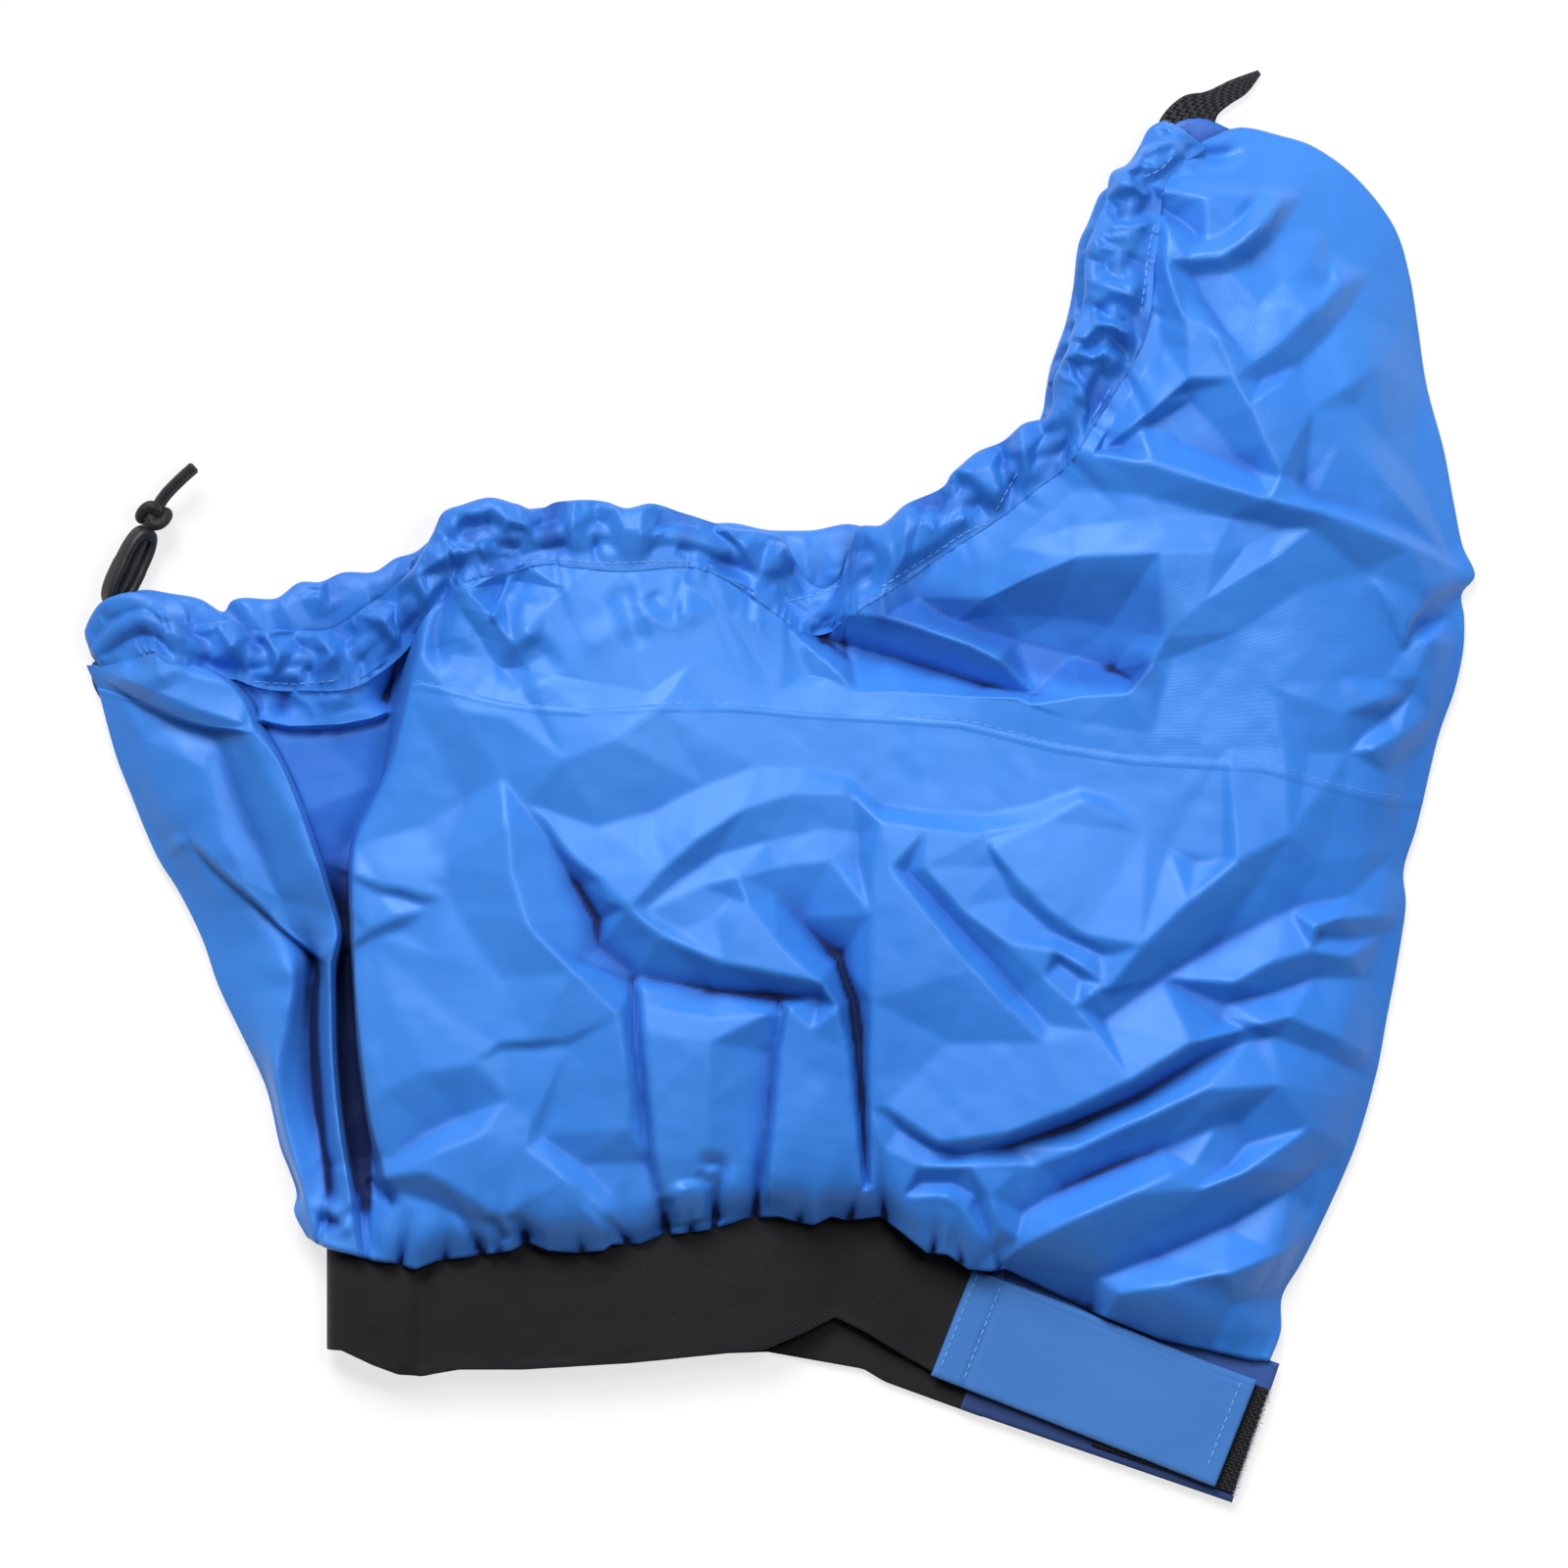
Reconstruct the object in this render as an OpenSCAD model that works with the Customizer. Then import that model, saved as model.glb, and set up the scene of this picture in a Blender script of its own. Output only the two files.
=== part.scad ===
// Kayak spray skirt, laid flat on its back the way it is put down after use.
// The cockpit rim is at the top (+Y), the waistband at the bottom (-Y), and +Z is up off the floor.
// The front layer of cloth is one curved sheet drawn by a net of folds. The back layer lies flat
// on the floor. Both end in the gathered hem that holds the elastic cord.

/* [Cloth] */
// Width of the laid skirt, from the left tip to the right fold
skirt_w = 654; // [560:2:720]
// Length of the laid cloth, from the waist seam to the top of the bow lobe
skirt_l = 585; // [500:5:650]
// Height of the highest folds of the front layer
pile_h = 58; // [48:1:70]
// Thickness of the cloth with the air between its plies
cloth_t = 1.6; // [1.2:0.1:2.4]

/* [Rim hem and elastic cord] */
// Half width of the gathered hem along its run
hem_r = 13; // [11:0.5:13]
// Half width of the gathered hem where it closes at the two tips
hem_tip_r = 8; // [7.5:0.5:9]
// Depth of the gathers in the hem
gather_depth = 1.4; // [0.4:0.2:1.8]
// Gathers along each half of the hem
gather_count = 22; // [14:1:24]
// Diameter of the elastic cord
cord_d = 6; // [4:0.5:6]
// Clearance round the elastic cord inside the hem
cord_clear = 0.5; // [0.3:0.1:1]

/* [Waistband] */
// Thickness of the waistband
band_t = 4; // [3:0.5:4.5]
// Height of the folded waistband loop on the floor
band_loop_h = 20; // [18:0.5:22]

/* [Waist closure] */
// Length of the closing tab past its hinge seam
tab_l = 128; // [100:1:130]
// Width of the closing tab
tab_w = 54; // [44:1:56]
// Thickness of the closing tab
tab_t = 2; // [1.5:0.1:2.6]
// Width of the tab's sewn end on the waistband
tab_root_w = 13; // [9:1:14]
// Length of the receiving flap past the waistband's end
flap_l = 135; // [130:1:145]
// Width of the receiving flap
flap_w = 69; // [62:1:72]
// Thickness of the receiving flap
flap_t = 2; // [1.5:0.1:2.6]
// Length of the loop tape under the tab
loop_tape_l = 60; // [40:1:80]
// Length of the hook tape on the receiving flap
hook_tape_l = 70; // [50:1:90]
// Width of both tapes
tape_w = 50; // [36:1:52]
// Thickness of each tape
tape_t = 1.1; // [0.8:0.1:1.6]

/* [Bow grab strap] */
// Width of the grab strap's webbing where it is sewn on
strap_w = 25; // [20:1:26]
// Thickness of the doubled webbing
strap_t = 2.4; // [1.6:0.2:3]

/* [Stern cord hook] */
// Length of the plastic hook ring
hook_l = 42; // [36:1:48]
// Width of the plastic hook ring
hook_w = 17; // [16:0.5:20]
// Wall of the plastic hook ring
hook_wall = 4.5; // [4:0.25:5]
// Depth of the plastic hook ring
hook_depth = 9.5; // [8.5:0.5:12]
// Clearance of the cord in the ring's bores
bore_clear = 0.4; // [0.2:0.1:0.6]
// Radius of the stopper knot's turns
knot_r = 5; // [4:0.5:6]

/* [Hidden] */

// The net is drawn at this size, and the driving dimensions stretch it.
drawn_w = 654;
drawn_l = 585;
drawn_h = 58;
sx = skirt_w / drawn_w;
sy = skirt_l / drawn_l;
sz = pile_h / drawn_h;

touch = 0.05;    // gap between sewn pieces that lie flat on each other
swing = 0.5;     // gap across a hinge seam
hem_gap = 0.9;   // gap between the hem and the edge of the cloth, which is drawn in straight facets
hem_flat = 0.6;  // height of the hem's section over its width
step_u = 4;      // facets between two fold lines of the net
step_v = 4;      // facets between two rows of the net

// Fold lines of the front layer from left to right, each from the waist lip up to the deck seam.
// A point is [x, y, height of the cloth's upper face].
tunnel_net = [
  [[-220,-210,18],[-227,-196,12],[-240,-142,5.5],[-266,-80,5.5],[-297,-20,5.5],[-315,32,5.5]],
  [[-208,-213,25],[-212,-198,29],[-232,-142,15],[-247,-80,16],[-270,-20,22],[-282,31,24]],
  [[-196,-216,26],[-200,-200,31],[-217,-142,26],[-213,-80,30],[-221,-20,36],[-246,29,36]],
  [[-188,-217,26],[-191,-203,28],[-203,-142,9],[-206,-80,9],[-210,-20,9],[-214,24,12]],
  [[-181,-218,26],[-184,-204,30],[-194,-142,9],[-200,-80,9],[-202,-20,9],[-188,30,13]],
  [[-172,-219,26],[-175,-204,35],[-186,-142,38],[-193,-80,38],[-192,-20,38],[-172,46,38]],
  [[-130,-216,26],[-131,-198,42],[-135,-140,50],[-135,-80,50],[-135,-20,50],[-132,39,48]],
  [[-82,-214,26],[-83,-196,44],[-85,-140,53],[-85,-80,56],[-85,-20,57],[-82,35,52]],
  [[-34,-205,26],[-34,-188,42],[-36,-135,51],[-36,-80,55],[-36,-20,56],[-33,36,50]],
  [[12,-201,24],[12,-186,40],[10,-135,48],[10,-80,51],[10,-20,50],[16,36,45]],
  [[42,-201,22],[43,-186,36],[43,-135,46],[44,-80,51],[46,-20,50],[60,33,42]],
  [[80,-216,26],[86,-200,38],[98,-135,48],[104,-80,50],[106,-20,48],[118,20,46]],
  [[120,-229,16],[132,-212,34],[155,-135,49],[165,-80,50],[168,-20,48],[180,10,46]],
  [[165,-246,10],[178,-230,34],[210,-135,44],[222,-80,42],[228,-20,42],[235,4,42]],
  [[205,-258,6],[216,-242,28],[252,-135,30],[264,-80,28],[270,-20,28],[274,-1,30]],
  [[230,-265,5],[236,-246,5.5],[278,-140,5.5],[290,-80,5.5],[297,-20,5.5],[302,-5,5.5]]];

// The same fold lines above the deck seam, up to the stitch line of the hem.
deck_net = [
  [[-320,44,5.5],[-325,55,7],[-325,62,14],[-318,67,26]],
  [[-287,40,28],[-293,50,34],[-299,60,36],[-303,68,32]],
  [[-254,40,36],[-263,50,36],[-274,58,35],[-283,65,32]],
  [[-218,34,24],[-224,40,26],[-229,45,27],[-232,50,27]],
  [[-186,38,20],[-186,44,24],[-188,50,27],[-190,56,27]],
  [[-170,60,38],[-167,74,38],[-162,88,38],[-156,99,36]],
  [[-132,55,47],[-131,70,46],[-129,86,43],[-126,101,38]],
  [[-82,52,50],[-81,70,47],[-80,88,43],[-78,105,38]],
  [[-34,53,45],[-36,71,43],[-37,89,41],[-38,104,37]],
  [[20,48,38],[15,60,32],[10,71,28],[6,81,27]],
  [[54,55,36],[44,76,32],[44,90,33],[46,101,36]],
  [[122,55,48],[120,90,50],[112,112,48],[98,127,41]],
  [[182,65,48],[180,120,55],[168,152,54],[148,174,48]],
  [[238,85,46],[225,165,57],[198,205,57],[170,220,51]],
  [[284,95,34],[262,200,47],[220,255,50],[176,264,44]],
  [[326,99,6],[303,200,6],[262,294,8],[200,300,30]]];

// Main folds of the front layer: [height, half width, points [x, y] along the crest]. A valley has
// a height below 0.
main_folds = [
  [9, 20, [[-127,-18],[-125,-42],[-118,-64],[-95,-87],[-74,-107]]],
  [-9, 20, [[-106,-27],[-94,-46],[-85,-62],[-92,-82]]],
  [-7, 22, [[-100,-16],[-60,-12],[-35,0],[0,8]]],
  [8, 15, [[-70,-57],[-38,-25],[8,-3]]],
  [8, 15, [[-70,-57],[-25,-83],[20,-92]]],
  [-8, 18, [[-80,-94],[0,-104]]],
  [10, 15, [[-19,-43],[0,-73],[20,-92],[30,-115],[36,-150]]],
  [-11, 14, [[28,-80],[36,-100],[38,-125],[39,-146]]],
  [6, 12, [[47,-20],[44,-60],[44,-100],[44,-180]]],
  [-6, 12, [[-67,-112],[-63,-146],[-57,-195]]],
  [-6, 12, [[-2,-125],[-6,-170],[-9,-195]]],
  [7, 22, [[150,-92],[192,-54],[240,-26]]],
  [-7, 22, [[165,-102],[205,-75],[250,-57]]],
  [10, 18, [[50,-152],[107,-162],[165,-137],[226,-112]]],
  [-8, 16, [[90,-176],[138,-162],[197,-133]]],
  [8, 16, [[140,-172],[200,-144],[245,-142]]],
  [-6, 16, [[115,-200],[158,-178],[205,-160]]],
  [11, 18, [[112,-218],[140,-203],[184,-184]]],
  [-5, 18, [[160,-228],[210,-207],[245,-184]]],
  [-8, 18, [[210,-101],[262,-92]]],
  [11, 16, [[34,80],[70,74],[104,59]]],
  [-7, 16, [[36,66],[75,58],[120,48]]],
  [-8, 22, [[92,83],[125,78],[165,72]]],
  [-5, 18, [[125,62],[158,50]]],
  [6, 14, [[163,43],[181,70],[230,105],[250,121]]],
  [8, 16, [[110,93],[150,97],[218,112]]],
  [8, 18, [[125,115],[190,124],[246,123]]],
  [8, 24, [[128,156],[175,151],[230,134],[290,114]]],
  [-5, 18, [[156,172],[222,149]]],
  [9, 16, [[203,203],[221,178],[243,136]]],
  [8, 14, [[188,246],[218,255],[237,276]]],
  [-8, 16, [[277,240],[257,211]]],
  [11, 16, [[-22,98],[3,76],[30,52]]],
  [-8, 12, [[-2,94],[20,70]]],
  [-5, 14, [[-140,70],[-122,48]]],
  [6, 14, [[-142,90],[-116,56]]],
  [6, 16, [[-246,18],[-224,-30]]],
  [5, 16, [[-294,18],[-252,-80]]]];

// Rim edge of the back layer, from the left tip to the right tip.
back_rim = [[-306,58],[-262,60],[-240,64],[-205,76],[-180,83],[-150,95],[-117,101],[-80,103],
            [-28,93],[10,92],[40,95],[72,110],[105,131],[136,158],[154,190],[165,225],[174,262],
            [182,285]];
// Deck seam of the back layer, from left to right.
back_seam = [[-315,32],[-200,30],[-33,36],[118,20],[235,4],[302,-5]];
// Folds of the back layer: the bow lobe above the seam, and both sides below it.
back_bow = [[326,99],[303,200],[286,262],[262,292],[238,304],[208,314],[176,314],[172,303],
            [182,297]];
back_tip = [[-325,52]];
back_left = [[-297,-20],[-266,-80],[-240,-142],[-226,-195.5]];
back_right = [[297,-20],[290,-80],[278,-140],[236,-246],[231,-265],[124,-231],[108,-225],
              [40,-203],[-6,-196.5],[-203,-195.5]];

// Folded waistband, in plan: the upper run and the run on the floor, from the left fold.
fold_x = -203;
fold_top = -197;
fold_low = -265;
band_front = [[fold_x,fold_top],[-6,-197],[27,-194],[60,-202],[104,-232],[86,-281],[73,-276],
              [60,-266],[27,-249],[-6,-265],[-90,-272],[-170,-277],[-195,-268],
              [fold_x,fold_low]];
band_back = [[fold_x,fold_top],[-6,-198],[40,-205],[108,-228],[122,-234],[97,-297],[83,-292],
             [40,-274],[-6,-266],[-60,-268],[fold_x,fold_low]];
// Top of the upper run in section, from the left fold to the tab: [x, distance below the top].
band_crest = [[fold_x,0],[-150,1],[-6,1],[27,9],[50,8],[66,12],[110,12]];

// Corner of the closing tab and of the receiving flap nearest the cloth, and their headings.
tab_at = [104, -231.5];
tab_heading = -21.5;
flap_at = [108, -227.5];
flap_heading = -19;

// Grab strap in plan: its sewn end, and the folded webbing past the hinge line.
strap_hinge = [192, 315];
strap_left = 180;
strap_sewn = 13;
strap_outline = [[180,315.5],[190,324],[200,325],[210,330],[225,337],[226,335],[219,325],
                 [215,324],[205,315.5]];

// Hook ring: start of its bore from the back hem's mouth, heading, and roll about the cord.
ring_from_mouth = [-8, 16];
ring_heading = 64;
ring_roll = 40;

// Way of the cord's end past the ring, along the ring, across it and up.
tail_way = [[10,0.5,0],[20,0,1],[30,-3,3],[40,-7,4]];

// ---------- functions ----------

// A row past the end continues the last step, so that the ends of the net are kept.
function pick(a, i) = i < 0 ? 2 * a[0] - a[1]
                    : i >= len(a) ? 2 * a[len(a) - 1] - a[len(a) - 2] : a[i];
function part_of(n, t) = min(floor(t), n - 2);

// Catmull-Rom blend, which passes through every point.
function through(a, t) =
  let (i = part_of(len(a), t), f = t - i, p = pick(a, i - 1), q = pick(a, i),
       r = pick(a, i + 1), s = pick(a, i + 2))
  0.5 * (2 * q + (r - p) * f + (2 * p - 5 * q + 4 * r - s) * f * f
         + (3 * q - p - 3 * r + s) * f * f * f);

// Uniform B-spline blend, which never overshoots a valley.
function under(a, t) =
  let (i = part_of(len(a), t), f = t - i, g = 1 - f, p = pick(a, i - 1), q = pick(a, i),
       r = pick(a, i + 1), s = pick(a, i + 2))
  (g * g * g * p + (3 * f * f * f - 6 * f * f + 4) * q
   + (3 * g * g * g - 6 * g * g + 4) * r + f * f * f * s) / 6;

// Distance of [x, y] from the stretch between the points a and b.
function off_line(x, y, a, b) =
  let (d = b - a, t = max(0, min(1, ((x - a[0]) * d[0] + (y - a[1]) * d[1]) / (d * d))))
  norm([x - a[0] - t * d[0], y - a[1] - t * d[1]]);
// Sum of the main folds at [x, y]: each rises as (1 - (distance / half width)^2)^2 to its crest.
function fold_height(x, y, k = 0) = k == len(main_folds) ? 0 :
  let (f = main_folds[k], c = f[2], d = min([for (m = [1:len(c) - 1]) off_line(x, y, c[m - 1], c[m])]),
       q = 1 - pow(min(d / f[1], 1), 2))
  f[0] * q * q + fold_height(x, y, k + 1);
// Share of the folds at a point of the grid: it fades over the last step to each edge.
function fold_share(i, j) =
  max(0, min(1, i / step_u - 0.5, (nu - i) / step_u - 0.5, j / step_v - 0.3, (nv - j) / step_v));

function full_net() = [for (i = [0:len(tunnel_net) - 1]) concat(tunnel_net[i], deck_net[i])];
net = full_net();
cols = len(net);
rows = len(net[0]);
seam_row = len(tunnel_net[0]) - 1;
nu = (cols - 1) * step_u;
nv = (rows - 1) * step_v;
seam_v = seam_row * step_v;

// Upper face of the front layer: first along every fold line, then across them.
lines = [for (j = [0:nv]) [for (c = net)
  let (v = j / step_v, at = through([for (p = c) [p[0] * sx, p[1] * sy]], v))
  [at[0], at[1], under([for (p = c) p[2] * sz], v)]]];
cloth = [for (i = [0:nu]) [for (j = [0:nv])
  let (u = i / step_u, at = through([for (p = lines[j]) [p[0], p[1]]], u),
       share = fold_share(i, j),
       fold = share > 0 ? fold_height(at[0] / sx, at[1] / sy) * sz * share : 0)
  [at[0], at[1], under([for (p = lines[j]) p[2]], u) + fold]]];

// Unit normal of the cloth at a point of the grid, from its neighbours.
function normal(i, j) =
  let (a = cloth[min(i + 1, nu)][j] - cloth[max(i - 1, 0)][j],
       b = cloth[i][min(j + 1, nv)] - cloth[i][max(j - 1, 0)],
       n = cross(a, b))
  n / norm(n);
normals = [for (i = [0:nu]) [for (j = [0:nv]) normal(i, j)]];

function slice(g, from, to) = [for (i = [0:nu]) [for (j = [from:to]) g[i][j]]];
function scaled(a) = [for (p = a) [p[0] * sx, p[1] * sy]];
function smooth(a, per) = [for (k = [0:(len(a) - 1) * per]) through(a, k / per)];
function reversed(a) = [for (i = [len(a) - 1:-1:0]) a[i]];
function along(a, i) =
  let (d = a[min(i + 1, len(a) - 1)] - a[max(i - 1, 0)]) d / norm(d);
function left_of(d) = [-d[1], d[0], 0] / norm([d[0], d[1]]);

// Half width of the hem at a share of its run: it narrows to both tips.
function hem_size(s) =
  let (f = min(1, min(s, 1 - s) / 0.07)) hem_tip_r + (hem_r - hem_tip_r) * f;
function hem_ripple(s) =
  gather_depth * min(1, min(s, 1 - s) / 0.07) * (0.5 - 0.5 * sin(360 * gather_count * s));

// Middle line of a hem sewn to an edge: half a hem's width outside that edge.
function hem_line(edge, drop) =
  [for (i = [0:len(edge) - 1])
    let (s = i / (len(edge) - 1), p = edge[i], d = along([for (q = edge) [q[0], q[1]]], i))
    [p[0], p[1], p[2] - drop] + (hem_size(s) + hem_gap) * left_of(d)];

rim_line = [for (p = cloth) p[nv]];
rim_fine = smooth(rim_line, 2);
front_line = hem_line(rim_fine, cloth_t / 2);
back_z = hem_r * hem_flat + 0.2;
back_edge = [for (p = smooth(scaled(back_rim), 5)) [p[0], p[1], back_z]];
back_line = hem_line(back_edge, 0);
// Lowest top of the waistband's upper run, which leaves room for the flap and the two tapes.
band_low = band_t + flap_t + tape_t * 2 + touch * 4;
ring_z = norm([hook_w / 2, hook_depth / 2]) + 0.3;

// The elastic cord from the ring, round the back hem, up at the bow and down the front hem.
stern_mouth = back_line[0];
bow_mouth = back_line[len(back_line) - 1];
bow_top = front_line[len(front_line) - 1];
bow_out = along(front_line, len(front_line) - 1);
ring_at = [stern_mouth[0] + ring_from_mouth[0], stern_mouth[1] + ring_from_mouth[1], ring_z];
stern_way = [ring_at, ring_at + [-2.5, -5, -0.7], stern_mouth + [-11.5, 6, 0.7],
             stern_mouth + [-8, 1, 0]];
bow_way = [bow_mouth + [3.4, 10, 0], bow_mouth + [7.4, 19, 3],
           (bow_mouth + bow_top) / 2 + [2, 15.6, -1.6], bow_top + bow_out * 8.5 - [0, 0, 2],
           bow_top + bow_out * 4, bow_top + bow_out];
stern_line = smooth(stern_way, 3);
bow_line = smooth(bow_way, 3);
cord_line = concat(stern_line, back_line, bow_line, reversed(front_line));

// ---------- shapes ----------

// A sheet between a grid of points and the same grid moved in by the cloth's thickness.
module sheet(g, n) {
  w = len(g);
  h = len(g[0]);
  k = w * h;
  outer = [for (i = [0:w - 1]) for (j = [0:h - 1]) g[i][j]];
  inner = [for (i = [0:w - 1]) for (j = [0:h - 1]) g[i][j] - cloth_t * n[i][j]];
  quads = concat(
    [for (i = [0:w - 2]) for (j = [0:h - 2])
      [i * h + j, i * h + j + 1, i * h + h + j + 1, i * h + h + j]],
    [for (i = [0:w - 2]) for (j = [0:h - 2])
      [k + i * h + h + j, k + i * h + h + j + 1, k + i * h + j + 1, k + i * h + j]],
    [for (i = [0:w - 2]) [i * h, i * h + h, k + i * h + h, k + i * h]],
    [for (i = [0:w - 2]) let (a = i * h + h - 1) [k + a, k + a + h, a + h, a]],
    [for (j = [0:h - 2]) [k + j, k + j + 1, j + 1, j]],
    [for (j = [0:h - 2]) let (a = (w - 1) * h + j) [a, a + 1, k + a + 1, k + a]]);
  faces = [for (q = quads) each [[q[0], q[1], q[2]], [q[0], q[2], q[3]]]];
  polyhedron(points = concat(outer, inner), faces = faces, convexity = 10);
}

// One ring of a flattened tube, square to its path and level across.
function level_ring(a, i, wide, high, sides) =
  let (t = along(a, i), s = cross([0, 0, 1], t), x = s / norm(s), y = cross(t, x))
  [for (k = [0:sides - 1])
    a[i] + wide * cos(360 * k / sides) * x + high * sin(360 * k / sides) * y];

// Side direction carried along a path without twist.
function carried(a, i, x) =
  i >= len(a) ? [] :
  let (t = along(a, i), p = x - (x * t) * t, q = p / norm(p))
  concat([q], carried(a, i + 1, q));

// Triangles of a tube's wall between rings numbered from a first point.
function wall(m, sides, first) =
  [for (i = [0:m - 2]) for (k = [0:sides - 1])
    let (a = first + i * sides + k, b = first + i * sides + (k + 1) % sides)
    each [[a, a + sides, b + sides], [a, b + sides, b]]];
function flipped(f) = [for (t = f) [t[0], t[2], t[1]]];

// A round cord along a path, with flat ends.
module cord(a, r, sides) {
  m = len(a);
  x = carried(a, 0, [0, 0, 1]);
  points = [for (i = [0:m - 1]) for (k = [0:sides - 1])
    a[i] + r * cos(360 * k / sides) * x[i] + r * sin(360 * k / sides) * cross(along(a, i), x[i])];
  polyhedron(
    points = points,
    faces = concat([[for (k = [0:sides - 1]) k]],
                   [[for (k = [0:sides - 1]) m * sides - 1 - k]],
                   wall(m, sides, 0)),
    convexity = 10);
}

// A gathered hem along a path, with a bore for the elastic cord.
module hem(a, sides) {
  m = len(a);
  k0 = m * sides;
  e = k0 - sides;
  bore = cord_d / 2 + cord_clear;
  outer = [for (i = [0:m - 1])
    let (s = i / (m - 1), r = hem_size(s) - hem_ripple(s))
    each level_ring(a, i, r, r * hem_flat, sides)];
  inner = [for (i = [0:m - 1]) each level_ring(a, i, bore, bore, sides)];
  polyhedron(
    points = concat(outer, inner),
    faces = concat(
      wall(m, sides, 0),
      flipped(wall(m, sides, k0)),
      [for (k = [0:sides - 1]) let (b = (k + 1) % sides)
        each [[k, b, k0 + b], [k, k0 + b, k0 + k]]],
      [for (k = [0:sides - 1]) let (b = (k + 1) % sides)
        each [[e + k, k0 + e + b, e + b], [e + k, k0 + e + k, k0 + e + b]]]),
    convexity = 10);
}

// A flat strip that starts at a corner and runs along a heading, to its right-hand side.
module strip(at, heading, from, to, side, width, z, t) {
  translate([at[0] * sx, at[1] * sy, z])
    rotate([0, 0, heading])
      translate([from, -side - width, 0])
        cube([to - from, width, t]);
}

// ---------- sub-parts ----------

module tunnel_front() {
  color("RoyalBlue")
    sheet(slice(cloth, 0, seam_v), slice(normals, 0, seam_v));
}

module deck_front() {
  color("DodgerBlue")
    sheet(slice(cloth, seam_v, nv), slice(normals, seam_v, nv));
}

module tunnel_back() {
  color("RoyalBlue")
    linear_extrude(height = cloth_t)
      polygon(concat(scaled(back_seam), scaled(back_right), reversed(scaled(back_left))));
}

module deck_back() {
  color("DodgerBlue")
    linear_extrude(height = cloth_t)
      polygon(concat(scaled(back_rim), reversed(scaled(back_bow)), reversed(scaled(back_seam)),
                     scaled(back_tip)));
}

module hem_front() {
  color("SteelBlue")
    hem(front_line, 10);
}

module hem_back() {
  color("SteelBlue")
    hem(back_line, 10);
}

module rim_cord() {
  color("DimGray")
    cord(cord_line, cord_d / 2, 8);
}

module waistband() {
  fold = band_loop_h / 2;
  fold_len = (fold_top - fold_low) * sy;
  color("Black") {
    linear_extrude(height = band_t)
      polygon(scaled(band_back));
    intersection() {
      linear_extrude(height = band_loop_h + 1)
        polygon(scaled(band_front));
      rotate([90, 0, 0])
        linear_extrude(height = skirt_l)
          polygon(concat(
            [for (p = band_crest) [p[0] * sx, max(band_loop_h - p[1], band_low)]],
            [for (p = reversed(band_crest))
              [p[0] * sx, max(band_loop_h - p[1], band_low) - band_t]]));
    }
    translate([fold_x * sx, fold_top * sy, fold])
      rotate([90, 0, 0])
        difference() {
          cylinder(h = fold_len, r = fold, $fn = 48);
          translate([0, 0, -1])
            cylinder(h = fold_len + 2, r = fold - band_t, $fn = 48);
          translate([0, -fold - 1, -1])
            cube([fold + 1, band_loop_h + 2, fold_len + 2]);
        }
  }
}

root_z = band_low + touch;
flap_z = band_t + touch;

module receiving_flap() {
  color("MidnightBlue")
    strip(flap_at, flap_heading, 0, flap_l, 0, flap_w, flap_z, flap_t);
}

module hook_tape() {
  color("Black")
    strip(flap_at, flap_heading, flap_l - hook_tape_l - 1, flap_l - 1, flap_w - tape_w - 4,
          tape_w, flap_z + flap_t + touch, tape_t);
}

module tab_root() {
  color("CornflowerBlue")
    strip(tab_at, tab_heading, -tab_root_w, 0, 0, tab_w, root_z, tab_t);
}

module waist_tab() {
  color("CornflowerBlue")
    strip(tab_at, tab_heading, swing, tab_l, 0, tab_w, root_z, tab_t);
}

module loop_tape() {
  color("Black")
    strip(tab_at, tab_heading, tab_l - loop_tape_l - 2, tab_l - 2, (tab_w - tape_w) / 2,
          tape_w, root_z - touch - tape_t, tape_t);
}

module grab_strap_root() {
  color("Black")
    translate([strap_left * sx, (strap_hinge[1] - 0.5 - strap_sewn) * sy, cloth_t + touch])
      cube([strap_w, strap_sewn * sy, strap_t]);
}

module grab_strap() {
  color("Black")
    translate([0, 0, cloth_t + touch])
      linear_extrude(height = strap_t)
        polygon(scaled(strap_outline));
}

// Place of the ring's bore: +X runs along the ring from its sewn end.
module at_ring() {
  translate(ring_at)
    rotate([0, 0, ring_heading])
      children();
}

module hook_ring() {
  side = hook_w / 2;
  bore = cord_d / 2 + bore_clear;
  color("Black")
    at_ring()
      rotate([ring_roll, 0, 0])
        difference() {
          translate([0, 0, -hook_depth / 2])
            union() {
              translate([2, -side, 0])
                cube([hook_l - side - 2, hook_w, hook_depth]);
              translate([hook_l - side, 0, 0])
                cylinder(h = hook_depth, r = side, $fn = 48);
            }
          translate([0, 0, -hook_depth])
            union() {
              translate([2 + hook_wall, -side + hook_wall, 0])
                cube([hook_l - side - hook_wall - 2, hook_w - 2 * hook_wall, hook_depth * 2]);
              translate([hook_l - side, 0, 0])
                cylinder(h = hook_depth * 2, r = side - hook_wall, $fn = 48);
            }
          rotate([0, 90, 0])
            translate([0, 0, -1])
              cylinder(h = hook_l + 2, r = bore, $fn = 32);
        }
}

tail_line = smooth(concat([[0.3, 0, 0], [14, 0, 0], [28, 0, 0]],
                          [for (p = tail_way) p + [hook_l - 4, 0, 0]]), 5);

module cord_end() {
  color("DimGray")
    at_ring()
      cord(tail_line, cord_d / 2, 10);
}

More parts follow.
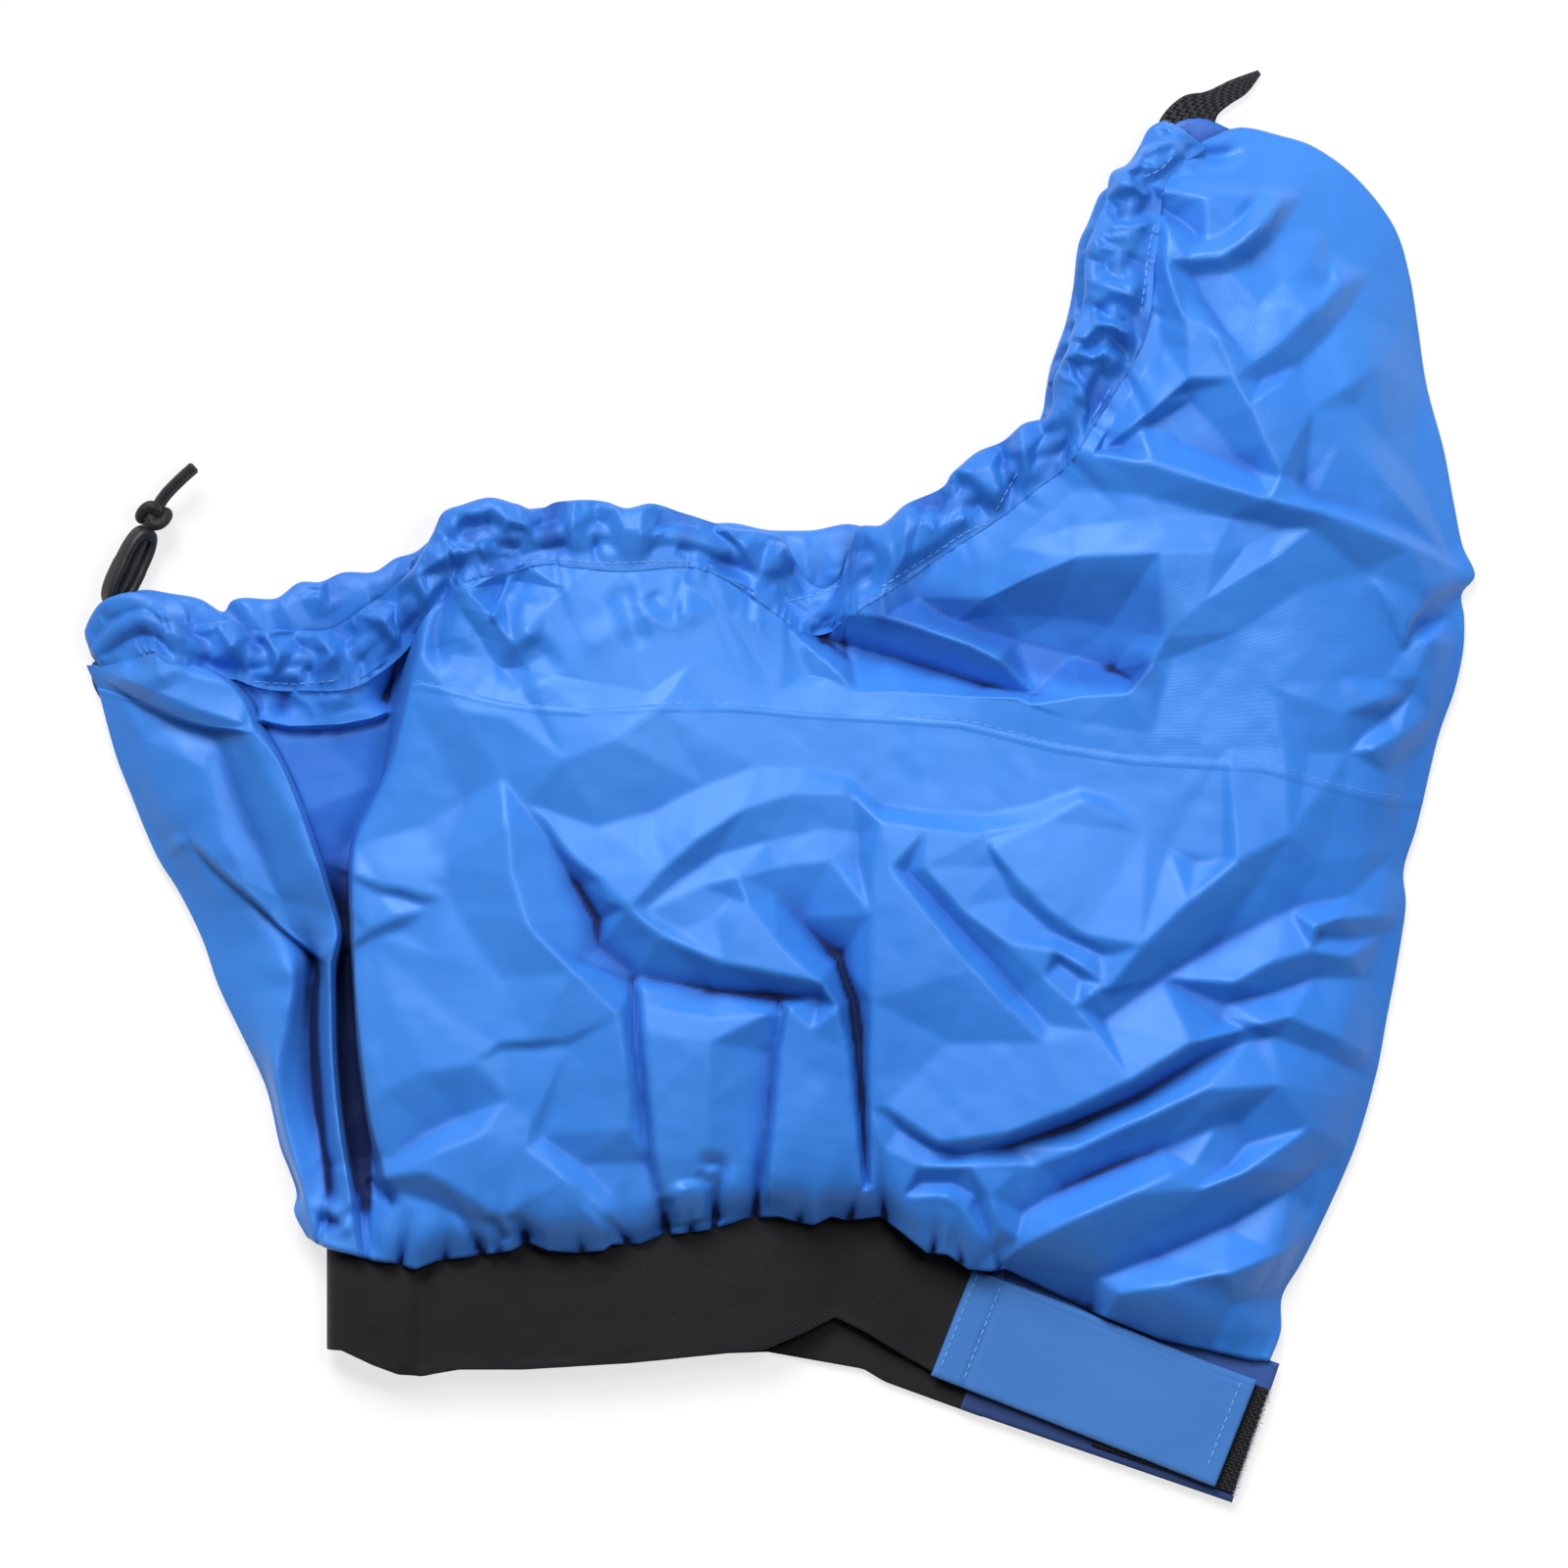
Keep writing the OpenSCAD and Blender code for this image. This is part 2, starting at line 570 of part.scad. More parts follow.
module stopper_knot() {
  turn = cord_d / 2 + knot_r - 1.6;
  color("DimGray")
    at_ring()
      difference() {
        union() {
          translate([hook_l + 4.6, 0.5, 0])
            rotate([8, 78, 0])
              rotate_extrude($fn = 32)
                translate([turn, 0])
                  circle(r = cord_d / 2, $fn = 20);
          translate([hook_l + 10, 0.5, 0])
            rotate([-10, 102, 0])
              rotate_extrude($fn = 32)
                translate([turn, 0])
                  circle(r = cord_d / 2, $fn = 20);
        }
        translate([hook_l - 4, 0.4, 0.1])
          rotate([0, 90, 0])
            cylinder(h = knot_r * 2 + 16, r = cord_d / 2 + 0.5, $fn = 32);
      }
}

tunnel_front();
tunnel_back();
deck_front();
deck_back();
hem_front();
hem_back();
rim_cord();
waistband();
receiving_flap();
hook_tape();
tab_root();
waist_tab();
loop_tape();
grab_strap_root();
grab_strap();
hook_ring();
cord_end();
stopper_knot();
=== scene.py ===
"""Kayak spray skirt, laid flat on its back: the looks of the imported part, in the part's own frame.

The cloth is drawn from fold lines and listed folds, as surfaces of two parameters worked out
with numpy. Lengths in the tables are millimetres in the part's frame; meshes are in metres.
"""
import logging
import math
from dataclasses import dataclass, field, replace
from enum import Enum

import bpy
import numpy as np
from mathutils import Matrix, Vector
from mathutils.bvhtree import BVHTree
from mathutils.geometry import delaunay_2d_cdt


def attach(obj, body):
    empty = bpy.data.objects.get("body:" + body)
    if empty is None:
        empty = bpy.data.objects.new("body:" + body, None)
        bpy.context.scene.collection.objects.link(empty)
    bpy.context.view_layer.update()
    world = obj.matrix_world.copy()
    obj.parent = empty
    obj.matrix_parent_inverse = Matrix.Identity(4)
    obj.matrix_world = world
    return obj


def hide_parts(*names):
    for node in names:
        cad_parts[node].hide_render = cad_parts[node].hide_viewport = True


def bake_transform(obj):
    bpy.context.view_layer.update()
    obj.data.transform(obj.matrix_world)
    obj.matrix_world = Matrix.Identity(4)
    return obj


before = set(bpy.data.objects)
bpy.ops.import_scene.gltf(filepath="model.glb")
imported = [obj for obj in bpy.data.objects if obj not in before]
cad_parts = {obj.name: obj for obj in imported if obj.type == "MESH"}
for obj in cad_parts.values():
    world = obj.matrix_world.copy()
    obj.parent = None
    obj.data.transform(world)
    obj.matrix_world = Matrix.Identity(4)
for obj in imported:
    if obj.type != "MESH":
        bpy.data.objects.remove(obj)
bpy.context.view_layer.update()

log = logging.getLogger("spray_skirt")
MM = 0.001

# Image points, in the photo scaled to 1568 by 1568.
PHOTO = 1568
LEFT_X = 84.5
RIGHT_X = 1474.9
TOP_Y = 66.6
BOTTOM_Y = 1505.3
IMAGE_POINTS = {
    "stern_tip": (85, 631),
    "knot_middle": (154, 516),
    "cord_cut_end": (192, 463),
    "strap_tip": (1258, 69),
    "bow_fold_tip": (1475, 573),
    "body_left_corner": (359, 848),
    "stern_flap_tip": (326, 965),
    "band_low_left": (324, 1348),
    "tab_top_left": (972, 1269),
    "tab_top_right": (1257, 1380),
    "tab_low_right": (1215, 1490),
    "tab_low_left": (931, 1375),
}


class Body(Enum):
    """Bodies of the frame that pieces ride on."""

    SKIRT = "skirt"
    TAB = "tab"
    STRAP = "strap"
    RING = "ring"


class FoldKind(Enum):
    """Ways in which a fold moves the cloth."""

    RIDGE = "ridge"
    VALLEY = "valley"
    LAP = "lap"


# ---------------------------------------------------------------- numbers and curves

def smoothstep(x: np.ndarray, low: float, high: float) -> np.ndarray:
    """Rise from 0 at low to 1 at high with level ends.

    Args:
        x: Values to place on the step.
        low: Value where the step starts.
        high: Value where the step ends.

    Returns:
        3t^2 - 2t^3 of t, the share of the way from low to high.
    """
    t = np.clip((x - low) / (high - low), 0.0, 1.0)
    return t * t * (3.0 - 2.0 * t)


def level_slopes(knots: np.ndarray, values: np.ndarray) -> np.ndarray:
    """Slopes of a curve that never overshoots its points.

    The slope at a point is the harmonic mean of the slopes on its two sides, or zero where they
    differ in sign.

    Args:
        knots: Parameter of each point, shape (n,).
        values: Points, shape (n, ...).

    Returns:
        Slopes, of the shape of values.
    """
    shape = (-1,) + (1,) * (values.ndim - 1)
    h = np.diff(knots).reshape(shape)
    d = np.diff(values, axis=0) / h
    m = np.zeros_like(values)
    m[0], m[-1] = d[0], d[-1]
    if len(values) > 2:
        a, b, ha, hb = d[:-1], d[1:], h[:-1], h[1:]
        w1, w2 = 2 * hb + ha, hb + 2 * ha
        with np.errstate(divide="ignore", invalid="ignore"):
            mid = (w1 + w2) / (w1 / a + w2 / b)
        m[1:-1] = np.where(a * b > 0, np.nan_to_num(mid), 0.0)
    return m


def hermite(p: np.ndarray, m: np.ndarray, i: np.ndarray, t: np.ndarray,
            h: np.ndarray) -> np.ndarray:
    """Cubic Hermite curve at share t of the step h from point i, with slopes m."""
    return ((2 * t**3 - 3 * t**2 + 1) * p[i] + (t**3 - 2 * t**2 + t) * h * m[i]
            + (-2 * t**3 + 3 * t**2) * p[i + 1] + (t**3 - t**2) * h * m[i + 1])


def level_curve(knots: np.ndarray, values: np.ndarray, at: np.ndarray) -> np.ndarray:
    """Cubic Hermite curve through points, with the slopes of level_slopes.

    Args:
        knots: Parameter of each point.
        values: Points, shape (n, ...).
        at: Parameters to read the curve at, shape (k,).

    Returns:
        Points on the curve, shape (k, ...).
    """
    i = np.clip(np.searchsorted(knots, at, side="right") - 1, 0, len(knots) - 2)
    h = (knots[i + 1] - knots[i]).reshape((-1,) + (1,) * (values.ndim - 1))
    t = (at - knots[i]).reshape(h.shape) / h
    return hermite(values, level_slopes(knots, values), i, t, h)


def round_curve(points: np.ndarray, at: np.ndarray) -> np.ndarray:
    """Catmull-Rom curve through points spaced by their root distance.

    Args:
        points: Points, shape (n, d).
        at: Shares of the way along, from 0 to 1, by the knots' own spacing.

    Returns:
        Points on the curve, shape (k, d).
    """
    p = np.asarray(points, float)
    gap = np.maximum(np.linalg.norm(np.diff(p, axis=0), axis=1), 1e-9) ** 0.5
    k = np.concatenate([[0.0], np.cumsum(gap)])
    m = np.zeros_like(p)
    d = np.diff(p, axis=0) / gap[:, None]
    m[0], m[-1] = d[0], d[-1]
    w = gap[:-1, None] + gap[1:, None]
    m[1:-1] = (gap[1:, None] * d[:-1] + gap[:-1, None] * d[1:]) / w
    x = at * k[-1]
    i = np.clip(np.searchsorted(k, x, side="right") - 1, 0, len(k) - 2)
    return hermite(p, m, i, ((x - k[i]) / gap[i])[:, None], gap[i][:, None])


def run_of(points: np.ndarray) -> np.ndarray:
    """Distance along a polyline at each of its points."""
    return np.concatenate([[0.0], np.cumsum(np.linalg.norm(np.diff(points, axis=0), axis=1))])


def read_at(at: np.ndarray, run: np.ndarray, points: np.ndarray) -> np.ndarray:
    """Points of a polyline at distances along it, where run holds its points' own distances."""
    return np.stack([np.interp(at, run, column) for column in points.T], axis=1)


def even_curve(points: np.ndarray, count: int) -> np.ndarray:
    """Catmull-Rom curve read at even steps of length.

    Args:
        points: Points the curve passes, shape (n, d).
        count: How many points to return.

    Returns:
        Points a constant distance apart, shape (count, d).
    """
    fine = round_curve(points, np.linspace(0, 1, max(400, 12 * len(points))))
    run = run_of(fine)
    return read_at(np.linspace(0, run[-1], count), run, fine)


def unit(vectors: np.ndarray, least: float = 0.0) -> np.ndarray:
    """Vectors made 1 long over the last axis; a length below least counts as least."""
    return vectors / np.maximum(np.linalg.norm(vectors, axis=-1, keepdims=True), least)


def pairs(rows: np.ndarray, cols: np.ndarray) -> np.ndarray:
    """Every row value with every column value, row by row, shape (n, 2)."""
    return np.stack(np.broadcast_arrays(rows[:, None], cols[None]), axis=-1).reshape(-1, 2)


def beside(xy: np.ndarray, line: np.ndarray) -> tuple[np.ndarray, np.ndarray]:
    """Signed distance to a polyline and the share of the way along it.

    For every point the nearest place on each segment is worked out at once, and the nearest
    segment is kept. The distance is positive on the line's left hand.

    Args:
        xy: Points, shape (n, 2).
        line: Polyline, shape (m, 2).

    Returns:
        Signed distances and shares, both of shape (n,).
    """
    best = np.full(len(xy), 1e9)
    side = np.zeros(len(xy))
    share = np.zeros(len(xy))
    run = run_of(line)
    for k in range(len(line) - 1):
        a, b = line[k], line[k + 1]
        d = b - a
        size = float(np.hypot(*d))
        if size < 1e-9:
            continue
        rel = xy - a
        t = np.clip(rel @ d / size**2, 0.0, 1.0)
        off = rel - t[:, None] * d
        dist = np.hypot(off[:, 0], off[:, 1])
        hit = dist < best
        best[hit] = dist[hit]
        side[hit] = (d[0] * rel[hit, 1] - d[1] * rel[hit, 0]) / size
        share[hit] = (run[k] + t[hit] * size) / run[-1]
    return best * np.where(side >= 0, 1.0, -1.0), share


def value_noise(xy: np.ndarray, size: float, seed: int) -> np.ndarray:
    """Smooth noise between -1 and 1 from a seeded lattice of values.

    Args:
        xy: Points, shape (n, 2).
        size: Distance between lattice points, in the units of xy.
        seed: Seed of the lattice.

    Returns:
        Noise at each point: the lattice's corners blended by smoothsteps.
    """
    lattice = np.random.default_rng(seed).uniform(-1, 1, (128, 128))
    p = xy / size + 64.0
    i = np.floor(p).astype(int) % 128
    f = p - np.floor(p)
    f = f * f * (3 - 2 * f)
    j = (i + 1) % 128
    a = lattice[i[:, 0], i[:, 1]] * (1 - f[:, 0]) + lattice[j[:, 0], i[:, 1]] * f[:, 0]
    b = lattice[i[:, 0], j[:, 1]] * (1 - f[:, 0]) + lattice[j[:, 0], j[:, 1]] * f[:, 0]
    return a * (1 - f[:, 1]) + b * f[:, 1]


# ---------------------------------------------------------------- meshes

def to_mesh(name: str, points: np.ndarray, faces: np.ndarray,
            uv: np.ndarray | None = None) -> bpy.types.Object:
    """Make an object of points and faces, with its place in its mesh.

    Args:
        name: Name of the piece.
        points: Points in millimetres, shape (n, 3).
        faces: Corner numbers, shape (m, 3) or (m, 4).
        uv: Texture place of each point in metres, shape (n, 2).

    Returns:
        The new object, linked to the scene.
    """
    mesh = bpy.data.meshes.new(name)
    faces = np.asarray(faces, dtype=np.int32)
    n, corners = faces.shape
    mesh.vertices.add(len(points))
    mesh.vertices.foreach_set("co", (np.asarray(points, float) * MM).astype(np.float32).ravel())
    mesh.loops.add(n * corners)
    mesh.loops.foreach_set("vertex_index", faces.ravel())
    mesh.polygons.add(n)
    mesh.polygons.foreach_set("loop_start", np.arange(0, n * corners, corners, dtype=np.int32))
    mesh.polygons.foreach_set("use_smooth", np.full(n, True))
    if uv is not None:
        layer = mesh.uv_layers.new(name="cloth")
        layer.data.foreach_set("uv", uv[faces.ravel()].astype(np.float32).ravel())
    mesh.update(calc_edges=True)
    mesh.validate()
    obj = bpy.data.objects.new(name, mesh)
    bpy.context.scene.collection.objects.link(obj)
    return obj


def coords(obj: bpy.types.Object) -> np.ndarray:
    """Points of a piece's mesh in metres, shape (n, 3).

    Args:
        obj: The piece.

    Returns:
        Points, shape (n, 3).
    """
    co = np.empty(len(obj.data.vertices) * 3)
    obj.data.vertices.foreach_get("co", co)
    return co.reshape(-1, 3)


def level_blur(z: np.ndarray, reach: int) -> np.ndarray:
    """Mean of a grid over a square window, with the edge values repeated.

    Args:
        z: Values, shape (rows, cols).
        reach: Half the window's side in steps.

    Returns:
        The means, shape (rows, cols).
    """
    for axis in (0, 1):
        wide = np.pad(z, [(reach + 1, reach) if k == axis else (0, 0) for k in (0, 1)], mode="edge")
        total = np.cumsum(wide, axis=axis)
        span = 2 * reach + 1
        high, low = [slice(None)] * 2, [slice(None)] * 2
        high[axis], low[axis] = slice(span, None), slice(None, -span)
        z = (total[tuple(high)] - total[tuple(low)]) / span
    return z


def set_painted_shade(obj: bpy.types.Object, share: np.ndarray) -> None:
    """Store on each point how deep it lies in a fold, 0 to 1, which the cloth's colour turns into painted
    shade.
    """
    layer = obj.data.attributes.new("hollow", "FLOAT", "POINT")
    layer.data.foreach_set("value", np.clip(share, 0, 1).astype(np.float32).ravel())


# How a fold's painted shade is read from its depth: blurs in steps, depth where the shade starts and is
# full in mm, and share.
FOLD_SHADE_SCALES = (((9, 7), 0.8, 8.0, 0.5), ((3,), 0.25, 2.0, 0.25), ((24, 18), 2.0, 10.0, 0.35))


def fold_shade_share(z: np.ndarray) -> np.ndarray:
    """How deep each point of a grid lies below its surroundings, broadly and closely, as the share of
    painted shade in the folds.

    Args:
        z: Heights in millimetres, shape (rows, cols).

    Returns:
        Share, 0 on open cloth and 1 at the bottom of a deep fold.
    """
    depth = np.zeros_like(z)
    for reaches, start, full, share in FOLD_SHADE_SCALES:
        mean = z
        for reach in reaches:
            mean = level_blur(mean, reach)
        depth += smoothstep(mean - z, start, full) * share
    return depth


def grid_faces(rows: int, cols: int, wrap_rows: bool = False, wrap_cols: bool = False,
               flip: bool = False) -> np.ndarray:
    """Quads between the points of a grid numbered row by row.

    Args:
        rows: Rows of points.
        cols: Points in a row.
        wrap_rows: Whether the last row meets the first.
        wrap_cols: Whether a row's last point meets its first.
        flip: Whether to turn the faces over.

    Returns:
        Corner numbers, shape (m, 4).
    """
    i = np.arange(rows if wrap_rows else rows - 1)
    j = np.arange(cols if wrap_cols else cols - 1)
    i, j = np.meshgrid(i, j, indexing="ij")
    a = i * cols + j
    b = i * cols + (j + 1) % cols
    c = ((i + 1) % rows) * cols + (j + 1) % cols
    d = ((i + 1) % rows) * cols + j
    quads = np.stack([a, b, c, d], axis=-1).reshape(-1, 4)
    return quads[:, ::-1] if flip else quads


def frames_along(path: np.ndarray) -> tuple[np.ndarray, np.ndarray]:
    """Two directions square to a path, carried along it so that they don't twist.

    Args:
        path: Points, shape (n, 3).

    Returns:
        The two directions, each of shape (n, 3).
    """
    t = unit(np.gradient(path, axis=0))
    x = np.zeros_like(t)
    first = np.cross(t[0], (0.0, 0.0, 1.0))
    if np.linalg.norm(first) < 1e-3:
        first = np.cross(t[0], (1.0, 0.0, 0.0))
    x[0] = first / np.linalg.norm(first)
    for k in range(1, len(t)):
        p = x[k - 1] - np.dot(x[k - 1], t[k]) * t[k]
        x[k] = p / np.linalg.norm(p)
    return x, np.cross(t, x)


def triangles(quads: np.ndarray) -> np.ndarray:
    """Split quads into triangles."""
    return np.concatenate([quads[:, [0, 1, 2]], quads[:, [0, 2, 3]]])


def end_fans(rows: int, sides: int) -> np.ndarray:
    """Triangles that close a tube's ends to two points numbered after its own.

    Args:
        rows: Rows of points along the tube.
        sides: Points round it.

    Returns:
        Corner numbers, shape (2 sides, 3), facing out where the tube's quads are not flipped.
    """
    k = np.arange(sides)
    after, n, last = (k + 1) % sides, np.full(sides, rows * sides), (rows - 1) * sides
    return np.concatenate([np.stack([after, k, n], 1), np.stack([last + k, last + after, n + 1], 1)])


def swept(path: np.ndarray, radius: np.ndarray, sides: int) -> tuple[np.ndarray, np.ndarray]:
    """A closed tube along a path: point = path + radius cos(a) across + radius sin(a) up.

    Args:
        path: Middle line, shape (n, 3).
        radius: Radius at each point, or one radius.
        sides: Points round the tube.

    Returns:
        Points and triangles; the faces point outwards.
    """
    x, y = frames_along(path)
    a = np.arange(sides) * 2 * np.pi / sides
    r = np.broadcast_to(radius, len(path))[:, None]
    points = (path[:, None] + (r * np.cos(a))[..., None] * x[:, None]
              + (r * np.sin(a))[..., None] * y[:, None]).reshape(-1, 3)
    quads = grid_faces(len(path), sides, wrap_cols=True)
    return (np.concatenate([points, path[:1], path[-1:]]),
            np.concatenate([triangles(quads), end_fans(len(path), sides)]))


# How far the texture place runs round a cord, in metres.
CORD_ROUND = 0.0188


def braided_cord(name: str, path: np.ndarray, radius: np.ndarray, sides: int) -> bpy.types.Object:
    """Make a cord with texture places along it and round it.

    Args:
        name: Name of the piece.
        path: Middle line in millimetres, shape (n, 3).
        radius: Radius at each point, or one radius.
        sides: Points round the cord.

    Returns:
        The piece.
    """
    uv = pairs(run_of(path) * MM, np.arange(sides) / sides * CORD_ROUND)
    return to_mesh(name, *swept(path, radius, sides), uv=np.concatenate([uv, np.zeros((2, 2))]))


def closed_loop(name: str, points: np.ndarray) -> bpy.types.Object:
    """Make a piece of a grid that closes both ways, with its faces outwards.

    Args:
        name: Name of the piece.
        points: Points in millimetres, shape (rows, cols, 3).

    Returns:
        The piece.
    """
    faces = grid_faces(*points.shape[:2], wrap_rows=True, wrap_cols=True)
    obj = to_mesh(name, points.reshape(-1, 3), triangles(faces))
    turn_outwards(obj)
    return obj


def way_round(loop: np.ndarray) -> np.ndarray:
    """Direction of a closed line at each of its points."""
    return unit(np.roll(loop, -1, 0) - np.roll(loop, 1, 0))


def turn_outwards(obj: bpy.types.Object) -> None:
    """Make the triangles of a closed piece point outwards, by the sign of their volume.

    Args:
        obj: The piece, made of triangles.
    """
    mesh = obj.data
    tri = np.empty(len(mesh.loops), dtype=np.int64)
    mesh.loops.foreach_get("vertex_index", tri)
    p = coords(obj)[tri.reshape(-1, 3)]
    if np.einsum("ij,ij->i", p[:, 0], np.cross(p[:, 1], p[:, 2])).sum() < 0:
        mesh.flip_normals()


def join_parts(parts: list[tuple[np.ndarray, np.ndarray]]) -> tuple[np.ndarray, np.ndarray]:
    """Put several point and face lists of one face size into one."""
    starts = np.cumsum([0] + [len(p) for p, _ in parts])
    return (np.concatenate([p for p, _ in parts]),
            np.concatenate([np.asarray(f) + s for (_, f), s in zip(parts, starts)]))


def slab(top: np.ndarray, thick: float) -> tuple[np.ndarray, np.ndarray]:
    """Close a grid of points into a sheet of even thickness.

    The lower face lies at point - thickness x normal, and four strips join the two faces.

    Args:
        top: Upper face, shape (rows, cols, 3), with its normals upwards.
        thick: Thickness in millimetres.

    Returns:
        Points and quads, closed and facing outwards.
    """
    rows, cols = top.shape[:2]
    low = top - unit(np.cross(np.gradient(top, axis=1), np.gradient(top, axis=0)), 1e-9) * thick
    n = rows * cols
    k = np.arange(n).reshape(rows, cols)
    rim = np.concatenate([k[0, :-1], k[:-1, -1], k[-1, :0:-1], k[:0:-1, 0]])
    after = np.roll(rim, -1)
    side = np.stack([rim, rim + n, after + n, after], axis=1)
    faces = np.concatenate([grid_faces(rows, cols), grid_faces(rows, cols, flip=True) + n, side])
    return np.concatenate([top.reshape(-1, 3), low.reshape(-1, 3)]), faces


def rounded_slab(top: np.ndarray, thick: float) -> tuple[np.ndarray, np.ndarray]:
    """A slab whose outer two rows and columns drop by a share of the thickness.

    Args:
        top: Upper face, shape (rows, cols, 3).
        thick: Thickness in millimetres.

    Returns:
        Points and quads, closed and facing outwards.
    """
    shaped = top.copy()
    i, j = (np.minimum(np.arange(n), np.arange(n)[::-1]) for n in top.shape[:2])
    edge = np.minimum(i[:, None], j[None])
    shaped[..., 2] -= thick * np.where(edge == 0, 0.3, np.where(edge == 1, 0.08, 0.0))
    return slab(shaped, thick * 0.7)


def plain_uv(top: np.ndarray, copies: int = 2) -> np.ndarray:
    """Texture place of a grid in metres, by distance along its middle row and column.

    Args:
        top: Points in millimetres, shape (rows, cols, 3).
        copies: How many faces of the sheet share the places.

    Returns:
        Texture places, shape (copies x rows x cols, 2).
    """
    rows, cols = top.shape[:2]
    uv = pairs(run_of(top[:, cols // 2]) * MM, run_of(top[rows // 2]) * MM)[:, ::-1]
    return np.concatenate([uv] * copies)


# ---------------------------------------------------------------- camera and placing

@dataclass
class PhotoCamera:
    """The photograph's camera: straight down, from far away."""

    middle: tuple[float, float] = (2.76, 0.92)
    level: float = 18.0
    height: float = 12000.0
    span: float = 736.0
    sensor: float = 36.0

    @property
    def lens(self) -> float:
        """Focal length that shows the span at the level."""
        return self.sensor * self.height / self.span

    def build(self) -> bpy.types.Object:
        """Make the camera and set it as the scene's camera.

        Returns:
            The camera.
        """
        data = bpy.data.cameras.new("photo_camera")
        data.sensor_fit = "AUTO"
        data.sensor_width = self.sensor
        data.lens = self.lens
        data.shift_x = data.shift_y = 0.0
        data.clip_start = 0.1
        data.clip_end = 100.0
        obj = bpy.data.objects.new("photo_camera", data)
        obj.location = (self.middle[0] * MM, self.middle[1] * MM, (self.height + self.level) * MM)
        bpy.context.scene.collection.objects.link(obj)
        bpy.context.scene.camera = obj
        return obj

    def image_of(self, points: np.ndarray) -> np.ndarray:
        """Image places of points in millimetres, in the scaled photo's pixels.

        Args:
            points: Points, shape (n, 3).

        Returns:
            x and y, shape (n, 2).
        """
        p = np.atleast_2d(points)
        depth = self.height + self.level - p[:, 2]
        scale = PHOTO * self.lens / self.sensor / depth
        return np.stack([PHOTO / 2 + (p[:, 0] - self.middle[0]) * scale,
                         PHOTO / 2 - (p[:, 1] - self.middle[1]) * scale], axis=1)

    def place(self, x: float, y: float, carrier: BVHTree) -> tuple[Vector, Vector]:
        """Place on a carrier that shows at an image point.

        Args:
            x: Image x in the scaled photo.
            y: Image y in the scaled photo.
            carrier: Tree of the surface that carries the piece.

        Returns:
            The place in metres and the surface's normal there; a miss takes the place nearest
            the ray.
        """
        cam = bpy.context.scene.camera
        way = Vector((x - PHOTO / 2 + cam.data.shift_x * PHOTO,
                      PHOTO / 2 - y + cam.data.shift_y * PHOTO,
                      -PHOTO * cam.data.lens / cam.data.sensor_width)).normalized()
        start = Vector(cam.location)
        hit, normal, _, _ = carrier.ray_cast(start, way)
        if hit is None:
            down = (start.z - self.level * MM) / -way.z
            hit, normal, _, _ = carrier.find_nearest(start + way * down)
        return hit, normal


def tree_of(*objs: bpy.types.Object) -> BVHTree:
    """Tree of the faces of finished pieces.

    Args:
        objs: The pieces.

    Returns:
        Their tree, in metres.
    """
    points, faces = [], []
    for obj in objs:
        faces.extend([[v + len(points) for v in p.vertices] for p in obj.data.polygons])
        points.extend(map(tuple, coords(obj)))
    return BVHTree.FromPolygons(points, faces)


@dataclass
class StitchLine:
    """A run of stitches along a line in plan."""

    name: str
    line: list[tuple[float, float]]
    dash: float = 3.0
    gap: float = 1.3
    radius: float = 0.24
    lift: float = 0.12
    points: int = 5
    sides: int = 5
    steepest: float = 3.0

    def build(self, camera: PhotoCamera, carrier: BVHTree) -> bpy.types.Object:
        """Lay short threads along the line on the carrier, but none across a step in the cloth.

        Every thread is a tube whose ends dip into the cloth: lift + radius x (1.2 sin(pi t) - 0.4).

        Args:
            camera: Camera whose rays find the surface.
            carrier: Tree of the cloth.

        Returns:
            The threads, as one piece.
        """
        line = np.array(self.line, float)
        path = even_curve(line, max(8, int(run_of(line)[-1] / 0.5)))
        run = run_of(path)
        rise = np.sin(np.pi * np.linspace(0, 1, self.points)) * 1.2 - 0.4
        parts = []
        for k in range(max(1, int(run[-1] / (self.dash + self.gap)))):
            start = k * (self.dash + self.gap)
            xy = read_at(np.linspace(start, start + self.dash, self.points), run, path)
            image = camera.image_of(np.c_[xy, np.full(self.points, camera.level)])
            found = [camera.place(float(x), float(y), carrier) for x, y in image]
            way = np.array([h / MM + n * (self.lift + self.radius * r)
                            for (h, n), r in zip(found, rise)])
            if np.abs(np.diff(way[:, 2])).max() <= self.steepest:
                parts.append(swept(way, self.radius, self.sides))
        return to_mesh(self.name, *join_parts(parts))


# Visible threads: on the seam, and along the hems' stitch lines.
STITCHES = (
    StitchLine("seam_stitch_body", [(-170, 49.5), (-150, 45.5), (-130, 40.5), (-110, 37.5),
               (-90, 36.5), (-60, 38.5), (-20, 38.5), (10, 35.5), (60, 32.5), (86, 31),
               (130, 20), (167, 13.5), (227, 10.5), (266, -0.5), (296, -6)],
               dash=3.2, gap=2.4, radius=0.16, lift=0.05),
    StitchLine("hem_stitch_left", [(-116, 107), (-100, 106), (-80, 104.5), (-58, 105.5),
               (-37, 105.5)], radius=0.2),
    StitchLine("hem_stitch_pleat", [(-246, 49), (-225, 48), (-204, 50)], radius=0.2),
    StitchLine("hem_stitch_middle", [(48, 93), (60, 101), (75, 110.5), (90, 120), (101, 124)]),
    StitchLine("hem_stitch_rise", [(102, 129), (107, 138), (114, 150)]),
    StitchLine("hem_stitch_bow", [(170, 222), (172, 236), (174, 252), (178, 268)]),
    StitchLine("hem_stitch_tip", [(172, 286), (180, 290), (187, 298)]),
    StitchLine("far_rim_stitch", [(5, 87), (18, 90), (30, 94)], radius=0.2))

# Cross seams of the tab: distance along it, and where the seam starts and ends across it.
TAB_STITCHES = ((-10.5, 2.0, 52.0), (1.6, 3.5, 51.0), (123.0, 4.0, 51.0))


# ---------------------------------------------------------------- the drawn cloth

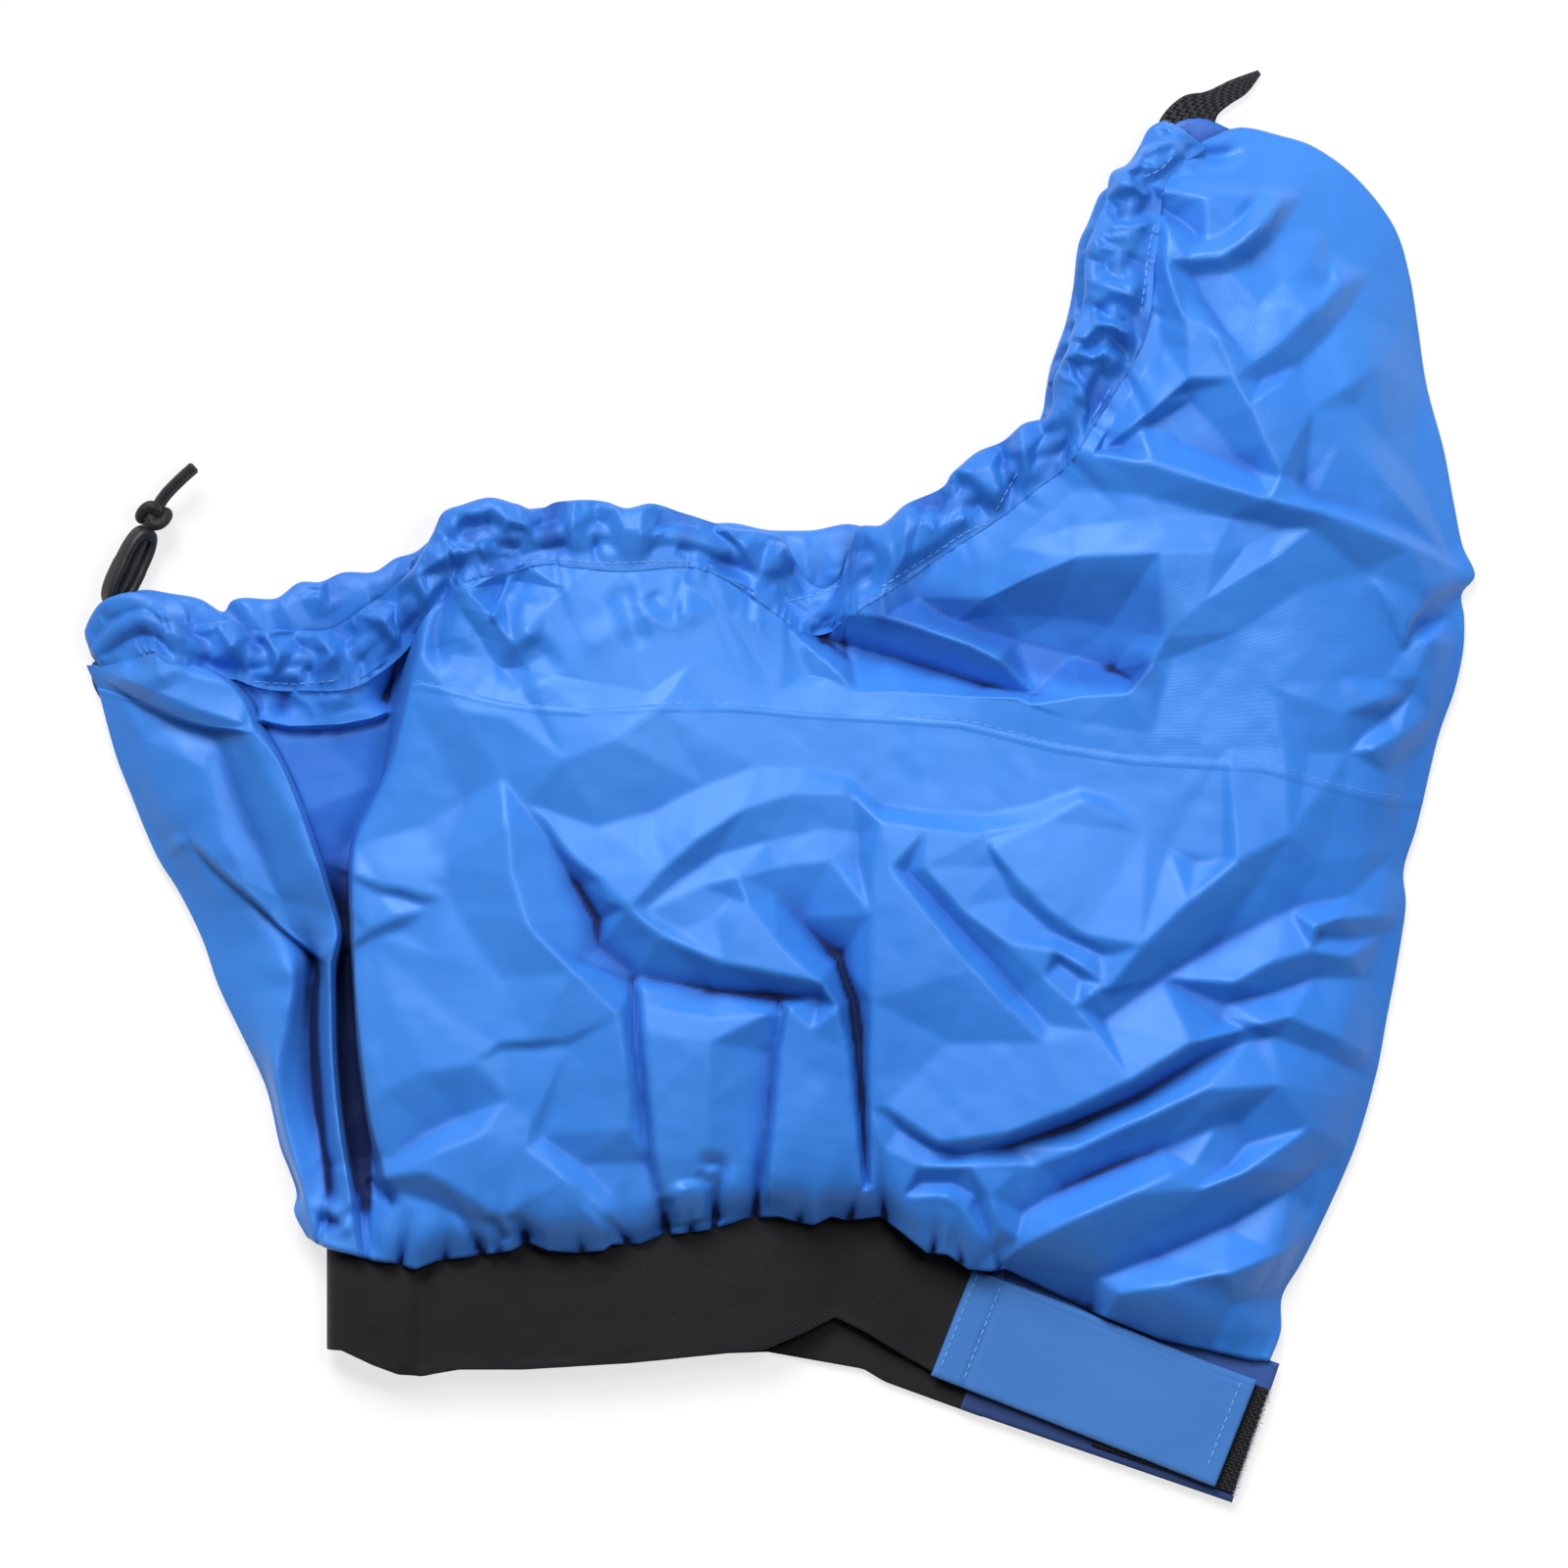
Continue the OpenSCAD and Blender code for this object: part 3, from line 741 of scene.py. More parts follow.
# Fold lines of the front layer from left to right. Each runs from the waist lip up to the seam
# between tunnel and deck, and on from the seam to the hem's stitch line: [x, y, height].
FOLD_LINES = [
    ([[-221, -211, 15], [-226, -200, 11], [-225, -192, 7], [-229, -180, 5.5], [-233, -170, 5.5],
      [-240, -141, 5.5], [-252, -115, 5.5], [-262, -94, 5.5], [-270, -71, 5.5], [-281, -49, 5.5],
      [-290, -35, 5.5], [-297, -20, 5.5], [-303, -5, 5.5], [-310, 13, 5.5], [-319, 46, 5.5]],
     [[-323, 54, 6], [-325.5, 61, 7]]),
    ([[-216, -213, 22], [-220, -198, 21], [-233, -150, 20], [-235, -128, 21], [-229, -90, 23],
      [-232, -74, 22], [-258, -48, 18], [-284, -20, 14], [-303, 41, 16]],
     [[-306, 50, 18], [-307, 60, 15]]),
    ([[-211, -214, 24], [-212, -198, 19], [-216, -165, 10], [-219, -150, 7], [-221, -120, 6],
      [-220, -96, 6], [-218, -84, 10], [-226, -64, 22], [-244, -40, 26], [-262, -20, 26], [-281, 31, 27]],
     [[-285, 42, 29], [-288, 52, 29], [-288, 62, 27]]),
    ([[-198, -216, 28], [-200, -200, 29], [-203, -180, 29], [-206, -162, 28], [-208, -145, 27],
      [-209.5, -125, 28], [-210, -100, 30], [-210, -84, 33], [-207, -70, 34], [-212, -50, 36],
      [-218, -30, 36], [-225, -10, 36], [-235, 13, 36], [-246, 27, 37]],
     [[-250, 38, 36], [-262, 51, 34], [-280, 60, 30]]),
    ([[-194, -217, 26], [-196, -200, 23], [-199.5, -180, 12], [-202.5, -162, 8], [-204.5, -145, 8],
      [-206, -125, 8], [-206.5, -100, 8], [-206, -84, 8], [-204, -70, 8], [-209, -50, 8], [-215, -30, 8],
      [-222, -10, 9], [-232, 13, 10], [-242, 31, 13]],
     [[-246, 40, 12], [-256, 50, 14], [-269, 56, 19]]),
    ([[-191, -217, 26], [-193, -201, 23], [-196, -180, 10], [-199.5, -150, 6], [-202, -110, 6],
      [-203, -80, 6], [-205, -40, 6], [-210, -10, 7], [-214, 29, 11]],
     [[-216, 36, 14], [-220, 42, 16], [-222, 48, 16]]),
    ([[-188, -217, 26], [-189, -202, 27], [-190, -180, 13], [-194, -155, 8], [-198, -125, 7],
      [-200, -95, 7], [-201.5, -70, 7], [-201, -28, 7], [-194, -12, 8], [-187, 5, 9], [-183, 33, 12]],
     [[-183, 42, 13], [-184, 52, 15], [-186, 58, 19]]),
    ([[-182, -218, 27], [-179, -206, 34], [-183, -185, 36], [-190, -160, 37], [-195, -125, 37],
      [-198, -95, 37], [-199, -70, 37], [-198.5, -28, 37], [-191, -12, 37], [-183, 5, 37], [-176, 30, 37],
      [-172, 47, 37]],
     [[-168, 60, 38], [-164, 76, 37], [-157, 93, 34]]),
    ([[-171, -219, 27], [-169, -204, 38], [-173, -180, 41], [-179, -155, 42], [-185, -125, 42],
      [-188, -95, 42], [-189, -70, 42], [-188, -28, 42], [-180, -8, 42], [-168, 20, 42], [-158, 46, 42]],
     [[-154, 62, 42], [-148, 82, 40], [-141, 100, 37]]),
    ([[-130, -217, 27], [-131, -200, 42], [-135, -140, 50], [-135, -80, 50], [-135, -20, 50],
      [-132, 40, 48]],
     [[-131, 60, 46], [-129, 84, 43], [-126, 103, 38]]),
    ([[-82, -215, 26], [-83, -197, 43], [-85, -140, 53], [-85, -80, 55], [-85, -20, 56], [-82, 36, 52]],
     [[-82, 52, 50], [-81, 70, 47], [-80, 88, 43], [-79, 104, 38]]),
    ([[-34, -206, 25], [-34, -188, 41], [-36, -135, 51], [-36, -80, 54], [-36, -20, 55], [-33, 37, 50]],
     [[-34, 53, 46], [-36, 71, 43], [-37, 89, 41], [-38, 104, 37]]),
    ([[12, -201, 24], [12, -186, 39], [10, -135, 48], [10, -80, 51], [10, -20, 50], [14, 34, 46]],
     [[18, 46, 40], [16, 58, 33], [12, 68, 27], [10, 76, 22]]),
    ([[42, -200, 22], [43, -186, 36], [43, -135, 46], [44, -80, 51], [46, -20, 50], [60, 31, 43]],
     [[54, 50, 38], [46, 70, 34], [45, 82, 34], [46, 91, 35]]),
    ([[80, -218, 25], [86, -200, 38], [98, -135, 48], [104, -80, 50], [106, -20, 48], [118, 19, 46]],
     [[122, 55, 47], [120, 88, 48], [110, 112, 46], [100, 126, 41]]),
    ([[120, -230, 17], [132, -212, 33], [155, -135, 48], [165, -80, 49], [168, -20, 48], [180, 11, 46]],
     [[182, 65, 47], [180, 120, 53], [168, 150, 53], [152, 180, 49]]),
    ([[165, -251, 13], [178, -232, 32], [210, -135, 42], [222, -80, 41], [228, -20, 41], [235, 8, 41]],
     [[238, 85, 45], [225, 165, 54], [198, 205, 54], [171, 222, 51]]),
    ([[206, -262, 12], [216, -243, 24], [252, -135, 28], [264, -80, 27], [270, -20, 27], [274, -4, 29]],
     [[284, 95, 33], [262, 200, 43], [222, 253, 48], [177, 272, 43]]),
    ([[230, -269, 9], [235, -256, 7], [236, -240, 5.5], [245, -224, 5.5], [257, -200, 5.5],
      [270, -170, 5.5], [280, -136, 5.5], [285, -110, 5.5], [290, -84, 5.5], [294, -55, 5.5],
      [293, -40, 5.5], [299, -20, 5.5], [302, -8, 5.5]],
     [[310, 25, 5.5], [317, 45, 5.5], [321, 64, 5.5], [321.5, 79, 5.5], [320.5, 90, 5.5], [326.5, 98.5, 6],
      [321, 112, 5.5], [316.5, 134, 5.5], [312, 158, 5.5], [304, 188, 5.5], [300, 215, 5.5],
      [296, 240, 5.5], [289, 262, 5.5], [270, 286, 5.5], [250, 300, 6], [235, 305, 8], [215, 309, 13],
      [198, 303, 24]]),
]

# The cloth's lower edge over the waistband, and the seam between tunnel and deck.
WAIST_EDGE = np.array([[-225, -207], [-220, -212], [-212, -215], [-200, -218], [-190, -221], [-180, -222],
              [-170, -225], [-160, -221], [-145, -219], [-125, -216], [-118, -212], [-108, -216],
              [-95, -217], [-82, -216], [-78, -213], [-65, -213], [-55, -209], [-45, -208],
              [-30, -206], [-15, -201], [0, -200], [10, -203], [17, -204], [25, -200], [33, -202],
              [48, -200], [55, -205], [70, -217], [80, -218], [90, -225], [100, -226],
              [108, -225], [150, -246], [180, -258], [231, -270]], float)
SEAM_LINE = np.array([[-319, 46], [-300, 40], [-285, 33], [-270, 28], [-247, 26], [-242, 31], [-230, 28],
             [-205, 29], [-190, 32], [-178, 37], [-172, 47], [-168, 48], [-150, 44], [-130, 39],
             [-110, 36], [-90, 35], [-60, 37], [-20, 37], [10, 34], [60, 31], [86, 29], [130, 18],
             [167, 12], [227, 9], [266, -2], [286, -7], [302, -8]], float)

# Painted shade in wide hollows under a lap, where little light comes in: middle line, reach and shade
# share.
SHADED_HOLLOWS = [([[52, 84], [78, 82], [104, 72]], 15, 0.5),
                ([[112, 62], [140, 55], [168, 54]], 13, 0.5),
                ([[120, 84], [150, 88], [172, 82]], 22, 0.28)]

# Gathered hems: outer edge, stitch line and height of the middle: [x, y, x, y, z].
FRONT_HEM = [
    [-325.5, 67, -320, 56, 7], [-321, 77, -311, 59, 12], [-314, 85, -301, 64, 19],
    [-303, 89, -294, 66, 23], [-292, 86, -288, 62, 26], [-284, 78, -279, 58, 27],
    [-277, 74, -269, 56, 20], [-266, 75, -262, 54, 18], [-256, 76, -254, 53, 18],
    [-246, 71, -246, 50, 17], [-236, 71, -235, 48, 16], [-222, 71, -222, 48, 16],
    [-210, 71, -208, 48, 16], [-202, 75, -198, 50, 17], [-194, 82, -188, 56, 19],
    [-184, 88, -178, 64, 23], [-175, 96, -168, 76, 28], [-167, 106, -160, 88, 32],
    [-161, 116, -153, 94, 34], [-156, 126, -146, 99, 36], [-148, 129, -140, 101, 37],
    [-135, 132, -128, 103, 38], [-122, 129, -116, 106, 38], [-112, 126, -107, 107, 38],
    [-104, 131, -100, 106, 38], [-94, 133, -90, 105, 38], [-80, 132, -79, 104, 38],
    [-70, 128, -69, 104, 38], [-58, 129, -57, 105, 38], [-45, 127, -46, 106, 37],
    [-32, 123, -36, 105, 36], [-22, 120, -28, 102, 33], [-10, 118, -18, 97, 30],
    [1, 115, -8, 90, 26], [7, 105, 2, 82, 22], [13, 94, 10, 76, 20], [20, 90, 18, 74, 20],
    [28, 94, 26, 76, 24], [33, 107, 30, 80, 29], [38, 119, 37, 85, 33], [49, 122, 47, 91, 35],
    [60, 131, 59, 99, 37], [77, 138, 74, 109, 38], [82, 146, 84, 116, 39],
    [92, 155, 95, 123, 40], [105, 160, 108, 132, 42], [115, 168, 120, 142, 44],
    [127, 173, 134, 153, 46], [131, 187, 145, 170, 48], [134, 200, 156, 188, 50],
    [138, 206, 164, 201, 51], [144, 230, 171, 222, 52], [146, 252, 173, 244, 50],
    [149, 262, 175, 258, 47], [155, 274, 176, 270, 44], [158, 287, 178, 282, 41],
    [165, 291, 181, 288, 38], [171, 299, 186, 293, 34], [176, 308, 194, 298, 30],
    [184, 313, 199, 302, 26]]
BACK_HEM = [
    [-317, 74, -308, 57, 8], [-310, 85, -299, 58, 8], [-299, 90, -288, 60, 8],
    [-285, 88, -276, 62, 8], [-270, 85, -262, 62, 8], [-259, 79, -251, 62, 8],
    [-255, 84, -246, 64, 8], [-237, 87, -236, 66, 8], [-225, 95, -222, 72, 8],
    [-214, 95, -209, 74, 8], [-204, 98, -198, 78, 8], [-190, 100, -184, 82, 8],
    [-180, 106, -172, 86, 8], [-170, 109, -160, 90, 8], [-160, 117, -150, 95, 8],
    [-140, 122, -134, 99, 8], [-117, 127, -117, 101, 8], [-80, 128, -80, 103, 8],
    [-50, 124, -52, 100, 8], [-30, 122, -30, 95, 8], [-10, 119, -10, 93, 8],
    [10, 118.5, 10, 92, 8], [30, 119.5, 30, 94, 8], [45, 121, 48, 98, 8],
    [60, 127, 68, 108, 8], [78, 134, 88, 120, 8], [96, 148, 106, 132, 8],
    [110, 160, 122, 146, 8], [124, 170, 138, 160, 8], [128, 187, 150, 184, 8],
    [132, 203, 160, 208, 8], [140, 228, 165, 225, 8], [144, 255, 172, 255, 8],
    [148, 264, 175, 266, 8], [157, 285, 181, 284, 8]]


@dataclass(frozen=True)
class Fold:
    """One fold of the cloth, drawn as a line in plan.

    The cloth moves by height x profile(distance from the line / width), where the profile mixes
    (1 - t^2)^2 and (1 - t)^2 by how crisp the fold is. The left hand of a lap is the upper one:
    it rises to the line, and the cloth beyond drops below it.
    """

    kind: FoldKind
    line: tuple[tuple[float, float], ...]
    height: float
    left: float
    right: float
    crisp: float = 0.4
    start: float = 0.25
    end: float = 0.25

    def lift(self, xy: np.ndarray) -> np.ndarray:
        """Height that the fold adds at points in plan.

        Args:
            xy: Points, shape (n, 2).

        Returns:
            Heights, shape (n,).
        """
        out = np.zeros(len(xy))
        raw = np.array(self.line, float)
        reach = 1.3 * max(self.left, self.right)
        near = np.all((xy > raw.min(0) - reach) & (xy < raw.max(0) + reach), axis=1)
        if not near.any():
            return out
        line = even_curve(raw, 4 + 5 * len(raw))
        dist, share = beside(xy[near], line)
        wide = np.where(dist >= 0, self.left, self.right) * 1.3
        t = np.clip(np.abs(dist) / wide, 0, 1)
        crisp = 0.25 + 0.75 * self.crisp
        body = (1 - crisp) * (1 - t * t) ** 2 + crisp * (1 - t) ** 2
        fade = (smoothstep(share, 0.0, max(self.start, 1e-3))
                * smoothstep(1 - share, 0.0, max(self.end, 1e-3)))
        if self.kind is FoldKind.VALLEY:
            body = -body
        elif self.kind is FoldKind.LAP:
            step = smoothstep(dist, -0.9, 0.9)
            body = body * (step - 0.45 * (1 - step))
        out[near] = 1.25 * self.height * body * fade
        return out


def ridge(height: float, wide: float, *line: tuple[float, float], **more: float) -> Fold:
    """A fold that stands up, as wide on both sides."""
    return Fold(FoldKind.RIDGE, line, height, wide, wide, **more)


def valley(height: float, wide: float, *line: tuple[float, float], **more: float) -> Fold:
    """A fold that sinks, as wide on both sides."""
    return Fold(FoldKind.VALLEY, line, height, wide, wide, **more)


def lap(height: float, left: float, right: float, *line: tuple[float, float],
        **more: float) -> Fold:
    """A fold whose left hand lies over its right hand."""
    return Fold(FoldKind.LAP, line, height, left, right, **more)


FOLDS = [
    # Stern flap.
    lap(3.0, 14, 10, (-317, 50), (-300, 40), (-285, 33), (-270, 28), (-249, 25), start=0.1, end=0.05),
    lap(4.5, 18, 14, (-280, -21), (-262, -40), (-245, -55), (-232, -68), (-212, -84), end=0.05),
    ridge(1.5, 4, (-290, -34), (-277, -24)),
    valley(4.0, 8, (-320, 60), (-310, 70), (-302, 79), crisp=0.2),
    valley(3.0, 7, (-296, 84), (-300, 70), (-301, 50), crisp=0.2),
    lap(3.0, 6, 5, (-284, 62), (-287, 74), (-291, 86), start=0.1),
    ridge(3.0, 12, (-292, 78), (-292, 60), (-286, 45), crisp=0.2),
    # Hem and deck in the pleat.
    ridge(5.0, 10, (-278, 64), (-262, 66), (-248, 66), crisp=0.2),
    valley(4.0, 5, (-280, 60), (-262, 55), (-249, 56), crisp=0.5),
    valley(4.0, 4, (-244, 70), (-246, 60), (-243, 54), crisp=0.6),
    valley(4.0, 6, (-238, 56), (-233, 44), (-232, 31)),
    ridge(3.0, 12, (-212, 66), (-208, 50), (-204, 34), crisp=0.2),
    ridge(4.0, 8, (-196, 82), (-186, 84), (-178, 78), crisp=0.3),
    valley(6.0, 7, (-174, 84), (-177, 62), (-183, 45), (-192, 32), crisp=0.3),
    ridge(3.0, 5, (-225, 62), (-213, 66), (-205, 58), crisp=0.3),
    lap(4.0, 14, 5, (-246, 31), (-230, 27), (-205, 28), (-190, 31), (-180, 35), start=0.05, end=0.1),
    valley(3.0, 5, (-203, 84), (-200, 68), (-203, 58)),
    # Left edge below the flap.
    ridge(2.5, 9, (-236, -150), (-246, -120), (-262, -80), crisp=0.2),
    valley(2.0, 10, (-232, -105), (-248, -75), (-262, -50), crisp=0.2),
    valley(5.0, 5, (-195, -185), (-185, -190), (-180, -200)),
    valley(4.0, 4, (-217, -205), (-210, -204), (-204, -208)),
    ridge(3.0, 6, (-218, -192), (-209, -200), (-200, -212)),
    # Top of the body.
    valley(4.0, 6, (-158, 113), (-156, 92), (-160, 70), (-158, 50), crisp=0.5),
    valley(5.0, 6, (-154, 120), (-138, 120), (-129, 108), (-125, 96), crisp=0.5),
    lap(3.5, 9, 7, (-126, 99), (-131, 88), (-136, 76)),
    valley(3.0, 10, (-134, 54), (-118, 57), (-103, 66), crisp=0.2),
    ridge(3.0, 12, (-148, 100), (-145, 80), (-147, 60), crisp=0.2),
    valley(3.0, 5, (-162, 118), (-153, 103)),
    ridge(3.0, 9, (-118, 92), (-120, 76), (-112, 66), crisp=0.2),
    valley(2.0, 8, (-78, 96), (-70, 80), (-66, 62), crisp=0.2),
    valley(2.2, 7, (-60, 92), (-54, 84), (-44, 82), crisp=0.2),
    ridge(1.6, 10, (-95, 60), (-60, 80), (-30, 78), crisp=0.2),
    # Left half of the body.
    valley(4.0, 4, (-136, -202), (-127, -213), crisp=0.6, end=0.05),
    valley(4.0, 4, (-126, -200), (-118, -213), crisp=0.6, end=0.05),
    valley(4.0, 5, (-40, -176), (-27, -178), (-28, -190), (-29, -205), crisp=0.6, end=0.05),
    valley(2.5, 4, (-38, -181), (-31, -187)),
    valley(4.0, 5, (-52, -192), (-52, -209), crisp=0.6, end=0.05),
    ridge(4.0, 8, (-44, -184), (-40, -205), crisp=0.2, end=0.05),
    ridge(3.0, 6, (178, 311), (200, 303), (217, 306), crisp=0.5),
    valley(4.0, 6, (186, 303), (205, 295), (220, 300), crisp=0.4),
    ridge(3.0, 6, (176, 286), (186, 294), (200, 292), crisp=0.5),
]


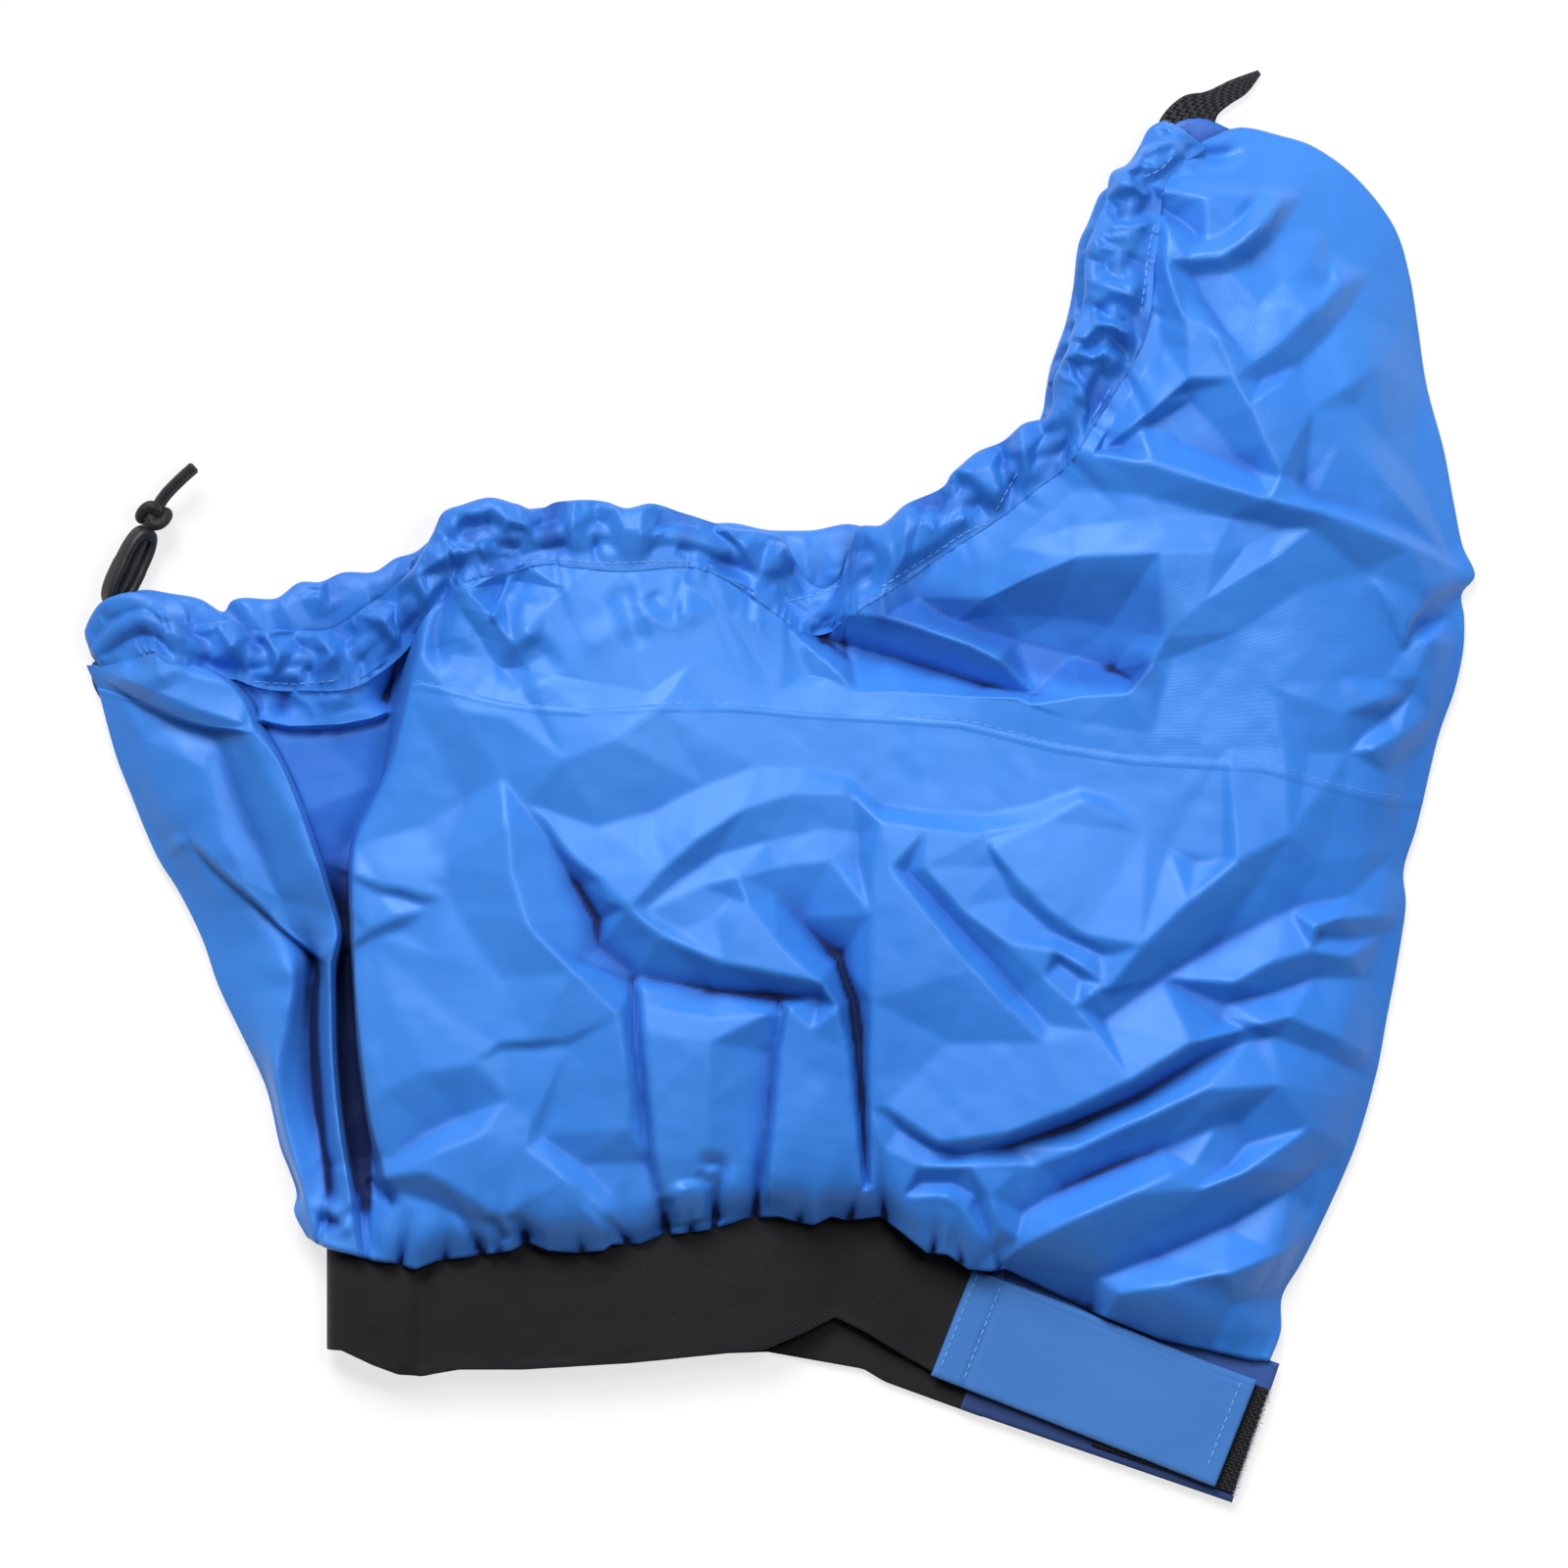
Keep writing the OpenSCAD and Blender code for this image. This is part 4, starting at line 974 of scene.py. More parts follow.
# Crease lines of the front layer: [x, y, height over the drawn net]. Between the lines the cloth
# lies in flat facets.
CREASES = [
    # Body, left half.
    [[-198, -28, -2], [-166, -18, -4], [-147, -6, -4], [-129, 4, 0]],
    [[-172, 40, 1], [-150, 36, 2], [-128, 32, 2]],
    [[-129, 4, 0], [-127, -18, 6], [-125, -42, 7], [-118, -64, 7], [-95, -87, 5], [-74, -107, 3],
     [-71, -130, 2], [-70, -160, 1]],
    [[-147, -6, -4], [-156, -36, -1], [-158, -80, 0], [-150, -110, 0]],
    [[-129, 4, 0], [-100, 12, 4], [-76, 22, 5], [-56, 36, 3]],
    [[-120, -8, -1], [-106, -27, -4], [-94, -46, -8], [-85, -62, -9], [-84, -74, -8],
     [-92, -82, -4]],
    [[-110, -14, -1], [-97, -33, 1], [-83, -44, 2], [-79, -54, 2], [-70, -57, 5]],
    [[-106, -12, -3], [-84, -19, -3], [-60, -12, -4], [-35, 0, -3], [-10, 9, -2], [14, 8, -1]],
    [[-70, -57, 5], [-55, -40, 4], [-38, -25, 4], [-15, -10, 3], [8, -3, 2], [30, -4, 1]],
    [[-58, -54, 1], [-45, -43, -1], [-30, -33, -2], [-5, -26, -1], [22, -20, -1], [38, -22, -3]],
    [[-62, -59, 2], [-35, -47, 1], [-19, -43, 4]],
    [[-19, -43, 4], [0, -38, 1], [25, -35, 1], [38, -37, -2]],
    [[-19, -43, 4], [-14, -55, 5], [0, -73, 6], [20, -92, 8]],
    [[-70, -57, 5], [-55, -70, 4], [-25, -83, 5], [20, -92, 8]],
    [[-22, -52, 1], [-30, -61, 1], [-46, -67, 1]],
    [[-92, -82, -4], [-66, -89, -7], [-30, -96, -7], [0, -99, -7], [19, -99, -4]],
    [[-62, -103, 0], [-30, -109, 1], [-6, -107, 2]],
    [[-2, -50, -1], [10, -62, -5], [28, -80, -9], [35, -100, -9], [38, -125, -8], [40, -150, -8],
     [41.5, -186, -6]],
    [[20, -92, 8], [28, -104, 5], [33, -125, 3], [35.5, -148, 2], [37.5, -168, 2], [40, -190, 1]],
    [[48, -17, 3], [45, -35, 3], [43.5, -60, 3], [43.5, -100, 4], [43, -150, 4], [44, -188, 2]],
    [[-68, -92, -7], [-66.5, -115, -5], [-63, -146, -5], [-60, -176, -5], [-56, -205, -3]],
    [[-64, -95, -1], [-63, -115, 2], [-59.5, -146, 3], [-56.5, -176, 3], [-52, -203, 1]],
    [[2, -107, -3], [-2, -125, -4], [-4, -150, -5], [-7, -180, -5], [-10, -201, -2]],
    [[5, -104, 3], [1.5, -125, 3], [-0.5, -150, 3], [-3.5, -180, 3], [-6, -200, 1]],
    [[-32, -120, 3], [-33, -150, 3], [-34, -172, 2]],
    [[16, -114, 3], [18, -150, 3], [18, -188, 2]],
    [[-130, -120, 1.5], [-115, -119, 2], [-100, -118, 1.5]],
    [[-130, -123, -0.5], [-115, -123, -1], [-98, -121.5, -0.5]],
    [[-181, -174, -3], [-165, -162, -4], [-150, -155, -4], [-127, -147, 0]],
    [[-184, -142, 1], [-166, -134, 2], [-142, -130, 2]],
    [[-176, -179, 2], [-160, -172, 3], [-140, -164, 3], [-116, -158, 1]],
    [[-183, -183, 2], [-165, -181, 4], [-150, -189, 4], [-131, -202, 3], [-118, -211, 1]],
    [[-178, -190, -3], [-160, -195, -4], [-144, -204, -3]],
    [[-111, -164, -2], [-92, -177, -4], [-76, -194, -4], [-68, -207, -2]],
    [[-118, -170, 2], [-100, -184, 4], [-82, -204, 3]],
    [[-187, -50, -1.5], [-176, -52, -2], [-163, -57, -1]],
    [[-187, -46, 1], [-176, -48, 1.5], [-163, -53, 1.5]],
    [[-191, -72, -2], [-176, -66, -2.5], [-150, -58, -1]],
    [[-191, -67, 1], [-177, -61, 1.5]],
    # Body, right half.
    [[34, -3, 0], [48, -17, 5], [70, -20, 4], [95, -23, 4], [125, -17, 3], [142, -7, 3],
     [157, -6, 0]],
    [[30, 6, -2], [48, -9, -3], [70, -12, -1], [98, -13, -1], [122, -8, -1], [140, -1, 0]],
    [[53, -38, 4], [71, -61, 5], [92, -86, 5], [108, -104, 4], [124, -120, 2]],
    [[60, -40, -1], [77, -58, -2], [98, -80, -2], [112, -97, -2], [126, -112, 0]],
    [[68, -38, 4], [86, -58, 4], [106, -73, 5], [124, -90, 4], [139, -103, 3], [150, -115, 2]],
    [[97, -24, 3], [103, -38, 1], [110, -52, 0], [130, -69, 0], [150, -78, 0]],
    [[100, -30, 5], [111, -43, 5], [126, -58, 5], [143, -70, 4], [157, -79, 2]],
    [[129, -77, 5], [141, -84, 5], [155, -94, 4]],
    [[131, -82, 0], [142, -90, 0], [154, -99, 0]],
    [[172, -22, -1], [183, -30, -2], [195, -36, -2], [208, -34, 0]],
    [[147, -97, 5], [170, -75, 6], [192, -54, 6], [215, -35, 5], [240, -23, 3]],
    [[152, -110, -3], [180, -90, -5], [205, -75, -6], [240, -58, -5], [268, -52, -2]],
    [[190, -72, 0], [225, -45, -1], [255, -36, 0]],
    [[252, -66, 5], [262, -62, 5], [282, -61, 3]],
    [[253, -71, -1], [268, -72, -2], [284, -70, -1]],
    [[213, -92, 3], [232, -82, 3], [250, -77, 3], [268, -80, 2]],
    [[210, -102, -6], [232, -97, -5], [252, -90, -4], [275, -90, -2]],
    [[216, -104, -3], [240, -108, 3], [262, -118, 3], [279, -127, 2]],
    [[208, -110, -5], [232, -117, -3], [250, -124, -3], [272, -134, -1]],
    [[50, -150, 4], [76, -167, 6], [107, -163, 7], [136, -152, 7], [165, -138, 7], [194, -120, 6],
     [226, -112, 3]],
    [[82, -173, -3], [108, -169, -5], [138, -159, -6], [168, -146, -6], [197, -129, -6],
     [222, -119, -4]],
    [[112, -180, 0], [140, -170, 2], [170, -156, 4], [200, -142, 5], [235, -140, 4],
     [262, -146, 1]],
    [[50, -170, 4], [66, -178, 4], [90, -178, 3], [122, -177, 0]],
    [[56, -160, 0], [72, -170, -1], [92, -172, -2]],
    [[115, -200, -4], [135, -188, -6], [158, -178, -6], [180, -170, -5], [205, -160, -3]],
    [[205, -150, 2], [216, -157, -4], [220, -168, -5], [212, -178, -4], [200, -186, 0]],
    [[180, -170, 1], [188, -174, -3], [194, -178, 0]],
    [[58, -193, 4], [78, -192, 5], [88, -200, 3]],
    [[66, -186, -1], [82, -186, -2], [92, -192, -2]],
    [[93, -196, -3], [97, -208, -3], [100, -218, -1]],
    [[99, -192, 3], [104, -206, 4], [112, -213, 2]],
    [[104, -224, 2], [117, -214, 6], [140, -202, 8], [165, -191, 8], [184, -182, 5]],
    [[150, -231, -5], [178, -221, -8], [210, -207, -9], [240, -190, -6], [252, -180, -2]],
    [[196, -189, 3], [220, -180, 4], [250, -160, 3]],
    [[160, -238, 3], [185, -234, 5], [210, -229, 6], [236, -219, 3]],
    [[213, -237, 1], [223, -241, -3], [236, -240, -1]],
    [[204, -231, 2], [213, -243, -2], [226, -255, 0]],
    # Deck under the bow lobe.
    [[30, 81, 5], [50, 79, 8], [70, 73, 8], [90, 66, 6], [104, 59, 3]],
    [[26, 68, -6], [50, 61, -10], [75, 54, -12], [98, 47, -12], [120, 43, -8]],
    [[36, 44, 1], [60, 44, 2], [85, 42, 2], [112, 41, 2]],
    [[64, 88, -3], [84, 77, -6], [110, 68, -12], [138, 61, -14], [156, 55, -12], [166, 50, -6]],
    [[100, 80, -6], [130, 79, -10], [156, 75, -9], [170, 71, -4]],
    [[118, 38, 2], [142, 42, 3], [163, 43, 4], [175, 58, 4], [181, 70, 5], [200, 87, 5],
     [230, 105, 4], [250, 121, 3]],
    [[98, 88, 1], [118, 98, 4], [140, 107, 6], [178, 109, 6], [204, 110, 5], [218, 111, 2]],
    [[108, 112, 1], [140, 122, 2], [180, 127, 2], [225, 125, 1]],
    [[112, 40, 1], [140, 30, 2], [175, 25, 1], [210, 18, 0]],
    [[184, 60, 1], [215, 72, 1], [245, 92, 0], [275, 100, -1]],
    # Bow lobe.
    [[117, 156, 1], [148, 156, 6], [175, 151, 8], [200, 143, 9], [230, 134, 9], [260, 127, 9],
     [297, 112, 7], [325, 100, 2]],
    [[156, 170, 0], [190, 161, -1], [222, 149, -1], [246, 142, -1]],
    [[252, 136, 0], [275, 129, 0], [298, 118, 0], [318, 105, 0]],
    [[140, 140, 0], [175, 135, 2], [210, 126, 2], [236, 121, 0]],
    [[203, 203, 4], [214, 190, 5], [221, 178, 6], [228, 160, 6], [235, 146, 6], [243, 136, 5]],
    [[191, 186, -1], [203, 170, -1], [214, 156, -1]],
    [[150, 157, 1], [165, 168, 4], [180, 180, 5], [192, 190, 5], [207, 207, 5]],
    [[207, 210, 5], [200, 218, 3], [190, 228, 2]],
    [[157, 158, -1], [176, 170, -2], [194, 181, -2]],
    [[182, 262, 4], [181, 247, 5], [184, 234, 5], [190, 218, 4], [192, 204, 3]],
    [[176, 262, -3], [175, 245, -3], [177, 228, -3], [180, 208, -3]],
    [[194, 240, -3], [200, 226, -3], [208, 214, -1]],
    [[182, 245, 4], [192, 247, 5], [207, 248, 6], [218, 255, 7], [227, 263, 7], [237, 276, 4]],
    [[200, 256, 1], [212, 262, -1], [222, 272, -2]],
    [[210, 241, -1], [222, 248, -4], [232, 258, -4]],
    [[176, 272, -5], [186, 266, -6], [196, 258, -3]],
    [[176, 285, -2], [200, 284, -2], [222, 280, -1], [240, 277, 0]],
    [[180, 278, 2], [200, 276, 3], [220, 276, 2]],
    [[246, 276, -1], [255, 262, -3], [259, 250, -4], [258, 234, -2]],
    [[277, 240, -2], [268, 224, -3], [257, 210, -3], [243, 197, -2], [226, 190, -1]],
    [[264, 236, 2], [250, 222, 4], [236, 208, 4], [222, 198, 3]],
    [[292, 212, 1], [280, 196, 2], [262, 184, 1]],
    [[237, 190, 2], [250, 176, 3], [264, 163, 3], [290, 136, 3], [316, 106, 2]],
    [[270, 178, -2], [286, 160, -3], [302, 140, -2]],
    [[226, 226, -1], [236, 236, -3], [250, 246, -1]],
    [[296, 78, 4], [306, 87, 3], [319, 96, 1]],
    [[294, 68, 2], [306, 69, 4], [321, 66, 3]],
    [[292, 63, -2], [302, 74, -5], [318, 80, -3]],
    [[284, 50, -1], [297, 43, -2], [285, 32, -4], [273, 22, -3]],
    [[266, 34, 1], [283, 40, 3], [300, 52, 2]],
    [[307, 33, 2], [292, 24, 3], [278, 17, 2]],
    [[310, 22, -1], [298, 14, -2], [286, 6, -2]],
    [[237, 17, 1], [250, 15, -2], [268, 16, -2]],
    [[205, 40, 0], [232, 46, 1], [262, 50, 0]],
    # Deck, left half.
    [[-168, 62, 1], [-163, 84, 1], [-158, 95, 0]],
    [[-120, 104, 2], [-100, 92, 4], [-78, 84, 4], [-52, 84, 3], [-40, 92, 1]],
    [[-150, 84, -1], [-140, 70, -4], [-132, 56, -3], [-122, 48, -1]],
    [[-146, 92, 2], [-134, 80, 3], [-124, 66, 3], [-116, 54, 1]],
    [[-116, 108, -1], [-122, 96, -4], [-128, 86, -4], [-134, 80, 3]],
    [[-30, 100, 3], [-12, 93, 7], [3, 76, 8], [16, 64, 7], [30, 52, 4]],
    [[-22, 104, -2], [-4, 96, -5], [8, 84, -6], [20, 70, -6], [34, 58, -5]],
    [[-60, 44, 1], [-40, 58, 2], [-22, 78, 2], [-16, 90, 3]],
    [[0, 44, 1], [14, 52, 1], [24, 50, 2]],
    # Stern flap.
    [[-318, 54, 1], [-298, 47, 3], [-272, 36, 3], [-250, 29, 2]],
    [[-296, 36, -1], [-280, 27, -3], [-262, 22, -3]],
    [[-250, 25, 3], [-240, 8, 4], [-228, -14, 4], [-220, -34, 3]],
    [[-262, 24, -2], [-256, 2, -3], [-246, -24, -3], [-234, -52, -2]],
    [[-298, 22, 1], [-284, -10, 3], [-266, -48, 3], [-250, -82, 2]],
    [[-268, 8, 1], [-262, -20, 2], [-250, -44, 2]],
    [[-246, -100, -1], [-240, -130, -2], [-234, -160, -2]],
]

# Crease lines of the front hem's upper face: [x, y, height].
HEM_CREASES = [
    # Bow.
    [[153, 268, -1], [160, 268, -4], [170, 271, -5], [179, 274, -4]],
    [[150, 258, 1], [158, 262, 3], [168, 262, 3], [176, 262, 1]],
    [[154, 276, 0], [160, 281, 4], [166, 281, 4], [171, 277, 2]],
    [[157, 286, 1], [163, 288, 2], [169, 284, -2], [175, 280, -2]],
    [[167, 290, 2], [172, 297, 4], [178, 300, 4], [186, 302, 2]],
    [[170, 300, -1], [176, 304, -3], [186, 307, -2]],
    [[146, 212, 2], [150, 216, 5], [157, 215, 6], [164, 211, 6], [168, 204, 5], [167, 195, 2]],
    [[146, 206, -1], [151, 210, -3], [157, 209, -3], [162, 205, -2], [163, 199, -1]],
    [[148, 200, 2], [153, 203, 4], [158, 200, 3], [158, 194, 1]],
    [[143, 194, -3], [149, 196, -3], [153, 192, -3], [158, 188, -2]],
    [[147, 224, -1], [155, 221, -3], [164, 218, -3], [172, 208, -3]],
    [[147, 236, 1], [155, 232, 3], [165, 230, 3]],
    [[148, 246, 0], [156, 243, -2], [165, 246, -1]],
    [[133, 188, 1], [139, 190, 3], [143, 186, 3], [144, 176, 2], [143, 164, 1]],
    [[146, 190, -3], [147, 178, -4], [146, 166, -3]],
    [[134, 200, 2], [139, 203, 3], [144, 202, 2]],
    [[129, 172, 2], [134, 177, 3], [138, 172, 2]],
    [[124, 166, -1], [128, 162, -3], [133, 160, -2]],
    # Rise to the bow.
    [[78, 142, 1], [86, 140, -2], [94, 132, -3], [101, 124, -3]],
    [[82, 148, 2], [90, 146, 3], [98, 138, 3], [104, 130, 1]],
    [[96, 156, 1], [100, 150, 3], [103, 140, 3]],
    [[104, 158, -1], [107, 150, -3], [110, 140, -2]],
    [[112, 164, 2], [115, 156, 3], [117, 147, 2]],
    [[60, 130, 1], [66, 124, 3], [76, 122, 3], [88, 126, 1]],
    [[64, 132, -1], [74, 131, -3], [84, 132, -2]],
    [[48, 121, 1], [52, 110, 3], [54, 98, 2]],
    [[40, 119, -1], [42, 106, -3], [44, 94, -2]],
    # Middle.
    [[-30, 119, -2], [-24, 110, -4], [-18, 101, -3]],
    [[-24, 120, 2], [-16, 112, 3], [-8, 100, 2]],
    [[-4, 116, 1], [2, 112, 4], [5, 107, 4], [2, 101, 2]],
    [[8, 112, -2], [9, 104, -3], [6, 96, -2]],
    [[-56, 128, -1], [-53, 123, -4], [-46, 120, -2], [-36, 117, -1]],
    [[-62, 128, 2], [-60, 118, 3], [-62, 108, 1]],
    [[-86, 131, -1], [-84, 120, -3], [-88, 108, -1]],
    [[-75, 130, 2], [-72, 120, 3], [-74, 108, 1]],
    [[-104, 130, -3], [-106, 120, -4], [-112, 110, -2]],
    [[-96, 132, 2], [-97, 120, 3], [-96, 108, 1]],
    [[-152, 112, -1], [-148, 103, -3], [-144, 96, -3]],
    [[-157, 118, 2], [-152, 110, 4], [-140, 112, 3], [-128, 118, 1]],
    [[-148, 126, 1], [-138, 120, -3], [-126, 116, -4], [-120, 108, -2]],
    [[-134, 130, 2], [-126, 124, 3], [-118, 122, 2]],
    # Pleat and stern flap.
    [[-170, 98, 2], [-165, 90, 3], [-158, 84, 1]],
    [[-184, 86, -3], [-176, 84, -4], [-170, 74, -3]],
    [[-196, 80, 2], [-186, 78, 4], [-178, 68, 2]],
    [[-206, 72, -2], [-198, 66, -4], [-194, 56, -3]],
    [[-216, 70, 2], [-208, 62, 4], [-204, 52, 2]],
    [[-228, 70, -2], [-222, 62, -3], [-220, 52, -1]],
    [[-240, 70, 2], [-234, 62, 4], [-236, 52, 2]],
    [[-248, 72, -3], [-245, 64, -5], [-248, 54, -2]],
    [[-262, 74, 2], [-256, 66, 4], [-258, 56, 1]],
    [[-276, 72, -2], [-270, 66, -4], [-268, 58, -2]],
    [[-284, 78, 2], [-280, 70, 4], [-276, 60, 2]],
    [[-296, 84, -1], [-292, 74, -3], [-286, 64, -2]],
]


@dataclass
class CreaseNet:
    """Faceted heights between crease lines.

    The lines are joined by a constrained Delaunay triangulation, with points of no height on a
    wide lattice where no line is near, and the height is linear over each triangle.
    """

    lines: list
    lattice: float = 30.0
    clear: float = 24.0
    box: tuple[float, float, float, float] = (-340.0, -300.0, 345.0, 340.0)

    def points(self) -> tuple[np.ndarray, list[tuple[int, int]]]:
        """Gather the lines' points, the lattice's points and the lines' edges.

        Returns:
            Points in plan, and the numbers of the two points of each edge.
        """
        pts, edges = [], []
        for line in self.lines:
            for k, p in enumerate(line):
                same = [i for i, q in enumerate(pts) if abs(q[0] - p[0]) + abs(q[1] - p[1]) < 0.5]
                at = same[0] if same else len(pts)
                if not same:
                    pts.append(p)
                if k:
                    edges.append((last, at))
                last = at
        marks = np.array(pts, float)
        x0, y0, x1, y1 = self.box
        gx, gy = np.meshgrid(np.arange(x0, x1, self.lattice), np.arange(y0, y1, self.lattice))
        grid = np.c_[gx.ravel(), gy.ravel()]
        near = np.full(len(grid), 1e9)
        for line in self.lines:
            dist, _ = beside(grid, np.array(line, float)[:, :2])
            near = np.minimum(near, np.abs(dist))
        grid = grid[near > self.clear]
        return np.concatenate([marks, np.c_[grid, np.zeros(len(grid))]]), edges

    def heights(self, xy: np.ndarray) -> np.ndarray:
        """Heights at points in plan.

        Args:
            xy: Points, shape (n, 2).

        Returns:
            Heights, shape (n,).
        """
        pts, edges = self.points()
        verts, _, faces, origin, _, _ = delaunay_2d_cdt(
            [Vector(p[:2]) for p in pts], edges, [], 0, 1e-4)
        place = np.array([tuple(v) for v in verts])
        h = np.zeros(len(place))
        for k, source in enumerate(origin):
            if source and source[0] < len(pts):
                h[k] = pts[source[0], 2]
            else:
                gap = np.linalg.norm(pts[:, :2] - place[k], axis=1)
                near = np.argsort(gap)[:3]
                h[k] = np.average(pts[near, 2], weights=1 / (gap[near] + 0.1))
        out = np.zeros(len(xy))
        for a, b, c in faces:
            pa, pb, pc = place[a], place[b], place[c]
            low, high = np.minimum(np.minimum(pa, pb), pc), np.maximum(np.maximum(pa, pb), pc)
            inside = np.flatnonzero(np.all((xy >= low) & (xy <= high), axis=1))
            if not len(inside):
                continue
            m = np.array([pb - pa, pc - pa]).T
            det = m[0, 0] * m[1, 1] - m[0, 1] * m[1, 0]
            if abs(det) < 1e-9:
                continue
            rel = xy[inside] - pa
            s = (rel[:, 0] * m[1, 1] - rel[:, 1] * m[0, 1]) / det
            t = (rel[:, 1] * m[0, 0] - rel[:, 0] * m[1, 0]) / det
            keep = (s >= -1e-6) & (t >= -1e-6) & (s + t <= 1 + 1e-6)
            out[inside[keep]] = h[a] + s[keep] * (h[b] - h[a]) + t[keep] * (h[c] - h[a])
        return out


# Creases of the gathers at the waist lip: [x, length, depth, lean].
WAIST_CREASES = [
    [-216, 20, 3, 3], [-193, 20, 1.5, -6], [-177, 26, 5, 5], [-156, 12, 2, 3], [-139, 30, 5, -16],
    [-131, 16, 4, -6], [-118, 14, 3, -3], [-92, 12, 2, -4], [-71, 30, 5, -26], [-52, 40, 6, -8],
    [-41, 14, 3, 2], [-30, 24, 5, -1], [-11, 40, 5, 4], [10, 12, 2, 3], [34, 14, 4, 4],
    [50, 34, 6, -4], [73, 16, 4, 3], [86, 12, 3, -4], [104, 12, 3, -4]]


@dataclass
class FrontCloth:
    """Front layer: tunnel and deck, drawn as one net and parted at the seam."""

    across: int = 430
    tunnel_rows: int = 182
    deck_rows: int = 196
    facet_gain: float = 1.3
    least_height: float = 3.6
    net: np.ndarray = field(init=False)
    tunnel: bpy.types.Object = field(init=False)
    deck: bpy.types.Object = field(init=False)

    def margin(self, left: tuple[float, float], right: tuple[float, float]) -> np.ndarray:
        """Share at each column: 0 at both side edges, 1 inside, between the given columns."""
        u = np.arange(self.across)
        return smoothstep(u, *left) * smoothstep(u[::-1], *right)

    def draw_net(self) -> np.ndarray:
        """Work out the layer's points.

        Every fold line is read at even steps, the rows run across the lines as level curves, and
        the outer edges are then drawn to the waist edge, the seam and the hem's stitch line by
        adding their offset, fading inwards.

        Returns:
            Points, shape (rows, across, 3).
        """
        low = np.stack([even_curve(a, self.tunnel_rows) for a, _ in FOLD_LINES])
        top = np.stack([even_curve(a[-1:] + b, self.deck_rows + 1)[1:] for a, b in FOLD_LINES])
        lines = np.concatenate([low, top], axis=1)
        gap = np.linalg.norm(np.diff(lines[:, ::6], axis=0), axis=2).mean(axis=1)
        knots = np.concatenate([[0.0], np.cumsum(np.maximum(gap, 3.0))])
        net = level_curve(knots, lines, np.linspace(0, knots[-1], self.across)).transpose(1, 0, 2)
        seam = self.tunnel_rows - 1
        v = np.arange(net.shape[0])
        off = np.interp(net[0, :, 0], *WAIST_EDGE.T) - net[0, :, 1]
        off *= self.margin((0, 14), (0, 8))
        net[..., 1] += off * (1 - smoothstep(v, 0, 26))[:, None]
        off = np.interp(net[seam, :, 0], *SEAM_LINE.T) - net[seam, :, 1]
        net[..., 1] += off * (1 - smoothstep(np.abs(v - seam), 0, 30))[:, None]
        stitch = even_curve(np.array(FRONT_HEM, float)[:, 2:], 900)
        share = run_of(net[-1]) / run_of(net[-1])[-1]
        run = run_of(stitch)
        goal = read_at(share * run[-1], run, stitch)
        goal[:, 2] += 1.2
        fade = smoothstep(v, len(v) - 1 - 60, len(v) - 1)
        net += (goal - net[-1])[None] * fade[:, None, None]
        return net

    def gathers(self, net: np.ndarray) -> np.ndarray:
        """Height of the gathers at the waist lip.

        Each crease is a narrow valley that leans and fades up its length; the cloth between two
        creases stands up by sin of the share of the way between them.

        Args:
            net: Points of the layer, shape (rows, across, 3).

        Returns:
            Heights, shape (rows, across).
        """
        x = net[..., 0]
        rise = net[..., 1] - np.interp(x, *WAIST_EDGE.T)
        xs = np.array([c[0] for c in WAIST_CREASES], float)
        k = np.clip(np.searchsorted(xs, x) - 1, 0, len(xs) - 2)
        t = np.clip((x - xs[k]) / (xs[k + 1] - xs[k]), 0, 1)
        out = 2.6 * np.sin(np.pi * t) ** 1.2 * (1 - smoothstep(rise, 6, 34)) * (x > xs[0] + 2)
        for at, length, depth, lean in WAIST_CREASES:
            share = np.clip(rise / length, 0, 1)
            off = np.abs(x - at - lean * share) / (2.6 + 3.0 * share)
            out -= depth * np.clip(1 - off, 0, 1) ** 1.5 * (1 - share) ** 0.8 * (rise < length)
        return out

    def puckers(self, net: np.ndarray) -> np.ndarray:
        """Height of the puckers that run from the hem's stitch line into the deck.

        Narrow valleys at uneven steps along the stitch line, each with its own length and lean.

        Args:
            net: Points of the layer, shape (rows, across, 3).

        Returns:
            Heights, shape (rows, across).
        """
        rng = np.random.default_rng(17)
        along = run_of(net[-1, :, :2])[None]
        down = np.cumsum(np.linalg.norm(np.diff(net[::-1, :, :2], axis=0), axis=2), axis=0)
        down = np.concatenate([np.zeros((1, self.across)), down])[::-1]
        out = np.zeros(net.shape[:2])
        stops = np.cumsum(rng.uniform(8, 34, 60))
        for at in stops[stops < along.max()]:
            length, lean, deep = rng.uniform(14, 55), rng.uniform(-0.6, 0.6), rng.uniform(0.5, 2.6)
            fade = np.clip(1 - down / length, 0, 1)
            off = np.abs(along - at - lean * down) / (2.4 + 0.10 * down)
            out -= deep * np.clip(1 - off, 0, 1) ** 1.6 * fade
            off = np.abs(along - at - 5 - lean * down) / (4.5 + 0.10 * down)
            out += 0.6 * deep * (1 - np.clip(off, 0, 1) ** 2) ** 2 * fade
        return out

